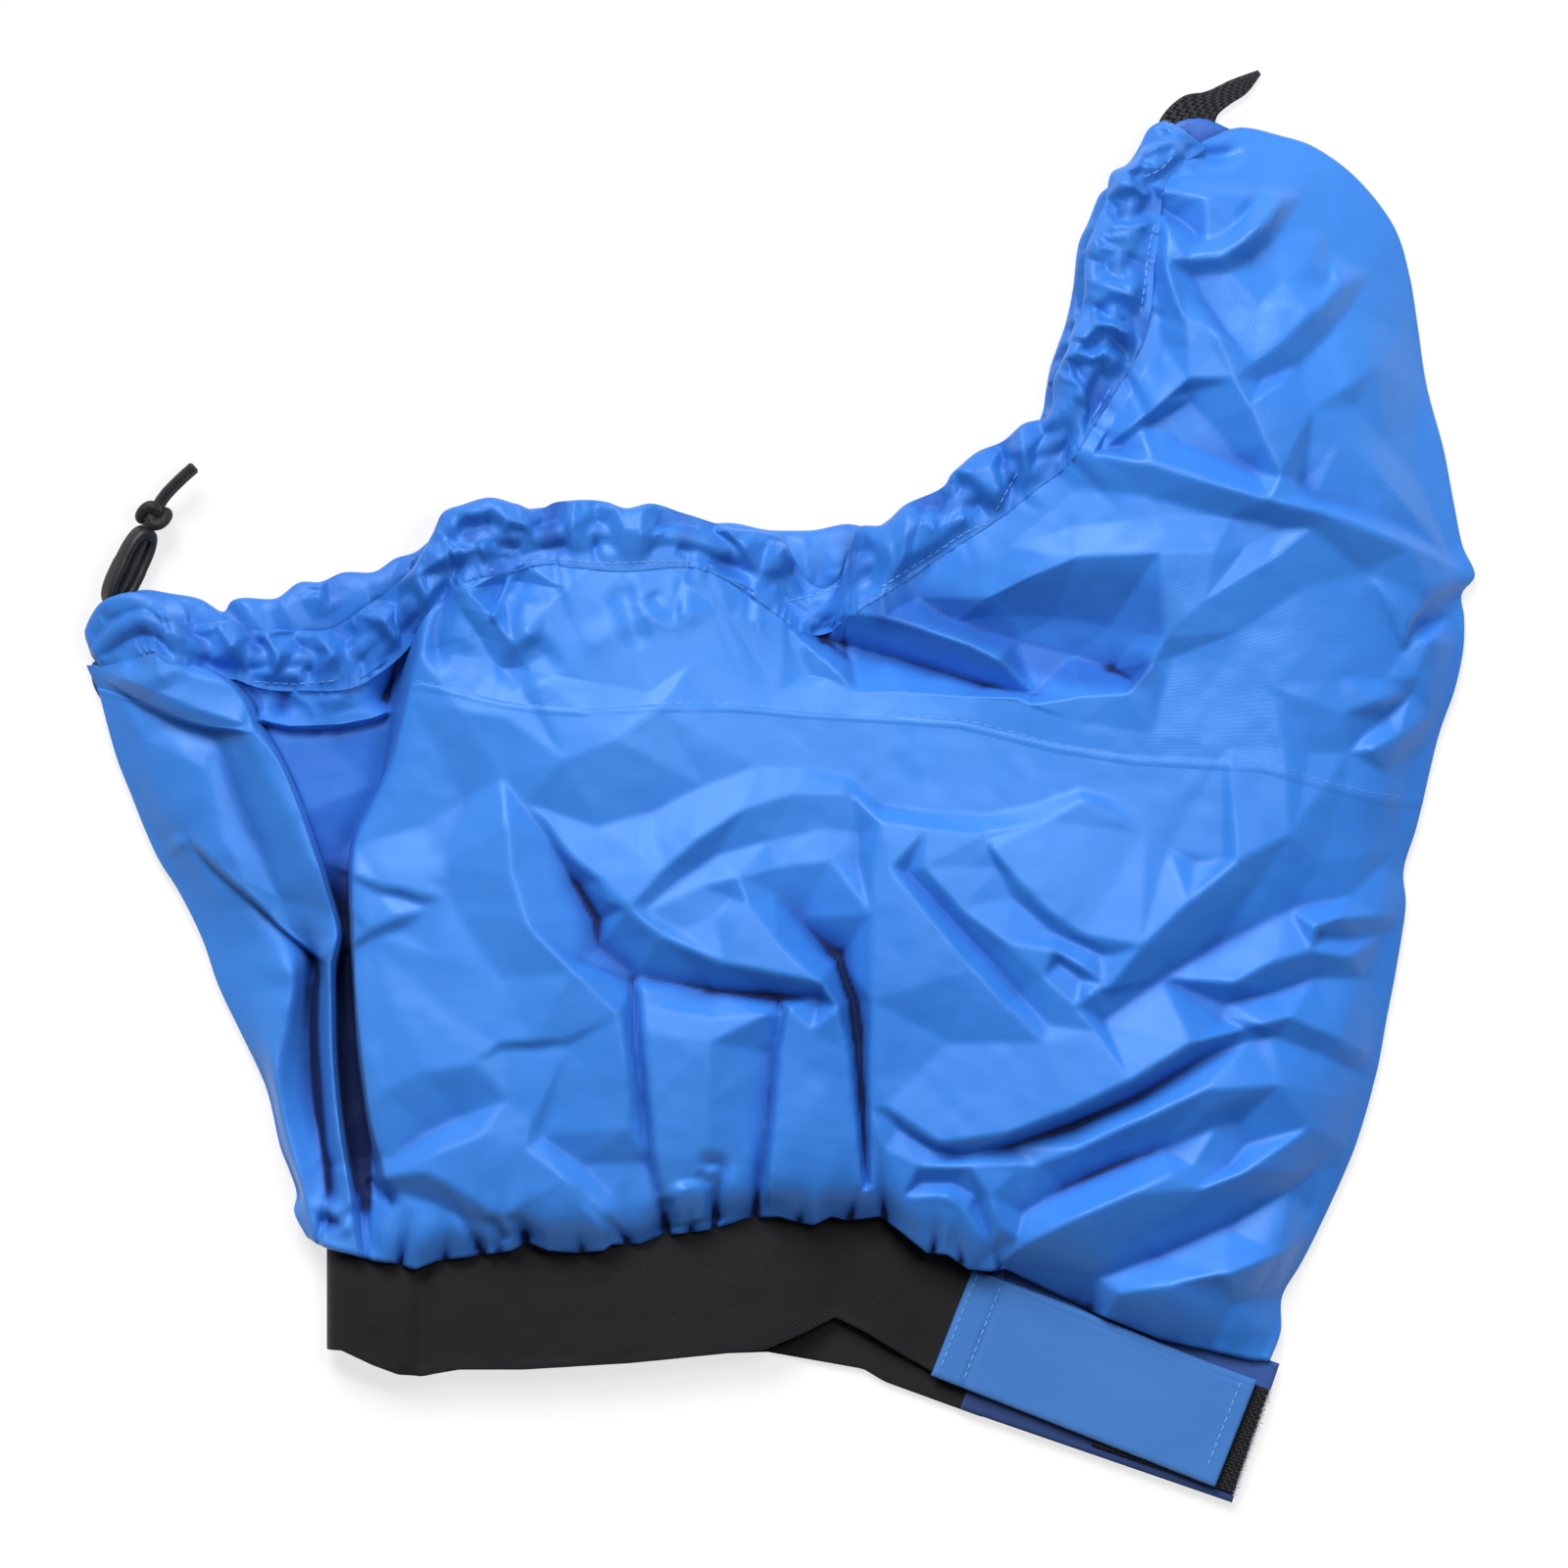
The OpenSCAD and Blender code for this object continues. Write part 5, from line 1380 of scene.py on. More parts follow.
    def shape(self, net: np.ndarray) -> np.ndarray:
        """Add the folds, the gathers and fine wrinkles to the net.

        Args:
            net: Points of the layer, shape (rows, across, 3).

        Returns:
            Points with their folds.
        """
        out = net.copy()
        xy = net[..., :2].reshape(-1, 2)
        facets = CreaseNet(CREASES).heights(xy)
        add = (fold_height(xy) + self.facet_gain * facets).reshape(net.shape[:2])
        edge = self.margin((1, 14), (1, 10))
        out[..., 2] += add * (0.15 + 0.85 * edge) + self.gathers(net) + self.puckers(net) * edge
        fine = (0.45 * value_noise(xy, 19.0, 3) + 0.22 * value_noise(xy + 7.0, 8.0, 4)
                + 0.9 * value_noise(xy * (0.6, 1.0), 42.0, 5)).reshape(net.shape[:2])
        out[..., 2] += fine * edge
        z = out[..., 2]
        z[1:-1, 1:-1] = (z[1:-1, 1:-1] * 4 + z[:-2, 1:-1] + z[2:, 1:-1]
                         + z[1:-1, :-2] + z[1:-1, 2:]) / 8
        out[..., 2] = np.maximum(out[..., 2], self.least_height)
        return out

    def roll_edges(self, grid: np.ndarray, bottom: bool) -> np.ndarray:
        """Turn the side edges, and the waist lip, under in a half round.

        Args:
            grid: Points, shape (rows, cols, 3).
            bottom: Whether the first row is the waist lip.

        Returns:
            The grid with the rolled points added round it.
        """
        turn = np.linspace(0, np.pi, 6)[1:]

        def turned(edge: np.ndarray, inner: np.ndarray, floor: float, least: float,
                   most: float) -> np.ndarray:
            """Points on half circles below an edge, whose radius is half its height.

            Args:
                edge: Points of the edge, shape (n, 3).
                inner: Points inwards of it, shape (n, 3).
                floor: Height of the lower end.
                least: Smallest radius.
                most: Largest radius.

            Returns:
                Points round the turn below each point of the edge.
            """
            radius = np.clip((edge[:, 2] - floor) / 2, least, most)
            out = edge - inner
            out[:, 2] = 0.0
            out = unit(out, 1e-6)[:, None]
            rows = edge[:, None] + out * (np.sin(turn) * 0.5)[None, :, None] * radius[:, None, None]
            rows[..., 2] -= (1 - np.cos(turn))[None, :] * radius[:, None]
            rows -= out * (turn / np.pi)[None, :, None] ** 3 * 1.2
            return rows[:, ::-1]

        if bottom:
            lip = turned(grid[0], grid[4], 1.2, 1.2, 4.5)
            grid = np.concatenate([lip.transpose(1, 0, 2), grid])
        left = turned(grid[:, 0], grid[:, 4], 1.4, 0.8, 3.2)
        right = turned(grid[:, -1], grid[:, -5], 1.4, 0.8, 3.2)[:, ::-1]
        return np.concatenate([left, grid, right], axis=1)

    def depth(self) -> np.ndarray:
        """Share of painted shade at each point of the net: in folds by their depth, in the pleat, and in
        wide hollows.

        Returns:
            Shares, shape (rows, across).
        """
        net = self.net
        # Painted shade in the folds, by their depth, kept off the side edges.
        depth = fold_shade_share(net[..., 2]) * self.margin((8, 24), (14, 44))
        x, y, z = np.moveaxis(net, 2, 0)
        # Painted shade in the pleat between the stern flap and the body, where the cloth lies low.
        floor = 20 + 7 * smoothstep(-y, 160, 192)
        pleat = smoothstep(floor - z, 0, 9) * smoothstep(x, -256, -250) * smoothstep(-x, 188, 192)
        pleat *= smoothstep(np.arange(self.across), 24, 30)
        pleat = pleat * (0.3 + 0.7 * smoothstep(-y, 0, 60)) * smoothstep(34 - y, 0, 8)
        depth = np.maximum(depth, pleat)
        # Painted shade in the wide hollows under laps.
        for line, wide, deep in SHADED_HOLLOWS:
            gap = np.abs(beside(net[..., :2].reshape(-1, 2), np.array(line, float))[0])
            depth = np.maximum(depth, deep * smoothstep(1 - gap / wide, 0, 0.7).reshape(depth.shape))
        return depth

    def build(self) -> None:
        """Make the two pieces of the layer; the deck starts two rows before the seam, over it."""
        self.net = self.shape(self.draw_net())
        seam = self.tunnel_rows - 1
        low = self.roll_edges(self.net[:seam + 2], True)
        deck = self.net[seam - 2:].copy()
        deck[:5, :, 2] += np.array([0.0, 0.3, 0.4, 0.25, 0.1])[:, None]
        deck = self.roll_edges(deck, False)
        self.tunnel, self.deck = (
            to_mesh(name, grid.reshape(-1, 3), grid_faces(*grid.shape[:2]), plain_uv(grid, 1))
            for name, grid in (("tunnel_front_cloth", low), ("deck_front_cloth", deck)))
        # Both pieces carry the painted shade of the folds.
        depth = np.pad(self.depth(), 5, mode="edge")
        set_painted_shade(self.tunnel, depth[:seam + 7])
        set_painted_shade(self.deck, depth[seam + 3:-5])


def fold_height(xy: np.ndarray) -> np.ndarray:
    """Sum of all folds at points in plan."""
    return sum(fold.lift(xy) for fold in FOLDS)


@dataclass
class GatheredHem:
    """A gathered tube of cloth that holds the rim cord.

    Its section is an oval from the outer edge to the stitch line, where its upper face meets the
    deck. Pleats cross it at uneven steps, as flat facets between crease lines that are drawn on
    the unrolled tube: along the hem, and across it.
    """

    name: str
    table: list[list[float]]
    seed: int
    step: float = 1.4
    sides: int = 56
    flat: float = 0.5
    depth: float = 2.4
    crease: tuple[float, float] = (5.0, 20.0)
    half_face: float = 15.0
    under: float = 60.0
    folded: bool = False
    inner: float = 0.4
    calm: float = 0.0
    edge: np.ndarray | None = None
    cord_room: float = 5.0
    tip: float = 9.0
    centre: np.ndarray = field(init=False)

    def pleats(self, length: float) -> CreaseNet:
        """Draw the crease lines of the pleats, a ridge and a valley by turns.

        Args:
            length: Length of the hem.

        Returns:
            The net of creases, in millimetres along the hem and across it.
        """
        rng = np.random.default_rng(self.seed)
        lines = []
        for side in (0.0, self.under):
            place, sign = 2.0, 1
            while place < length:
                lean, bend = rng.normal(0, 5), rng.normal(0, 2)
                size = sign * rng.uniform(0.25, 1) * self.depth
                span = (-self.half_face, self.half_face)
                if rng.random() < 0.2:
                    span = sorted(rng.uniform(*span, 2))
                across = np.linspace(span[0] - 2, span[1] + 2, 4)
                tall = size * (1 + 0.4 * rng.normal(0, 1, 4))
                lines.append([[place + lean * k + bend * (1 - k * k), side + v, h]
                              for k, v, h in zip(np.linspace(-1, 1, 4), across, tall)])
                place += rng.uniform(*self.crease) * (0.35 if sign > 0 else 1)
                sign = -sign
        return CreaseNet(lines, lattice=24.0, clear=9.0, box=(-5.0, -20.0, length + 5.0, 80.0))

    def build(self) -> bpy.types.Object:
        """Make the hem.

        Returns:
            The piece.
        """
        fine = even_curve(self.table, 1600)
        mid = np.c_[(fine[:, 0] + fine[:, 2]) / 2, (fine[:, 1] + fine[:, 3]) / 2, fine[:, 4]]
        run = run_of(mid)
        count = int(run[-1] / self.step)
        at = np.linspace(0, run[-1], count)
        rows, mid = read_at(at, run, fine), read_at(at, run, mid)
        self.centre = mid
        over = rows[:, :2] - rows[:, 2:4]
        half = np.linalg.norm(over, axis=1) / 2
        over /= 2 * half[:, None]
        a = np.arange(self.sides) * 2 * np.pi / self.sides
        c, s = np.cos(a), np.sin(a)
        ends = np.clip(np.minimum(at, run[-1] - at) / self.tip, 0.0, 1.0)[:, None]
        shrink = np.sqrt(1 - (1 - ends) ** 2) * 0.96 + 0.04
        v = np.where(s >= 0, self.half_face * c, self.under - self.half_face * c)
        pleats = self.pleats(run[-1]).heights(pairs(at, v)).reshape(count, self.sides)
        pleats *= 0.3 + 0.7 * smoothstep(at, self.calm, self.calm + 50)[:, None]
        waves = 1.6 * value_noise(np.c_[at, at * 0], 17.0, self.seed + 2)
        reach = np.where(c < 0, 3.4, (2.0 + waves)[:, None] * (1 + 0.02 * pleats * np.abs(c)))
        wide = (half[:, None] + reach) * shrink
        high = np.maximum(half * self.flat, 4.4)[:, None]
        inner = self.inner * np.sqrt(np.clip(-c, 0, 1))
        upper = s >= -1e-9
        puff = np.where(upper, 1, -1) * (np.abs(s) ** 0.85 * (1 - inner) + inner)
        points = np.empty((count, self.sides, 3))
        points[..., :2] = mid[:, None, :2] + (wide * c)[..., None] * over[:, None]
        rise = high * puff * shrink + pleats * np.sign(puff) * shrink * np.minimum(1, 0.35 + np.abs(s))
        if self.folded:
            xy = points[..., :2].reshape(-1, 2)
            broad = CreaseNet(HEM_CREASES, lattice=20.0, clear=10.0).heights(xy).reshape(count, -1)
            rise += ((2.0 * broad + 0.5 * fold_height(xy).reshape(count, -1))
                     * np.clip(0.6 + s, 0, 1))
            pleats = pleats + broad
        if self.edge is not None:
            foot = points[:, self.sides // 2, :2]
            gaps = ((foot[:, None] - self.edge[None, :, :2]) ** 2).sum(axis=2)
            meet = self.edge[gaps.argmin(axis=1), 2] - mid[:, 2] + 0.5
            near = smoothstep(-c, 0.4, 0.97) * upper
            rise = rise * (1 - near) + meet[:, None] * near
        room = self.room(mid, over, wide * c) * shrink
        rise = np.where(s > 0, np.maximum(rise, room), np.minimum(rise, -room))
        points[..., 2] = np.maximum(mid[:, None, 2] + rise, 0.3)
        fans = end_fans(count, self.sides)[:, [1, 0, 2]]
        quads = grid_faces(count, self.sides, wrap_cols=True, flip=True)
        uv = pairs(at * MM, np.arange(self.sides) * 1.2 * MM)
        obj = to_mesh(self.name, np.concatenate([points.reshape(-1, 3), mid[:1], mid[-1:]]),
                      np.concatenate([triangles(quads), fans]), np.concatenate([uv, np.zeros((2, 2))]))
        # Painted shade: in the creases of the pleats on the upper face, and half shade all over the under
        # face.
        share = np.where(s > 0, np.clip(-pleats / 6 - 0.1, 0, 0.7), 0.5)
        set_painted_shade(obj, np.concatenate([share.ravel(), [0.0, 0.0]]))
        turn_outwards(obj)
        return obj

    def room(self, mid: np.ndarray, over: np.ndarray, off: np.ndarray) -> np.ndarray:
        """Least height over the middle that leaves the cord its room.

        The cord is a tube round the middle line, cut by a section that may stand askew to it.

        Args:
            mid: Middle line, shape (n, 3).
            over: Direction of each section in plan, shape (n, 2).
            off: Distance of each point from the middle, shape (n, sides).

        Returns:
            Heights, shape (n, sides).
        """
        way = np.gradient(mid[:, :2], axis=0)
        pace = np.linalg.norm(way, axis=1)
        steep = np.gradient(mid[:, 2]) / pace
        skew = np.abs(over[:, 0] * way[:, 1] - over[:, 1] * way[:, 0]) / pace
        room = np.sqrt(np.clip(self.cord_room ** 2 - (skew[:, None] * off) ** 2, 0, None))
        return room * np.sqrt(1 + steep ** 2)[:, None]


@dataclass
class BackCloth:
    """Back layer, which lies on the floor: tunnel below the seam, deck above it."""

    thick: float = 1.5
    tunnel_lines: tuple = (
        [[-223, -196], [-237, -142], [-263, -80], [-294, -20], [-313, 32]],
        [[-150, -196], [-160, -80], [-200, 30]],
        [[-6, -197], [-20, -80], [-33, 36]],
        [[60, -212], [80, -80], [118, 20]],
        [[108, -238], [140, -80], [170, 12]],
        [[170, -260], [200, -80], [235, 4]],
        [[228, -276], [234, -242], [275, -140], [287, -80], [294, -20], [299, -5]])
    deck_lines: tuple = (
        [[-313, 33], [-322, 48], [-322, 58], [-306, 60]],
        [[-262, 31], [-262, 45], [-262, 63]],
        [[-200, 31], [-198, 52], [-196, 79]],
        [[-117, 35], [-117, 66], [-117, 102]],
        [[-33, 37], [-32, 62], [-30, 96]],
        [[60, 29], [64, 66], [68, 108]],
        [[118, 21], [124, 80], [122, 146]],
        [[180, 11], [188, 90], [165, 184]],
        [[235, 5], [262, 120], [200, 200], [174, 240]],
        [[299, -4], [313, 60], [319, 98], [300, 200], [283, 262], [260, 289], [236, 300], [214, 308],
         [200, 313.5], [188, 312], [179, 303]])

    def sheet(self, name: str, lines: tuple, seed: int) -> bpy.types.Object:
        """Loft one sheet across its lines, with slight waves, and give it its thickness.

        Args:
            name: Name of the piece.
            lines: Lines from the lower edge to the upper, from left to right.
            seed: Seed of the waves.

        Returns:
            The piece.
        """
        rows = np.stack([even_curve(a, 90) for a in lines])
        gap = np.linalg.norm(np.diff(rows, axis=0), axis=2).mean(axis=1)
        knots = np.concatenate([[0.0], np.cumsum(gap)])
        grid = level_curve(knots, rows, np.linspace(0, knots[-1], 200)).transpose(1, 0, 2)
        xy = grid.reshape(-1, 2)
        wave = 0.9 + 0.7 * value_noise(xy, 30.0, seed) + 0.25 * value_noise(xy, 11.0, seed + 1)
        z = np.clip(wave, 0.1, 2.2).reshape(grid.shape[:2]) + self.thick
        if name.startswith("deck"):
            share = np.linspace(0, 1, grid.shape[0])
            z += (5.0 * smoothstep(share, 0.86, 1.0))[:, None]
        top = np.concatenate([grid, z[..., None]], axis=2)
        return to_mesh(name, *slab(top, self.thick), uv=plain_uv(top))

    def build(self) -> tuple[bpy.types.Object, bpy.types.Object]:
        """Make the two sheets."""
        return (self.sheet("tunnel_back_cloth", self.tunnel_lines, 21),
                self.sheet("deck_back_cloth", self.deck_lines, 25))


@dataclass
class Waistband:
    """Neoprene band, folded flat at its left end: run on the floor, fold, upper run."""

    thick: float = 3.6
    fold_x: float = -203.0
    under_end: float = 96.0
    upper_end: float = 100.0
    loop_h: float = 20.0
    counts: tuple[int, int, int] = (120, 22, 150)
    rows: int = 40
    pinch: tuple = ((-175, 5, 1.4), (-167, 3, -1.0))
    crest: tuple = ((-212, 0), (-190, 0.5), (-172, 2.2), (-167, 3.0), (-162, 1.2), (-150, 0.8),
                    (-80, 0.2), (-6, 1.5), (12, 5), (27, 9.5), (50, 9), (66, 11.9), (110, 12))
    upper_edge: tuple = ((-214, -209), (-190, -212), (-150, -206), (-6, -193), (27, -193),
                         (60, -197), (80, -208), (104, -225))
    lower_edge: tuple = ((-212, -265), (-205, -265), (-190, -272), (-178, -276.5), (-168, -277),
                         (-150, -274), (-120, -274), (-70, -271), (-30, -267), (-6, -264.5),
                         (12, -257), (27, -249.5), (40, -256), (60, -268), (73, -275.5), (86, -280))
    under_upper: tuple = ((-214, -193), (0, -194), (40, -204), (96, -226))
    under_lower: tuple = ((-212, -264), (-170, -268), (-60, -268), (-5, -266), (40, -274),
                          (50, -280), (83, -292), (97, -297))

    def build(self) -> bpy.types.Object:
        """Make the band: a profile in x and z carried from its upper to its lower edge.

        Returns:
            The piece.
        """
        under, bend, over = self.counts
        upper = np.linspace(self.fold_x, self.upper_end, over)
        turn = np.linspace(-np.pi / 2, -3 * np.pi / 2, bend + 2)[1:-1]
        r = self.loop_h / 2
        top_z = self.loop_h - np.interp(upper, *np.transpose(self.crest))
        for _ in range(6):
            top_z[1:-1] = (top_z[:-2] + 2 * top_z[1:-1] + top_z[2:]) / 4
        x = np.concatenate([np.linspace(self.under_end, self.fold_x, under),
                            self.fold_x + r * 0.9 * np.cos(turn), upper])
        z = np.concatenate([np.full(under, 0.05), r + r * np.sin(turn), top_z])
        on_top = np.concatenate([np.zeros(under), np.linspace(0, 1, bend), np.ones(over)])
        edges = [np.interp(x, *np.transpose(table)) for table in
                 (self.upper_edge, self.under_upper, self.lower_edge, self.under_lower)]
        high, low = (a * on_top + b * (1 - on_top) for a, b in (edges[:2], edges[2:]))
        t = np.linspace(0, 1, self.rows)[:, None]
        grid = np.empty((self.rows, len(x), 3))
        grid[..., 0] = x
        grid[..., 1] = high * (1 - t) + low * t
        grid[..., 2] = z
        xy = grid[..., :2].reshape(-1, 2)
        bump = 0.5 * value_noise(xy * (1, 0.4), 26.0, 41) + 0.25 * value_noise(xy, 9.0, 42)
        bump = bump.reshape(self.rows, -1) + 1.0 * np.sin(np.pi * t) ** 2
        for place, wide, height in self.pinch:
            bump += height * np.exp(-((x - place) / wide) ** 2)
        bump *= on_top * smoothstep(np.abs(t - 0.5) * -2, -1.0, -0.8) * (x > self.fold_x)
        grid[..., 2] = np.maximum(grid[..., 2] + bump, 0.0)
        points, faces = slab(grid[::-1].copy(), self.thick)
        obj = to_mesh("waistband_neoprene", points, faces, plain_uv(grid))
        bevel = obj.modifiers.new("bevel", "BEVEL")
        bevel.width, bevel.segments = 0.9 * MM, 2
        bevel.limit_method, bevel.angle_limit = "ANGLE", math.radians(50)
        return obj


@dataclass
class PlanStrip:
    """A flat strip set by a corner, a heading and its length and width, as in the part's source."""

    corner: tuple[float, float]
    heading: float
    length: float
    width: float

    def at(self, along: np.ndarray, down: np.ndarray) -> tuple[np.ndarray, np.ndarray]:
        """Places in plan of distances along the heading and to its right.

        Args:
            along: Distances along the strip.
            down: Distances across it.

        Returns:
            x and y.
        """
        h = math.radians(self.heading)
        return (self.corner[0] + along * math.cos(h) + down * math.sin(h),
                self.corner[1] + along * math.sin(h) - down * math.cos(h))

    def grid(self, rows: int, cols: int, start: float = 0.0) -> tuple[np.ndarray, ...]:
        """Even grid over the strip: distances along and across, x and y."""
        down, along = np.meshgrid(np.linspace(self.width, 0, rows),
                                  np.linspace(start, self.length, cols), indexing="ij")
        return along, down, *self.at(along, down)


@dataclass
class ClosingFlaps:
    """Hook-and-loop closing: tab with its loop tape over the receiving flap with its hook tape."""

    tab: PlanStrip = field(default_factory=lambda: PlanStrip((104, -231.5), -21.5, 130, 54))
    flap: PlanStrip = field(default_factory=lambda: PlanStrip((108, -227.5), -19, 135, 69))
    tab_z: float = 10.45
    flap_z: float = 5.85
    root: float = 13.5
    hook_end: float = 134.2

    def build_tab(self) -> bpy.types.Object:
        """Make the tab and its sewn root as one sheet, a little puffed between its seams.

        Returns:
            The piece.
        """
        along, down, x, y = self.tab.grid(60, 150, -self.root)
        s, t = along / self.tab.length, down / self.tab.width
        z = np.full_like(x, self.tab_z)
        hem = smoothstep(t, 0.0, 0.06) * smoothstep(1 - t, 0.0, 0.05)
        z += 0.5 * hem - 0.35 * np.exp(-((along - 3.5) / 1.2) ** 2)
        z += 0.5 * smoothstep(along, -self.root, -11) * (along < 0)
        z += (0.7 * np.sin(np.pi * np.clip(t, 0, 1)) * smoothstep(s, 0.05, 0.3)
              * smoothstep(1 - s, 0.02, 0.2))
        z += 0.25 * value_noise(np.c_[x.ravel(), y.ravel()], 24.0, 51).reshape(x.shape)
        z -= 0.3 * np.exp(-((down - 3.6) / 0.7) ** 2)
        y = y + 0.5 * np.sin(along / 21) * (t < 0.02)
        top = np.stack([x, y, z], -1)
        return to_mesh("closing_tab", *rounded_slab(top, 1.9), plain_uv(top))

    def build_flap(self) -> bpy.types.Object:
        """Make the receiving flap: a flat sheet with a folded edge along both long sides.

        Returns:
            The piece.
        """
        _, down, x, y = self.flap.grid(50, 130)
        z = self.flap_z + 0.3 * value_noise(np.c_[x.ravel(), y.ravel()], 20.0, 61).reshape(x.shape)
        z -= 0.3 * np.exp(-((down - 4) / 0.9) ** 2) + 0.3 * np.exp(-((down - 65) / 0.9) ** 2)
        top = np.stack([x, y, z], -1)
        points, faces = rounded_slab(top, 1.7)
        obj = to_mesh("receiving_flap_cloth", points, faces, plain_uv(top))
        # Painted shadow of the tab across the flap's lower strip, by the distance down the flap.
        turn = math.radians(self.flap.heading)
        down = (points[:, :2] - self.flap.corner) @ (math.sin(turn), -math.cos(turn))
        set_painted_shade(obj, 0.65 * smoothstep(down, 48, 56))
        return obj

    def build_tape(self, name: str, strip: PlanStrip, start: float, end: float, side: float,
                   width: float, z: float) -> bpy.types.Object:
        """Make a tape: a slab with an uneven far end.

        Args:
            name: Name of the piece.
            strip: Strip that it is sewn to.
            start: Where it starts along the strip.
            end: Where it ends.
            side: Distance of its near edge from the strip's edge.
            width: Its width.
            z: Height of its upper face.

        Returns:
            The piece.
        """
        down, along = np.meshgrid(np.linspace(side + width, side, 40), np.linspace(start, end, 46),
                                  indexing="ij")
        along[:, -1] += np.random.default_rng(71).uniform(-0.35, 0.35, 40)
        top = np.stack([*strip.at(along, down), np.full_like(along, z)], -1)
        return to_mesh(name, *rounded_slab(top, 1.0), plain_uv(top))

    def build_fray(self) -> bpy.types.Object:
        """Make the pale fibres along the hook tape's cut end: thin leaning tubes.

        Returns:
            The piece.
        """
        rng = np.random.default_rng(72)
        parts = []
        t = np.linspace(0, 1, 4)
        for down in np.arange(13.0, 66.0, 0.45):
            start = self.hook_end + rng.uniform(-0.4, 0.3)
            reach, lean = rng.uniform(0.9, 2.4), rng.uniform(-0.9, 0.9)
            x, y = self.flap.at(start + reach * t, down + lean * t)
            z = 6.9 + rng.uniform(-0.5, 0.5) + np.sin(t * 2) * rng.uniform(-0.2, 0.5)
            parts.append(swept(np.stack([x, y, z], 1), 0.14, 4))
        return to_mesh("hook_tape_fray", *join_parts(parts))


@dataclass
class GrabStrap:
    """Folded webbing strap sewn under the bow end of the hem."""

    thick: float = 1.1
    heights: tuple[float, float] = (1.75, 2.95)
    left: tuple = ((180, 301), (178, 309), (182, 317), (191, 324.5), (201, 326.5), (213, 332),
                   (225.5, 336.5))
    right: tuple = ((205, 301), (205, 309), (206.5, 315), (212, 320), (219, 324.5), (222, 327.5),
                    (227, 334.5))

    def build(self) -> bpy.types.Object:
        """Make the strap: two layers of webbing that meet in the fold at the tip.

        Returns:
            The piece.
        """
        t = np.linspace(0, 1, 20)[:, None]
        s = np.linspace(0, 1, 60)[None]
        plan = (even_curve(self.right, 60)[None] * t[..., None]
                + even_curve(self.left, 60)[None] * (1 - t[..., None]))
        layers = []
        for k, z in enumerate(self.heights):
            top = np.dstack([plan, np.full(plan.shape[:2], z)])
            top[..., 2] += k * 0.35 * np.sin(np.pi * t) * smoothstep(s, 0.2, 0.6)
            top[..., 1] -= k * 1.3 * smoothstep(s, 0.5, 1.0) * (1 - t)
            top[..., 0] -= k * 0.6 * smoothstep(s, 0.5, 1.0)
            layers.append(rounded_slab(top[::-1].copy(), self.thick))
        uv = np.concatenate([plain_uv(top), plain_uv(top)])
        return to_mesh("grab_strap_webbing", *join_parts(layers), uv)


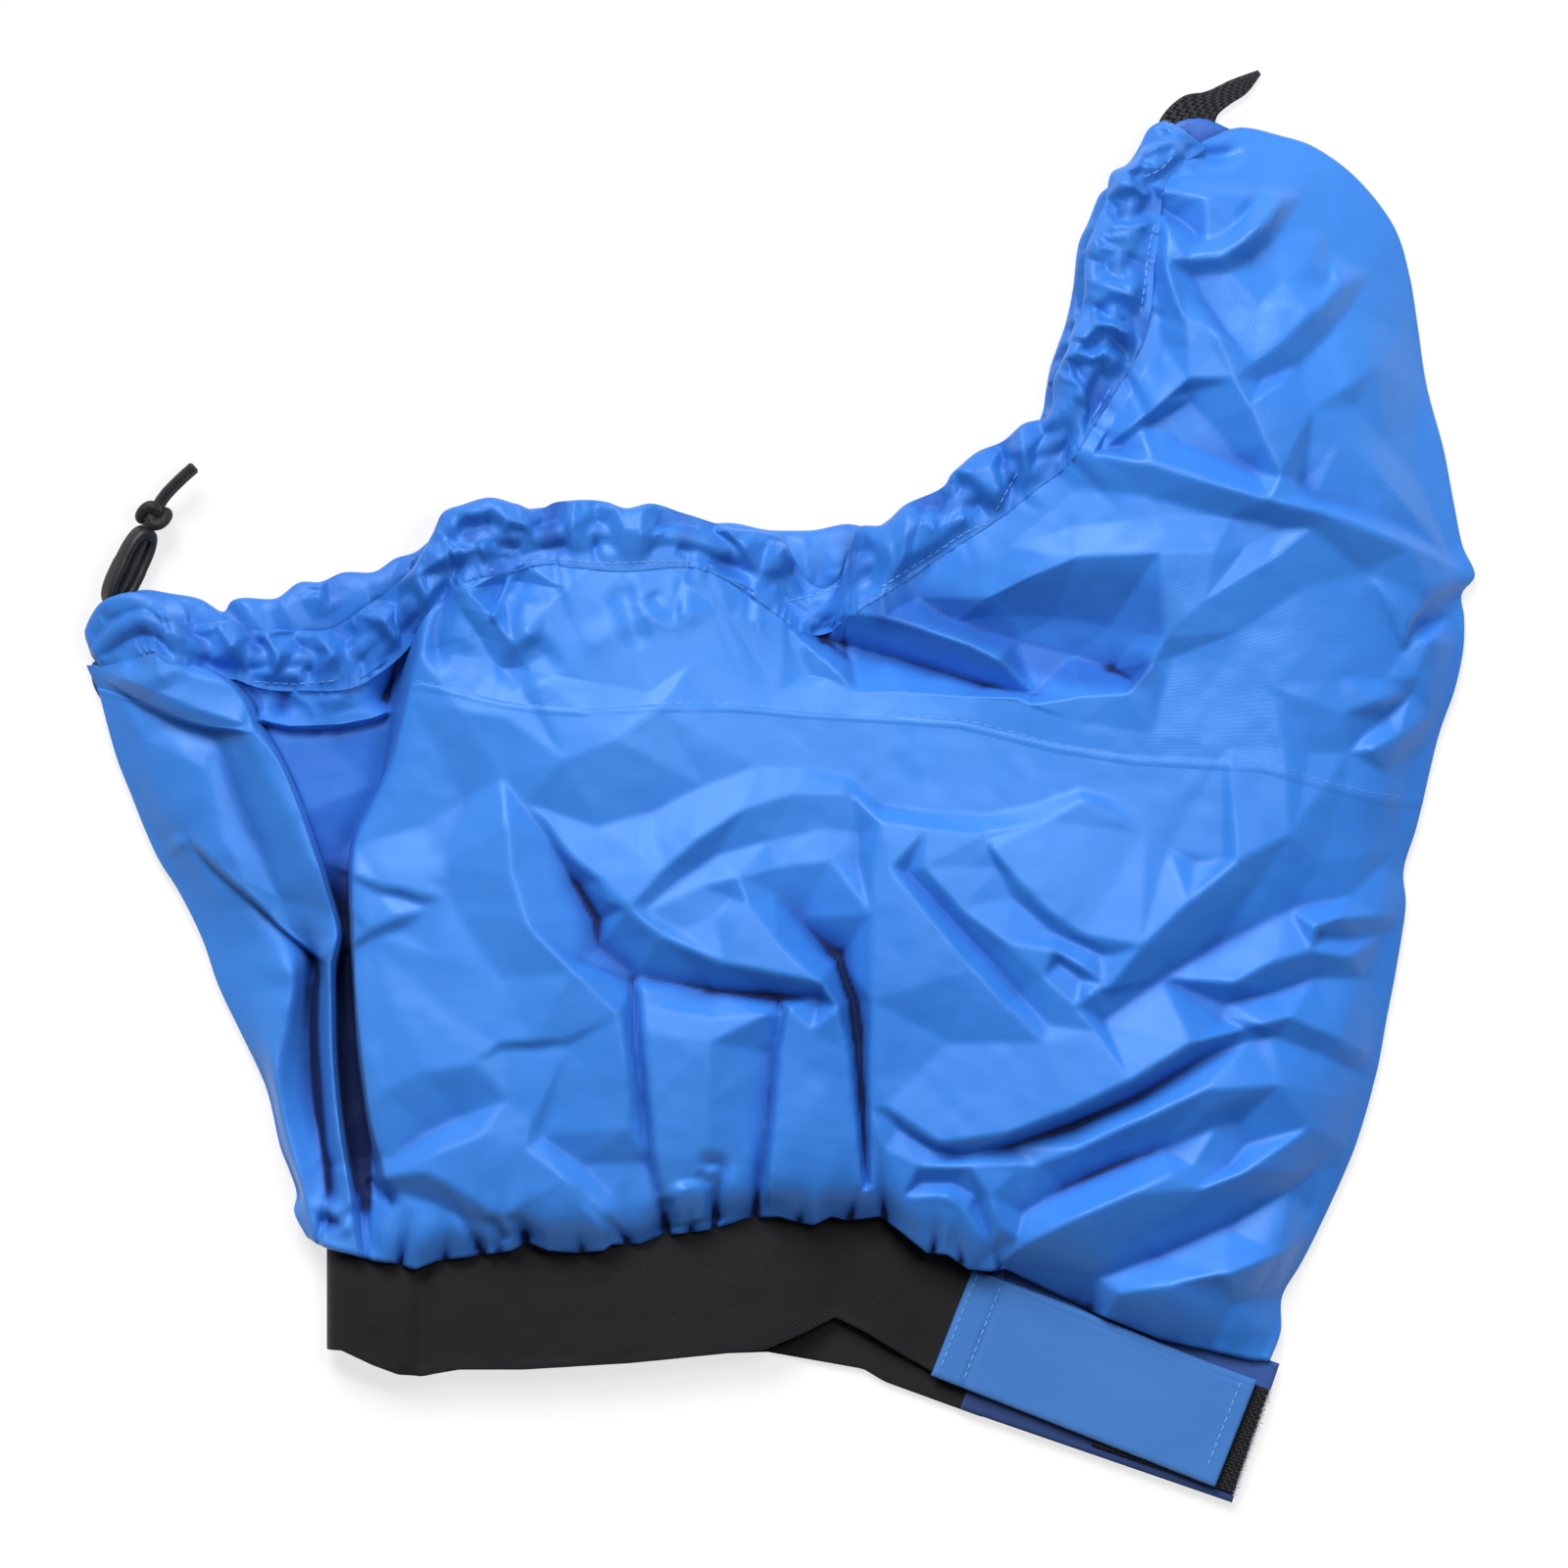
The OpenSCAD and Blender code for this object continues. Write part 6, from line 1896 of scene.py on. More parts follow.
@dataclass
class SternFittings:
    """Moulded hook ring at the stern, the cord's end through it and the stopper knot.

    Shapes are drawn on the ring's own axes, with x along the cord and y across it.
    """

    start: tuple[float, float, float] = (-314.36, 82.89, 10.04)
    heading: float = 64.0
    roll: float = 40.0
    cord_r: float = 3.0
    ring_middle: float = 22.0
    ring_half: tuple[float, float] = (17.8, 6.1)
    wall: float = 2.2
    height: float = 4.4
    knot_at: float = 48.9
    way: tuple = ((0.3, 0, 0), (14, 0, 0), (28, 0, 0), (48, 0.5, 0), (58, 0, 1), (68, -3, 3),
                  (78, -7, 4))

    def placed(self, points: np.ndarray, roll: float = 0.0) -> np.ndarray:
        """Points from the ring's axes, turned about the cord by a roll in degrees.

        Args:
            points: Points on the ring's axes, in millimetres.
            roll: The roll.

        Returns:
            The points in the part's frame.
        """
        m = np.array(Matrix.Translation(self.start)
                     @ Matrix.Rotation(math.radians(self.heading), 4, "Z"))
        m = m @ np.array(Matrix.Rotation(math.radians(roll), 4, "X"))
        return points @ m[:3, :3].T + m[:3, 3]

    def build_ring(self) -> bpy.types.Object:
        """Make the ring: an upright oval section carried round a long loop.

        The loop's middle line is a stadium; the section is a superellipse that is broader at the
        two bridges that the cord runs through.

        Returns:
            The piece.
        """
        def power(v: np.ndarray, n: float) -> np.ndarray:
            """Power of a value's size, with its sign."""
            return np.sign(v) * np.abs(v) ** n

        a = np.linspace(0, 2 * np.pi, 160, endpoint=False)
        x = self.ring_middle + self.ring_half[0] * power(np.cos(a), 0.62)
        path = np.stack([x, self.ring_half[1] * power(np.sin(a), 0.8), np.zeros(len(a))], 1)
        out = np.cross(way_round(path), (0.0, 0.0, 1.0))
        bridge = np.abs(np.cos(a)) ** 6
        wall = self.wall + 0.9 * bridge
        deep = self.height - 0.5 * (1 - bridge) * (x > self.ring_middle + 2)
        b = np.arange(28) * 2 * np.pi / 28
        points = (path[:, None] + np.outer(wall, power(np.cos(b), 0.55))[..., None] * out[:, None]
                  + np.outer(deep, power(np.sin(b), 0.55))[..., None] * (0.0, 0.0, 1.0))
        return closed_loop("hook_ring_moulded", self.placed(points, self.roll))

    def cord_path(self) -> np.ndarray:
        """Middle line of the cord's end, in the part's frame."""
        return self.placed(even_curve(self.way, 120))

    def build_cord_end(self) -> bpy.types.Object:
        """Make the cord's end, with a sealed, slightly swollen cut.

        Returns:
            The piece.
        """
        path = self.cord_path()
        r = np.full(len(path), self.cord_r)
        r[-3:] *= (1.02, 0.96, 0.7)
        return braided_cord("cord_end_braid", path, r, 24)

    def build_knot(self) -> bpy.types.Object:
        """Make the stopper knot: a trefoil of the cord pulled tight round itself.

        Returns:
            The piece.
        """
        t = np.linspace(0, 2 * np.pi, 220, endpoint=False)
        loop = np.stack([self.knot_at - 3.6 * np.sin(3 * t),
                         2.05 * (np.sin(t) + 2 * np.sin(2 * t)) + 0.3,
                         2.05 * (np.cos(t) - 2 * np.cos(2 * t))], 1)
        way = way_round(loop)
        off = loop - loop.mean(0)
        n1 = unit(off - (off * way).sum(1, keepdims=True) * way)
        n2 = np.cross(way, n1)
        b = (np.arange(20) * 2 * np.pi / 20)[None, :, None]
        points = loop[:, None] + 2.75 * (np.cos(b) * n1[:, None] + np.sin(b) * n2[:, None])
        return closed_loop("stopper_knot_cord", self.placed(points))


@dataclass
class RimCord:
    """Elastic cord in the two hems, from the ring round the rim to the stern tip."""

    radius: float = 3.0
    bend: tuple[float, float] = (30.0, 93.0)
    bend_reach: float = 7.0
    bend_dip: tuple[float, float, float] = (1.2, 0.0, -2.0)
    back_top: float = 14.0

    def build(self, front: GatheredHem, back: GatheredHem,
              start: tuple[float, float, float]) -> bpy.types.Object:
        """Make the cord along the middle of both hems and the bend between them at the bow.

        Args:
            front: Front hem.
            back: Back hem.
            start: Where the cord comes out of the ring.

        Returns:
            The piece.
        """
        first = np.array(start)
        a, b = back.centre[4:-4:6], front.centre[::-1][6:-4:6]
        lead = np.array([first, first + (-2.5, -5, -0.7), a[0] + (-4, 6, 0.5)])
        bow = np.array([a[-1] + (4, 9, 2), a[-1] + (10, 15, 7), b[0] + (-4, 7, -6)])
        path = even_curve(np.concatenate([lead, a, bow, b]), 1500)
        for _ in range(12):
            path[1:-1] = (path[:-2] + 2 * path[1:-1] + path[2:]) / 4
        gap = path[:, :2] - self.bend
        near = np.exp(-(gap ** 2).sum(1) / 2 / self.bend_reach ** 2)
        path += near[:, None] * (path[:, 2:] > self.back_top) * np.array(self.bend_dip)
        return braided_cord("rim_cord_braid", path, self.radius, 12)


# ---------------------------------------------------------------- finishes

class NodeTable:
    """Short hand for adding and joining nodes in one node tree."""

    def __init__(self, tree: bpy.types.NodeTree) -> None:
        """Keep the tree that nodes are added to."""
        self.tree = tree

    def fill(self, node: bpy.types.Node, inputs: dict) -> bpy.types.Node:
        """Fill a node's inputs.

        Args:
            node: The node.
            inputs: Input name or number to a value, or to a node or socket that feeds it.

        Returns:
            The same node.
        """
        for key, value in inputs.items():
            if isinstance(value, bpy.types.Node):
                value = value.outputs[0]
            if isinstance(value, bpy.types.NodeSocket):
                self.tree.links.new(value, node.inputs[key])
            else:
                node.inputs[key].default_value = value
        return node

    def add(self, kind: str, inputs: dict | None = None, **values: object) -> bpy.types.Node:
        """Add a node, set its properties and fill its inputs.

        Args:
            kind: Node type, without "ShaderNode".
            inputs: Input name or number to what fills it.
            values: Properties by name.

        Returns:
            The node.
        """
        node = self.tree.nodes.new(kind if kind.startswith("Node") else "ShaderNode" + kind)
        for key, value in values.items():
            setattr(node, key, value)
        return self.fill(node, inputs or {})

    def math(self, what: str, a: object, b: object = 0.0) -> bpy.types.NodeSocket:
        """Result of a maths node."""
        return self.add("Math", {0: a, 1: b}, operation=what).outputs[0]

    def mix(self, share: object, a: object, b: object) -> bpy.types.NodeSocket:
        """Mix of two colours by a share."""
        return self.add("Mix", {0: share, 6: a, 7: b}, data_type="RGBA").outputs[2]

    def mix_value(self, share: object, a: object, b: object) -> bpy.types.NodeSocket:
        """Mix of two numbers by a share."""
        return self.add("Mix", {0: share, 2: a, 3: b}, data_type="FLOAT").outputs[0]


def new_group(name: str, inputs: dict[str, float], *outputs: str) -> tuple:
    """Start a shader node group.

    Args:
        name: Name of the group.
        inputs: Number inputs, beside the vector, and their usual values.
        outputs: Names of its outputs, which are numbers.

    Returns:
        The group, its node table, its inputs by name and its output node.
    """
    group = bpy.data.node_groups.new(name, "ShaderNodeTree")
    group.interface.new_socket(name="Vector", in_out="INPUT", socket_type="NodeSocketVector")
    for key, value in inputs.items():
        group.interface.new_socket(name=key, in_out="INPUT",
                                   socket_type="NodeSocketFloat").default_value = value
    for key in outputs:
        group.interface.new_socket(name=key, in_out="OUTPUT", socket_type="NodeSocketFloat")
    table = NodeTable(group)
    return group, table, table.add("NodeGroupInput").outputs, table.add("NodeGroupOutput")


def weave_group() -> bpy.types.NodeTree:
    """Plain weave: height = |sin x| over the threads one way, |sin y| the other, by turns.

    Returns:
        The group.
    """
    group, t, given, leave = new_group("plain_weave", {"Pitch": 0.0006}, "Height", "Gap")
    part = t.add("SeparateXYZ", {0: given["Vector"]}).outputs
    turn = t.math("DIVIDE", math.pi, given["Pitch"])
    sx, sy = (t.math("SINE", t.math("MULTIPLY", part[k], turn)) for k in (0, 1))
    ax, ay = t.math("ABSOLUTE", sx), t.math("ABSOLUTE", sy)
    over = t.math("GREATER_THAN", t.math("MULTIPLY", sx, sy), 0.0)
    gap = t.math("SUBTRACT", 1.0, t.math("POWER", t.math("MAXIMUM", ax, ay), 3.0))
    t.fill(leave, {"Height": t.mix_value(over, ax, ay), "Gap": gap})
    return group


def crumple_group() -> bpy.types.NodeTree:
    """Fine crumples of thin cloth: folded noise, |noise - 0.5|, at two sizes.

    Returns:
        The group.
    """
    group, t, given, leave = new_group("crumple", {"Scale": 40.0, "Detail": 4.0}, "Height", "Mask")
    at = given["Vector"]
    warp = t.add("TexNoise", {"Vector": at, "Scale": 9.0, "Detail": 1.0}).outputs["Color"]
    shift = t.add("VectorMath", {0: warp, "Scale": 0.02}, operation="SCALE")
    one = t.add("TexNoise", {"Vector": t.add("VectorMath", {0: at, 1: shift}, operation="ADD"),
                             "Scale": given["Scale"], "Detail": given["Detail"],
                             "Roughness": 0.45})
    wide = t.add("TexNoise", {"Vector": at, "Scale": 5.0, "Detail": 3.0})
    fold = t.math("ABSOLUTE", t.math("SUBTRACT", one.outputs[0], 0.5))
    t.fill(leave, {"Height": fold, "Mask": wide})
    return group


def speck_group() -> bpy.types.NodeTree:
    """Specks of dust and lint: bright cells of fine noise.

    Returns:
        The group.
    """
    group, t, given, leave = new_group("lint", {"Scale": 600.0, "Amount": 0.7}, "Mask")
    one = t.add("TexNoise", {"Vector": given["Vector"], "Scale": given["Scale"], "Detail": 2.0})
    t.fill(leave, {"Mask": t.add("MapRange", {0: one, 1: given["Amount"], 2: 0.85})})
    return group


# Radians per metre round a cord: eight strands in CORD_ROUND.
BRAID_ROUND = 2673.0


def braid_group() -> bpy.types.NodeTree:
    """Braided sheath of a cord: two sets of slanting strands over u along and v round.

    Returns:
        The group.
    """
    group, t, given, leave = new_group("braid", {"Strands": 900.0}, "Height")
    part = t.add("SeparateXYZ", {0: given["Vector"]}).outputs
    u = t.math("MULTIPLY", part[0], given["Strands"])
    v = t.math("MULTIPLY", part[1], BRAID_ROUND)
    a, b = (t.math("SINE", t.math(way, u, v)) for way in ("ADD", "SUBTRACT"))
    t.fill(leave, {"Height": t.math("ABSOLUTE", t.math("MULTIPLY", a, b))})
    return group


def linear(hexa: str) -> tuple[float, float, float, float]:
    """Linear colour of a written sRGB colour such as 3A76D0.

    Args:
        hexa: The colour, in six hexadecimal digits.

    Returns:
        Red, green and blue, and 1 for opaque.
    """
    c = np.array([int(hexa[k:k + 2], 16) for k in (0, 2, 4)]) / 255
    c = np.where(c <= 0.04045, c / 12.92, ((c + 0.055) / 1.055) ** 2.4)
    return (*map(float, c), 1.0)


class Coordinates(Enum):
    """What a pattern is laid on."""

    OBJECT = "Object"
    CLOTH = "UV"


GROUPS: dict[str, bpy.types.NodeTree] = {}


def make_groups() -> None:
    """Build the shared node groups once."""
    GROUPS.update(weave=weave_group(), crumple=crumple_group(), lint=speck_group(),
                  braid=braid_group())


# Near-black blue of the painted shade at the bottom of the deepest folds.
PAINTED_DEEP_SHADE = "000B38"
LINT = "8A8A90"


@dataclass(frozen=True)
class Finish:
    """A cloth, webbing or moulded finish.

    The colour is mixed from base to deep by a broad mask and darkened in the gaps of the weave.
    In the folds it carries painted shade, towards the shade colour and then near black. A bump of weave,
    braid and crumples lights it.
    """

    name: str
    base: str
    deep: str
    roughness: float = 0.42
    pitch: float = 0.0
    weave: float = 0.0
    crumple: float = 0.0
    scale: float = 40.0
    sheen: float = 0.0
    sheen_tint: str = "FFFFFF"
    sheen_rough: float = 0.4
    specular: float = 0.5
    specular_tint: str = "FFFFFF"
    lint: float = 0.0
    braid: float = 0.0
    # Colour of the painted shade in folds; empty for none.
    shade: str = ""
    on: Coordinates = Coordinates.OBJECT
    gap_share: float = 0.35
    fold_roughness: float = 0.75

    def build(self) -> bpy.types.Material:
        """Make the material.

        Returns:
            The material.
        """
        mat = bpy.data.materials.new(self.name)
        mat.use_nodes = True
        mat.node_tree.nodes.clear()
        t = NodeTable(mat.node_tree)
        coord = t.add("TexCoord").outputs[self.on.value]
        place = t.add("TexCoord").outputs["Object"]
        deep = linear(self.deep)
        rough = t.add("Group", {"Vector": place, "Scale": self.scale},
                      node_tree=GROUPS["crumple"]).outputs
        mask = t.add("MapRange", {0: rough["Mask"], 1: 0.35, 2: 0.65})
        colour = t.mix(mask, linear(self.base), deep)
        height = t.math("MULTIPLY", rough["Height"], self.crumple)
        if self.pitch:
            weave = t.add("Group", {"Vector": coord, "Pitch": self.pitch},
                          node_tree=GROUPS["weave"]).outputs
            height = t.math("ADD", height, t.math("MULTIPLY", weave["Height"], self.weave))
            colour = t.mix(t.math("MULTIPLY", weave["Gap"], self.gap_share), colour, deep)
        if self.braid:
            braid = t.add("Group", {"Vector": coord}, node_tree=GROUPS["braid"])
            height = t.math("ADD", height, t.math("MULTIPLY", braid, self.braid))
        if self.lint:
            specks = t.add("Group", {"Vector": place, "Amount": 0.68}, node_tree=GROUPS["lint"])
            colour = t.mix(t.math("MULTIPLY", specks, self.lint), colour, linear(LINT))
        roughness = t.add("MapRange", {0: rough["Mask"], 3: self.roughness - 0.04,
                                       4: self.roughness + 0.05})
        # Painted shade in the folds, by the stored share: towards the shade colour, then near black, and
        # rougher.
        if self.shade:
            depth = t.add("Attribute", attribute_name="hollow").outputs["Fac"]
            colour = t.mix(depth, colour, linear(self.shade))
            deep_shade_share = t.add("MapRange", {0: depth, 1: 0.7, 2: 1.0, 4: 0.95})
            colour = t.mix(deep_shade_share, colour, linear(PAINTED_DEEP_SHADE))
            roughness = t.mix_value(depth, roughness, self.fold_roughness)
        shader = t.add("BsdfPrincipled", {
            "Base Color": colour, "Roughness": roughness,
            "Normal": t.add("Bump", {"Height": height, "Distance": 0.001, "Strength": 1.0}),
            "Specular IOR Level": self.specular, "Specular Tint": linear(self.specular_tint),
            "Sheen Weight": self.sheen, "Sheen Roughness": self.sheen_rough,
            "Sheen Tint": linear(self.sheen_tint)})
        t.add("OutputMaterial", {0: shader})
        return mat


NYLON = Finish("tunnel_nylon_satin", "3E84DD", "3077D2", roughness=0.36, pitch=0.0005, weave=0.03,
               crumple=0.9, scale=26.0, sheen=0.1, sheen_tint="8CBCFF", shade="0A3792",
               specular_tint="C8DEFF", on=Coordinates.CLOTH)
DECK_NYLON = replace(NYLON, name="deck_nylon_satin", crumple=1.0, scale=30.0)
HEM_NYLON = replace(NYLON, name="hem_nylon_satin", base="3C82DA", deep="2D71CB", crumple=1.2,
                    scale=45.0)
TAB_NYLON = replace(NYLON, name="tab_nylon_cloth", base="4681CB", deep="3B74BE", roughness=0.48,
                    pitch=0.0006, weave=0.14, crumple=0.5, scale=34.0)
BACK_NYLON = Finish("back_nylon_coated", "2F69C4", "2559B0", roughness=0.48, pitch=0.0005,
                    weave=0.03, crumple=0.8, scale=30.0, sheen=0.15, on=Coordinates.CLOTH)
# The flap's shade colour is used for the painted shadow of the tab.
FLAP_NYLON = replace(BACK_NYLON, name="flap_nylon_cloth", base="275AA6", deep="1C458C",
                     roughness=0.5, shade="061C4C", pitch=0.0006, weave=0.12, crumple=0.6,
                     scale=40.0)
THREAD = Finish("stitching_thread", "86B4EC", "6FA2E0", roughness=0.55, crumple=0.3, scale=900.0,
                sheen=0.2)
NEOPRENE = Finish("waistband_neoprene_jersey", "111114", "0D0D10", roughness=0.72, pitch=0.0009,
                  weave=0.12, crumple=0.25, scale=60.0, sheen=0.2, sheen_tint="B8BCC8",
                  lint=0.10, specular=0.3, on=Coordinates.CLOTH)
HOOK_TAPE = Finish("hook_tape_nylon", "17181B", "0C0D0F", roughness=0.6, pitch=0.0016, weave=0.9,
                   crumple=0.5, scale=200.0, lint=0.25, on=Coordinates.CLOTH)
LOOP_TAPE = Finish("loop_tape_brushed", "1B1C20", "111215", roughness=0.85, crumple=1.6,
                   scale=700.0, sheen=0.5, sheen_tint="C0C4CC", lint=0.2)
FRAY = Finish("tape_fray_fibres", "C9CBD0", "9A9CA4", roughness=0.6, crumple=0.2, scale=900.0)
WEBBING = Finish("strap_webbing_black", "1A1A1D", "101012", roughness=0.62, pitch=0.0022,
                 weave=0.9, crumple=0.4, scale=120.0, sheen=0.3, sheen_tint="B0B4BC", lint=0.08,
                 on=Coordinates.CLOTH)
RING_PLASTIC = Finish("ring_plastic_moulded", "232326", "1B1B1E", roughness=0.44, crumple=0.12,
                      scale=800.0, lint=0.05)
BRAID = Finish("cord_braid_black", "19191C", "0E0E10", roughness=0.6, crumple=0.2, scale=300.0,
               braid=0.5, sheen=0.35, sheen_tint="B0B4BC", on=Coordinates.CLOTH)
KNOT = Finish("knot_cord_black", "19191C", "0E0E10", roughness=0.62, crumple=1.1, scale=420.0,
              sheen=0.35, sheen_tint="B0B4BC")


# ---------------------------------------------------------------- studio

@dataclass
class Studio:
    """White floor and soft lamps, the key from the upper left of the photograph."""

    key_strength: float = 3.2
    key_way: tuple[float, float, float] = (0.20, -0.68, -0.70)
    fill_power: float = 6.5
    fill_place: tuple[float, float, float] = (0.32, 0.20, 1.2)
    fill_side: float = 0.4
    ambient: float = 0.14
    floor_z: float = -0.0006
    floor_half: float = 3.0
    floor_glow: float = 0.72

    def hang(self, lamp: bpy.types.Light, strength: float, way: Vector) -> bpy.types.Object:
        """Hang a lamp so that it shines one way.

        Args:
            lamp: The lamp's data.
            strength: Its strength.
            way: Way in which it shines.

        Returns:
            The lamp's object.
        """
        lamp.energy = strength
        obj = bpy.data.objects.new(lamp.name, lamp)
        obj.rotation_euler = way.to_track_quat("-Z", "Y").to_euler()
        bpy.context.scene.collection.objects.link(obj)
        return obj

    def build(self) -> None:
        """Make the floor, the lamps and the world."""
        scene = bpy.context.scene
        scene.view_settings.view_transform = "Standard"
        mesh = bpy.data.meshes.new("studio_floor")
        corners = [(a * self.floor_half, b * self.floor_half, self.floor_z)
                   for a, b in ((-1, -1), (1, -1), (1, 1), (-1, 1))]
        mesh.from_pydata(corners, [], [(0, 1, 2, 3)])
        floor = bpy.data.objects.new("studio_floor", mesh)
        scene.collection.objects.link(floor)
        mesh.materials.append(self.floor_material())
        key = bpy.data.lights.new("key_lamp", "SUN")
        key.angle = math.radians(30)
        self.hang(key, self.key_strength, Vector(self.key_way))
        fill = bpy.data.lights.new("fill_lamp", "AREA")
        fill.shape, fill.size = "SQUARE", self.fill_side
        self.hang(fill, self.fill_power, -Vector(self.fill_place)).location = self.fill_place
        world = bpy.data.worlds.new("studio_world")
        world.use_nodes = True
        scene.world = world
        t = NodeTable(world.node_tree)
        t.tree.nodes.clear()
        path = t.add("LightPath").outputs
        seen = t.math("MAXIMUM", path["Is Camera Ray"], path["Is Transmission Ray"])
        strength = t.mix_value(seen, self.ambient, 1.0)
        t.add("OutputWorld", {0: t.add("Background", {0: (1, 1, 1, 1), 1: strength})})

    def floor_material(self) -> bpy.types.Material:
        """White floor that keeps a soft share of the object's shadow.

        Returns:
            The material.
        """
        mat = bpy.data.materials.new("studio_floor_white")
        mat.use_nodes = True
        t = NodeTable(mat.node_tree)
        t.tree.nodes.clear()
        path = t.add("LightPath").outputs
        seen = t.math("MAXIMUM", path["Is Camera Ray"],
                      t.math("MAXIMUM", path["Is Glossy Ray"], path["Is Transmission Ray"]))
        paint = t.add("BsdfDiffuse", {"Color": (0.96, 0.96, 0.96, 1)})
        glow = t.add("Emission", {"Color": (1, 1, 1, 1), "Strength": 1.0})
        share = t.math("MULTIPLY", seen, self.floor_glow)
        t.add("OutputMaterial", {0: t.add("MixShader", {0: share, 1: paint, 2: glow})})
        return mat


# ---------------------------------------------------------------- the object

@dataclass
class SpraySkirt:
    """The whole object: builds every sub-assembly and dresses it."""

    camera: PhotoCamera = field(default_factory=PhotoCamera)
    front: FrontCloth = field(default_factory=FrontCloth)
    fittings: SternFittings = field(default_factory=SternFittings)
    closing: ClosingFlaps = field(default_factory=ClosingFlaps)
    pieces: dict[str, bpy.types.Object] = field(default_factory=dict)

    def dress(self, obj: bpy.types.Object, body: Body | None, finish: Finish, slot: str,
              *nodes: str) -> bpy.types.Object:
        """Give a piece its material and body, say which nodes it stands for, and keep it.

        Args:
            obj: The piece.
            body: Body it rides on, or None for a piece that is attached to no body.
            finish: Its finish.
            slot: Material slot of the record that the finish belongs to; not used.
            nodes: CAD nodes that the piece stands for.

        Returns:
            The same piece.
        """
        if finish.name not in bpy.data.materials:
            finish.build()
        obj.data.materials.append(bpy.data.materials[finish.name])
        if body:
            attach(obj, body.value)
        if nodes:
            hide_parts(*nodes)
        log.info("%s: %d faces, rides on %s", obj.name, len(obj.data.polygons),
                 body.value if body else "two bodies")
        self.pieces[obj.name] = obj
        return obj

    def build_cords(self) -> None:
        fit = self.fittings
        tail = self.dress(fit.build_cord_end(), Body.SKIRT, BRAID, "cord_end", "cord_end")
        knot = self.dress(fit.build_knot(), Body.SKIRT, KNOT, "knot_cord", "stopper_knot")
        self.dress(fit.build_ring(), Body.RING, RING_PLASTIC, "ring_plastic", "hook_ring")
        path = fit.cord_path() * MM

    def build_cloth(self) -> None:
        self.front.build()
        tunnel = self.dress(self.front.tunnel, Body.SKIRT, NYLON, "tunnel_nylon", "tunnel_front")
        deck = self.dress(self.front.deck, Body.SKIRT, DECK_NYLON, "deck_nylon", "deck_front")
        tunnel_back, deck_back = BackCloth().build()
        self.dress(tunnel_back, Body.SKIRT, BACK_NYLON, "tunnel_nylon_back", "tunnel_back")
        self.dress(deck_back, Body.SKIRT, BACK_NYLON, "deck_nylon_back", "deck_back")
        front_hem = GatheredHem("hem_front_gathered", FRONT_HEM, 11, folded=True, flat=0.36,
                                calm=25.0, tip=3.5,
                                edge=self.front.net[-16:].reshape(-1, 3)[::2])
        back_hem = GatheredHem("hem_back_gathered", BACK_HEM, 31, flat=0.55, depth=2.0, inner=0.0)
        hem_a = self.dress(front_hem.build(), Body.SKIRT, HEM_NYLON, "hem_nylon_front", "hem_front")
        hem_b = self.dress(back_hem.build(), Body.SKIRT, HEM_NYLON, "hem_nylon_back", "hem_back")
        self.dress(RimCord().build(front_hem, back_hem, self.fittings.start), Body.SKIRT, BRAID,
                   "shock_cord", "rim_cord")

    def build_closing(self) -> None:
        """Make the waistband, the flaps and their tapes."""
        self.dress(Waistband().build(), Body.SKIRT, NEOPRENE, "waistband_neoprene", "waistband")
        closing = self.closing
        tab = self.dress(closing.build_tab(), None, TAB_NYLON, "tab_nylon", "tab_root",
                         "waist_tab")
        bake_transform(tab)
        self.dress(closing.build_flap(), Body.SKIRT, FLAP_NYLON, "flap_nylon", "receiving_flap")
        hooks = closing.build_tape("hook_tape_strip", closing.flap, 64, closing.hook_end, 13, 52, 7.2)
        self.dress(hooks, Body.SKIRT, HOOK_TAPE, "hook_tape", "hook_tape")
        self.dress(closing.build_fray(), Body.SKIRT, FRAY, "hook_tape")
        loops = closing.build_tape("loop_tape_strip", closing.tab, 68, 127, 2, 50, 8.38)
        self.dress(loops, Body.TAB, LOOP_TAPE, "loop_tape", "loop_tape")

    def build_strap(self) -> None:
        """Make the grab strap."""
        strap = self.dress(GrabStrap().build(), None, WEBBING, "strap_webbing",
                           "grab_strap_root", "grab_strap")
        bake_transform(strap)

    def build_stitches(self) -> None:
        """Lay the visible threads on the finished cloth."""
        cloth = tree_of(self.front.tunnel, self.front.deck, self.pieces["hem_front_gathered"])
        for line in STITCHES:
            self.dress(line.build(self.camera, cloth), Body.SKIRT, THREAD, "hem_nylon_front")
        tab = tree_of(self.pieces["closing_tab"])
        for k, (along, first, last) in enumerate(TAB_STITCHES):
            x, y = self.closing.tab.at(along, np.array([first, last]))
            line = StitchLine(f"tab_stitch_{k + 1}", list(zip(x, y)))
            self.dress(line.build(self.camera, tab), Body.TAB if k else Body.SKIRT, THREAD,
                       "tab_nylon")

    def write_points(self) -> None:
        """Write how far each named thing shows from its image point."""
        def image(*names: str) -> np.ndarray:
            """Image places of all the points of some pieces.

            Args:
                names: The pieces' names.

            Returns:
                x and y, shape (n, 2).
            """
            parts = []
            for name in names:
                mesh = self.pieces[name].data
                co = np.empty(len(mesh.vertices) * 3)
                mesh.vertices.foreach_get("co", co)
                parts.append(self.camera.image_of(co.reshape(-1, 3) / MM))
            return np.concatenate(parts)

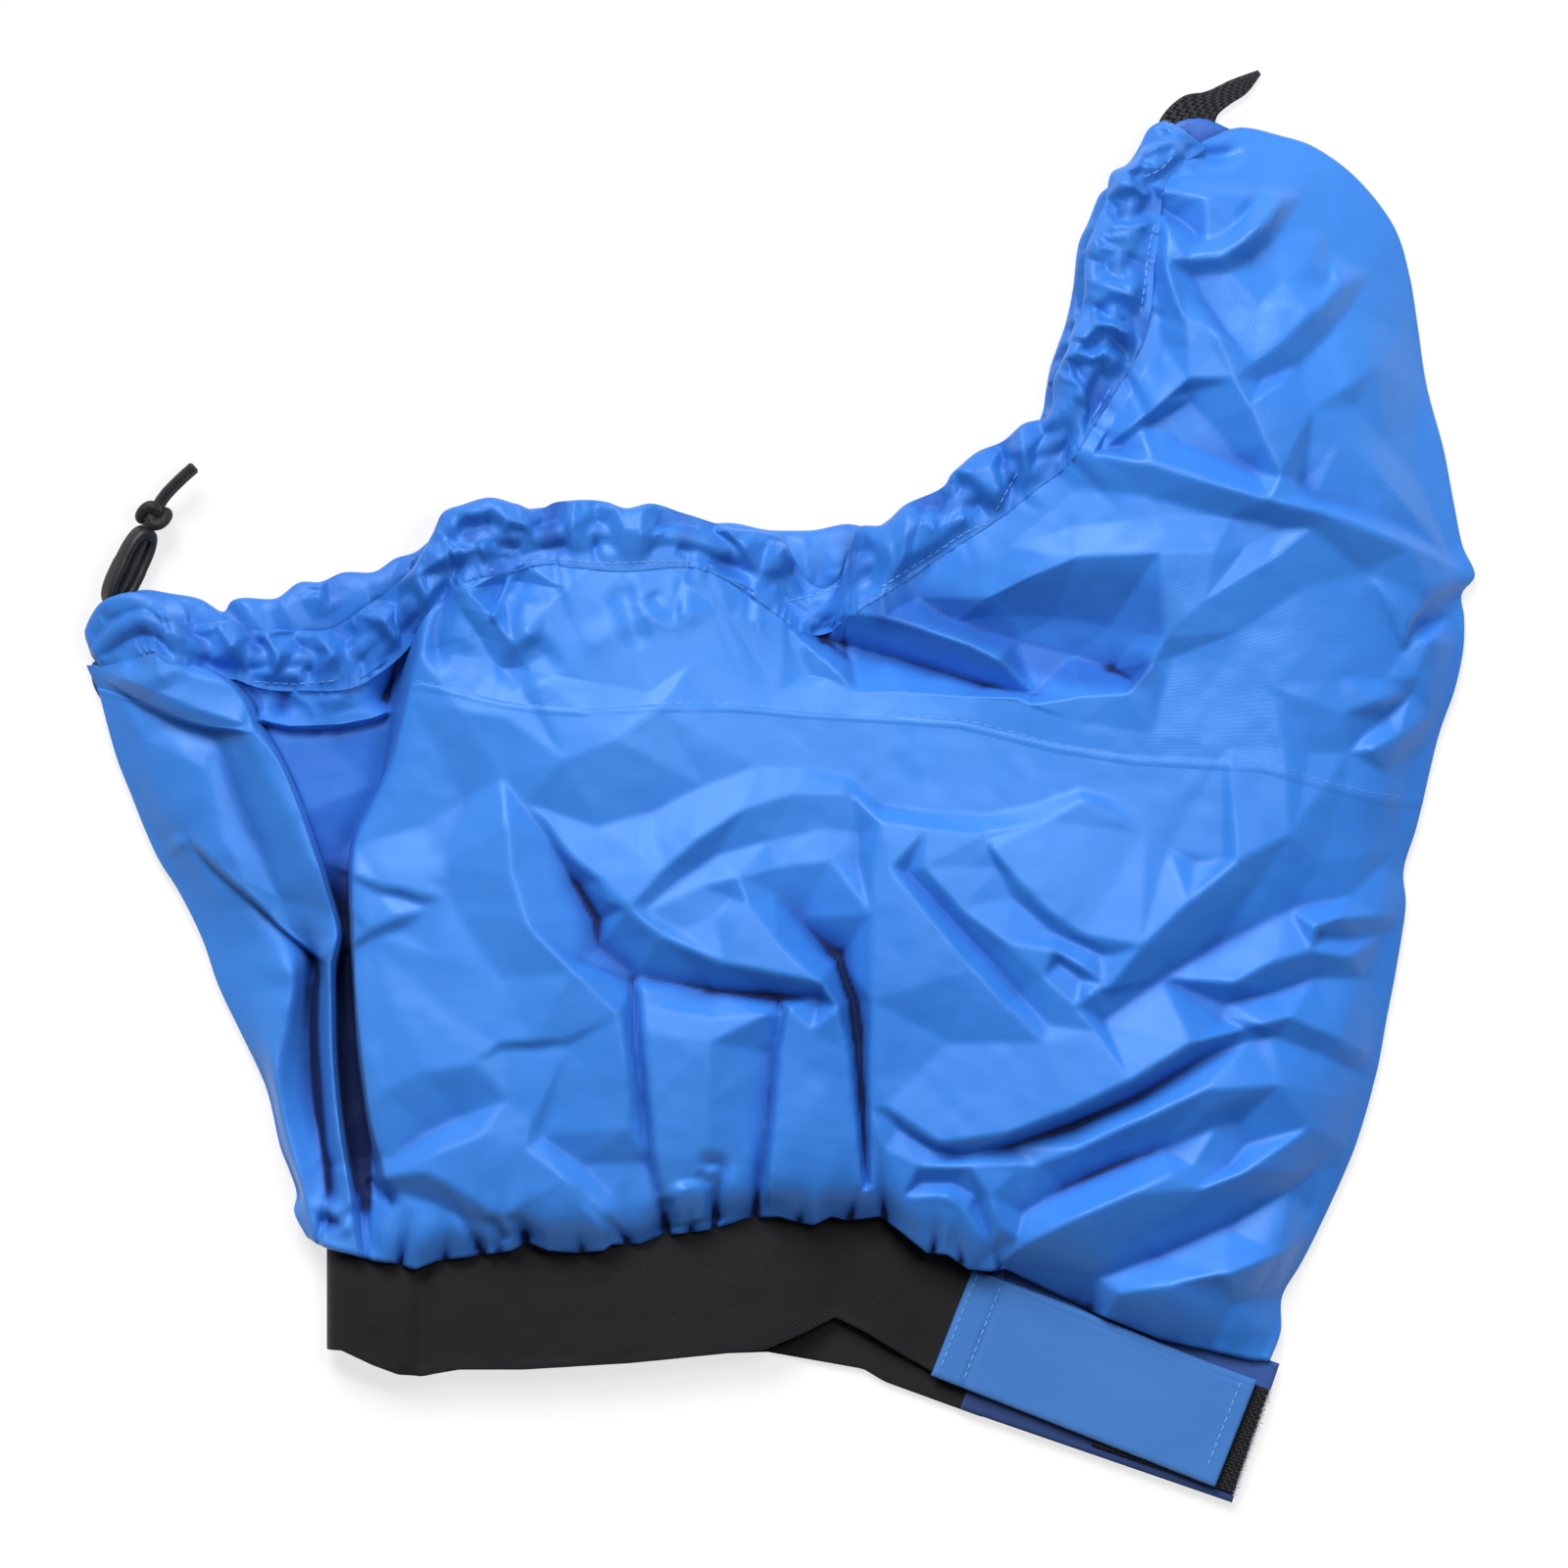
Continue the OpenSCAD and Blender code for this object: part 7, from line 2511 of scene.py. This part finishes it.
        def extreme(points: np.ndarray, x: float, y: float) -> np.ndarray:
            """The image place that lies farthest the way of x and y."""
            return points[np.argmax(points @ np.array([x, y]))]

        every = image(*self.pieces)
        front = image("tunnel_front_cloth", "deck_front_cloth", "hem_front_gathered",
                      "hem_back_gathered")
        deck = image("deck_front_cloth")
        tunnel = image("tunnel_front_cloth")
        knot = image("stopper_knot_cord")
        tab = image("closing_tab")
        band = image("waistband_neoprene")
        body = tunnel[(tunnel[:, 0] > 350) & (tunnel[:, 0] < 420)]
        spots = {
            "stern_tip": extreme(front, -1, 0),
            "knot_middle": (knot.min(0) + knot.max(0)) / 2,
            "cord_cut_end": extreme(image("cord_end_braid"), 0.3, -1),
            "strap_tip": extreme(image("grab_strap_webbing"), 0.5, -1),
            "bow_fold_tip": extreme(deck, 1, 0),
            "body_left_corner": body[np.argmin(np.abs(body - IMAGE_POINTS["body_left_corner"]).sum(1))],
            "stern_flap_tip": tunnel[np.argmin(np.abs(tunnel - IMAGE_POINTS["stern_flap_tip"]).sum(1))],
            "band_low_left": extreme(band, -1, 0.6),
            "tab_top_left": extreme(tab, -0.5, -1),
            "tab_top_right": extreme(tab, 1, -0.6),
            "tab_low_right": extreme(tab, 0.45, 1),
            "tab_low_left": extreme(tab, -1, 0.3),
        }
        table = {name: [round(float(v), 1) for v in spots[name] - IMAGE_POINTS[name]]
                 for name in IMAGE_POINTS}
        table["left_x"] = round(float(every[:, 0].min() - LEFT_X), 1)
        table["right_x"] = round(float(every[:, 0].max() - RIGHT_X), 1)
        table["top_y"] = round(float(every[:, 1].min() - TOP_Y), 1)
        table["bottom_y"] = round(float(every[:, 1].max() - BOTTOM_Y), 1)
        log.info("image points: %s", table)


def main() -> None:
    """Build the studio and every sub-assembly in order."""
    logging.basicConfig(level=logging.INFO, format="%(name)s: %(message)s")
    make_groups()
    skirt = SpraySkirt()
    skirt.camera.build()
    skirt.build_cords()
    skirt.build_cloth()
    skirt.build_closing()
    skirt.build_strap()
    bpy.context.view_layer.update()
    skirt.build_stitches()
    Studio().build()
    skirt.write_points()


if __name__ == "__main__":
    main()
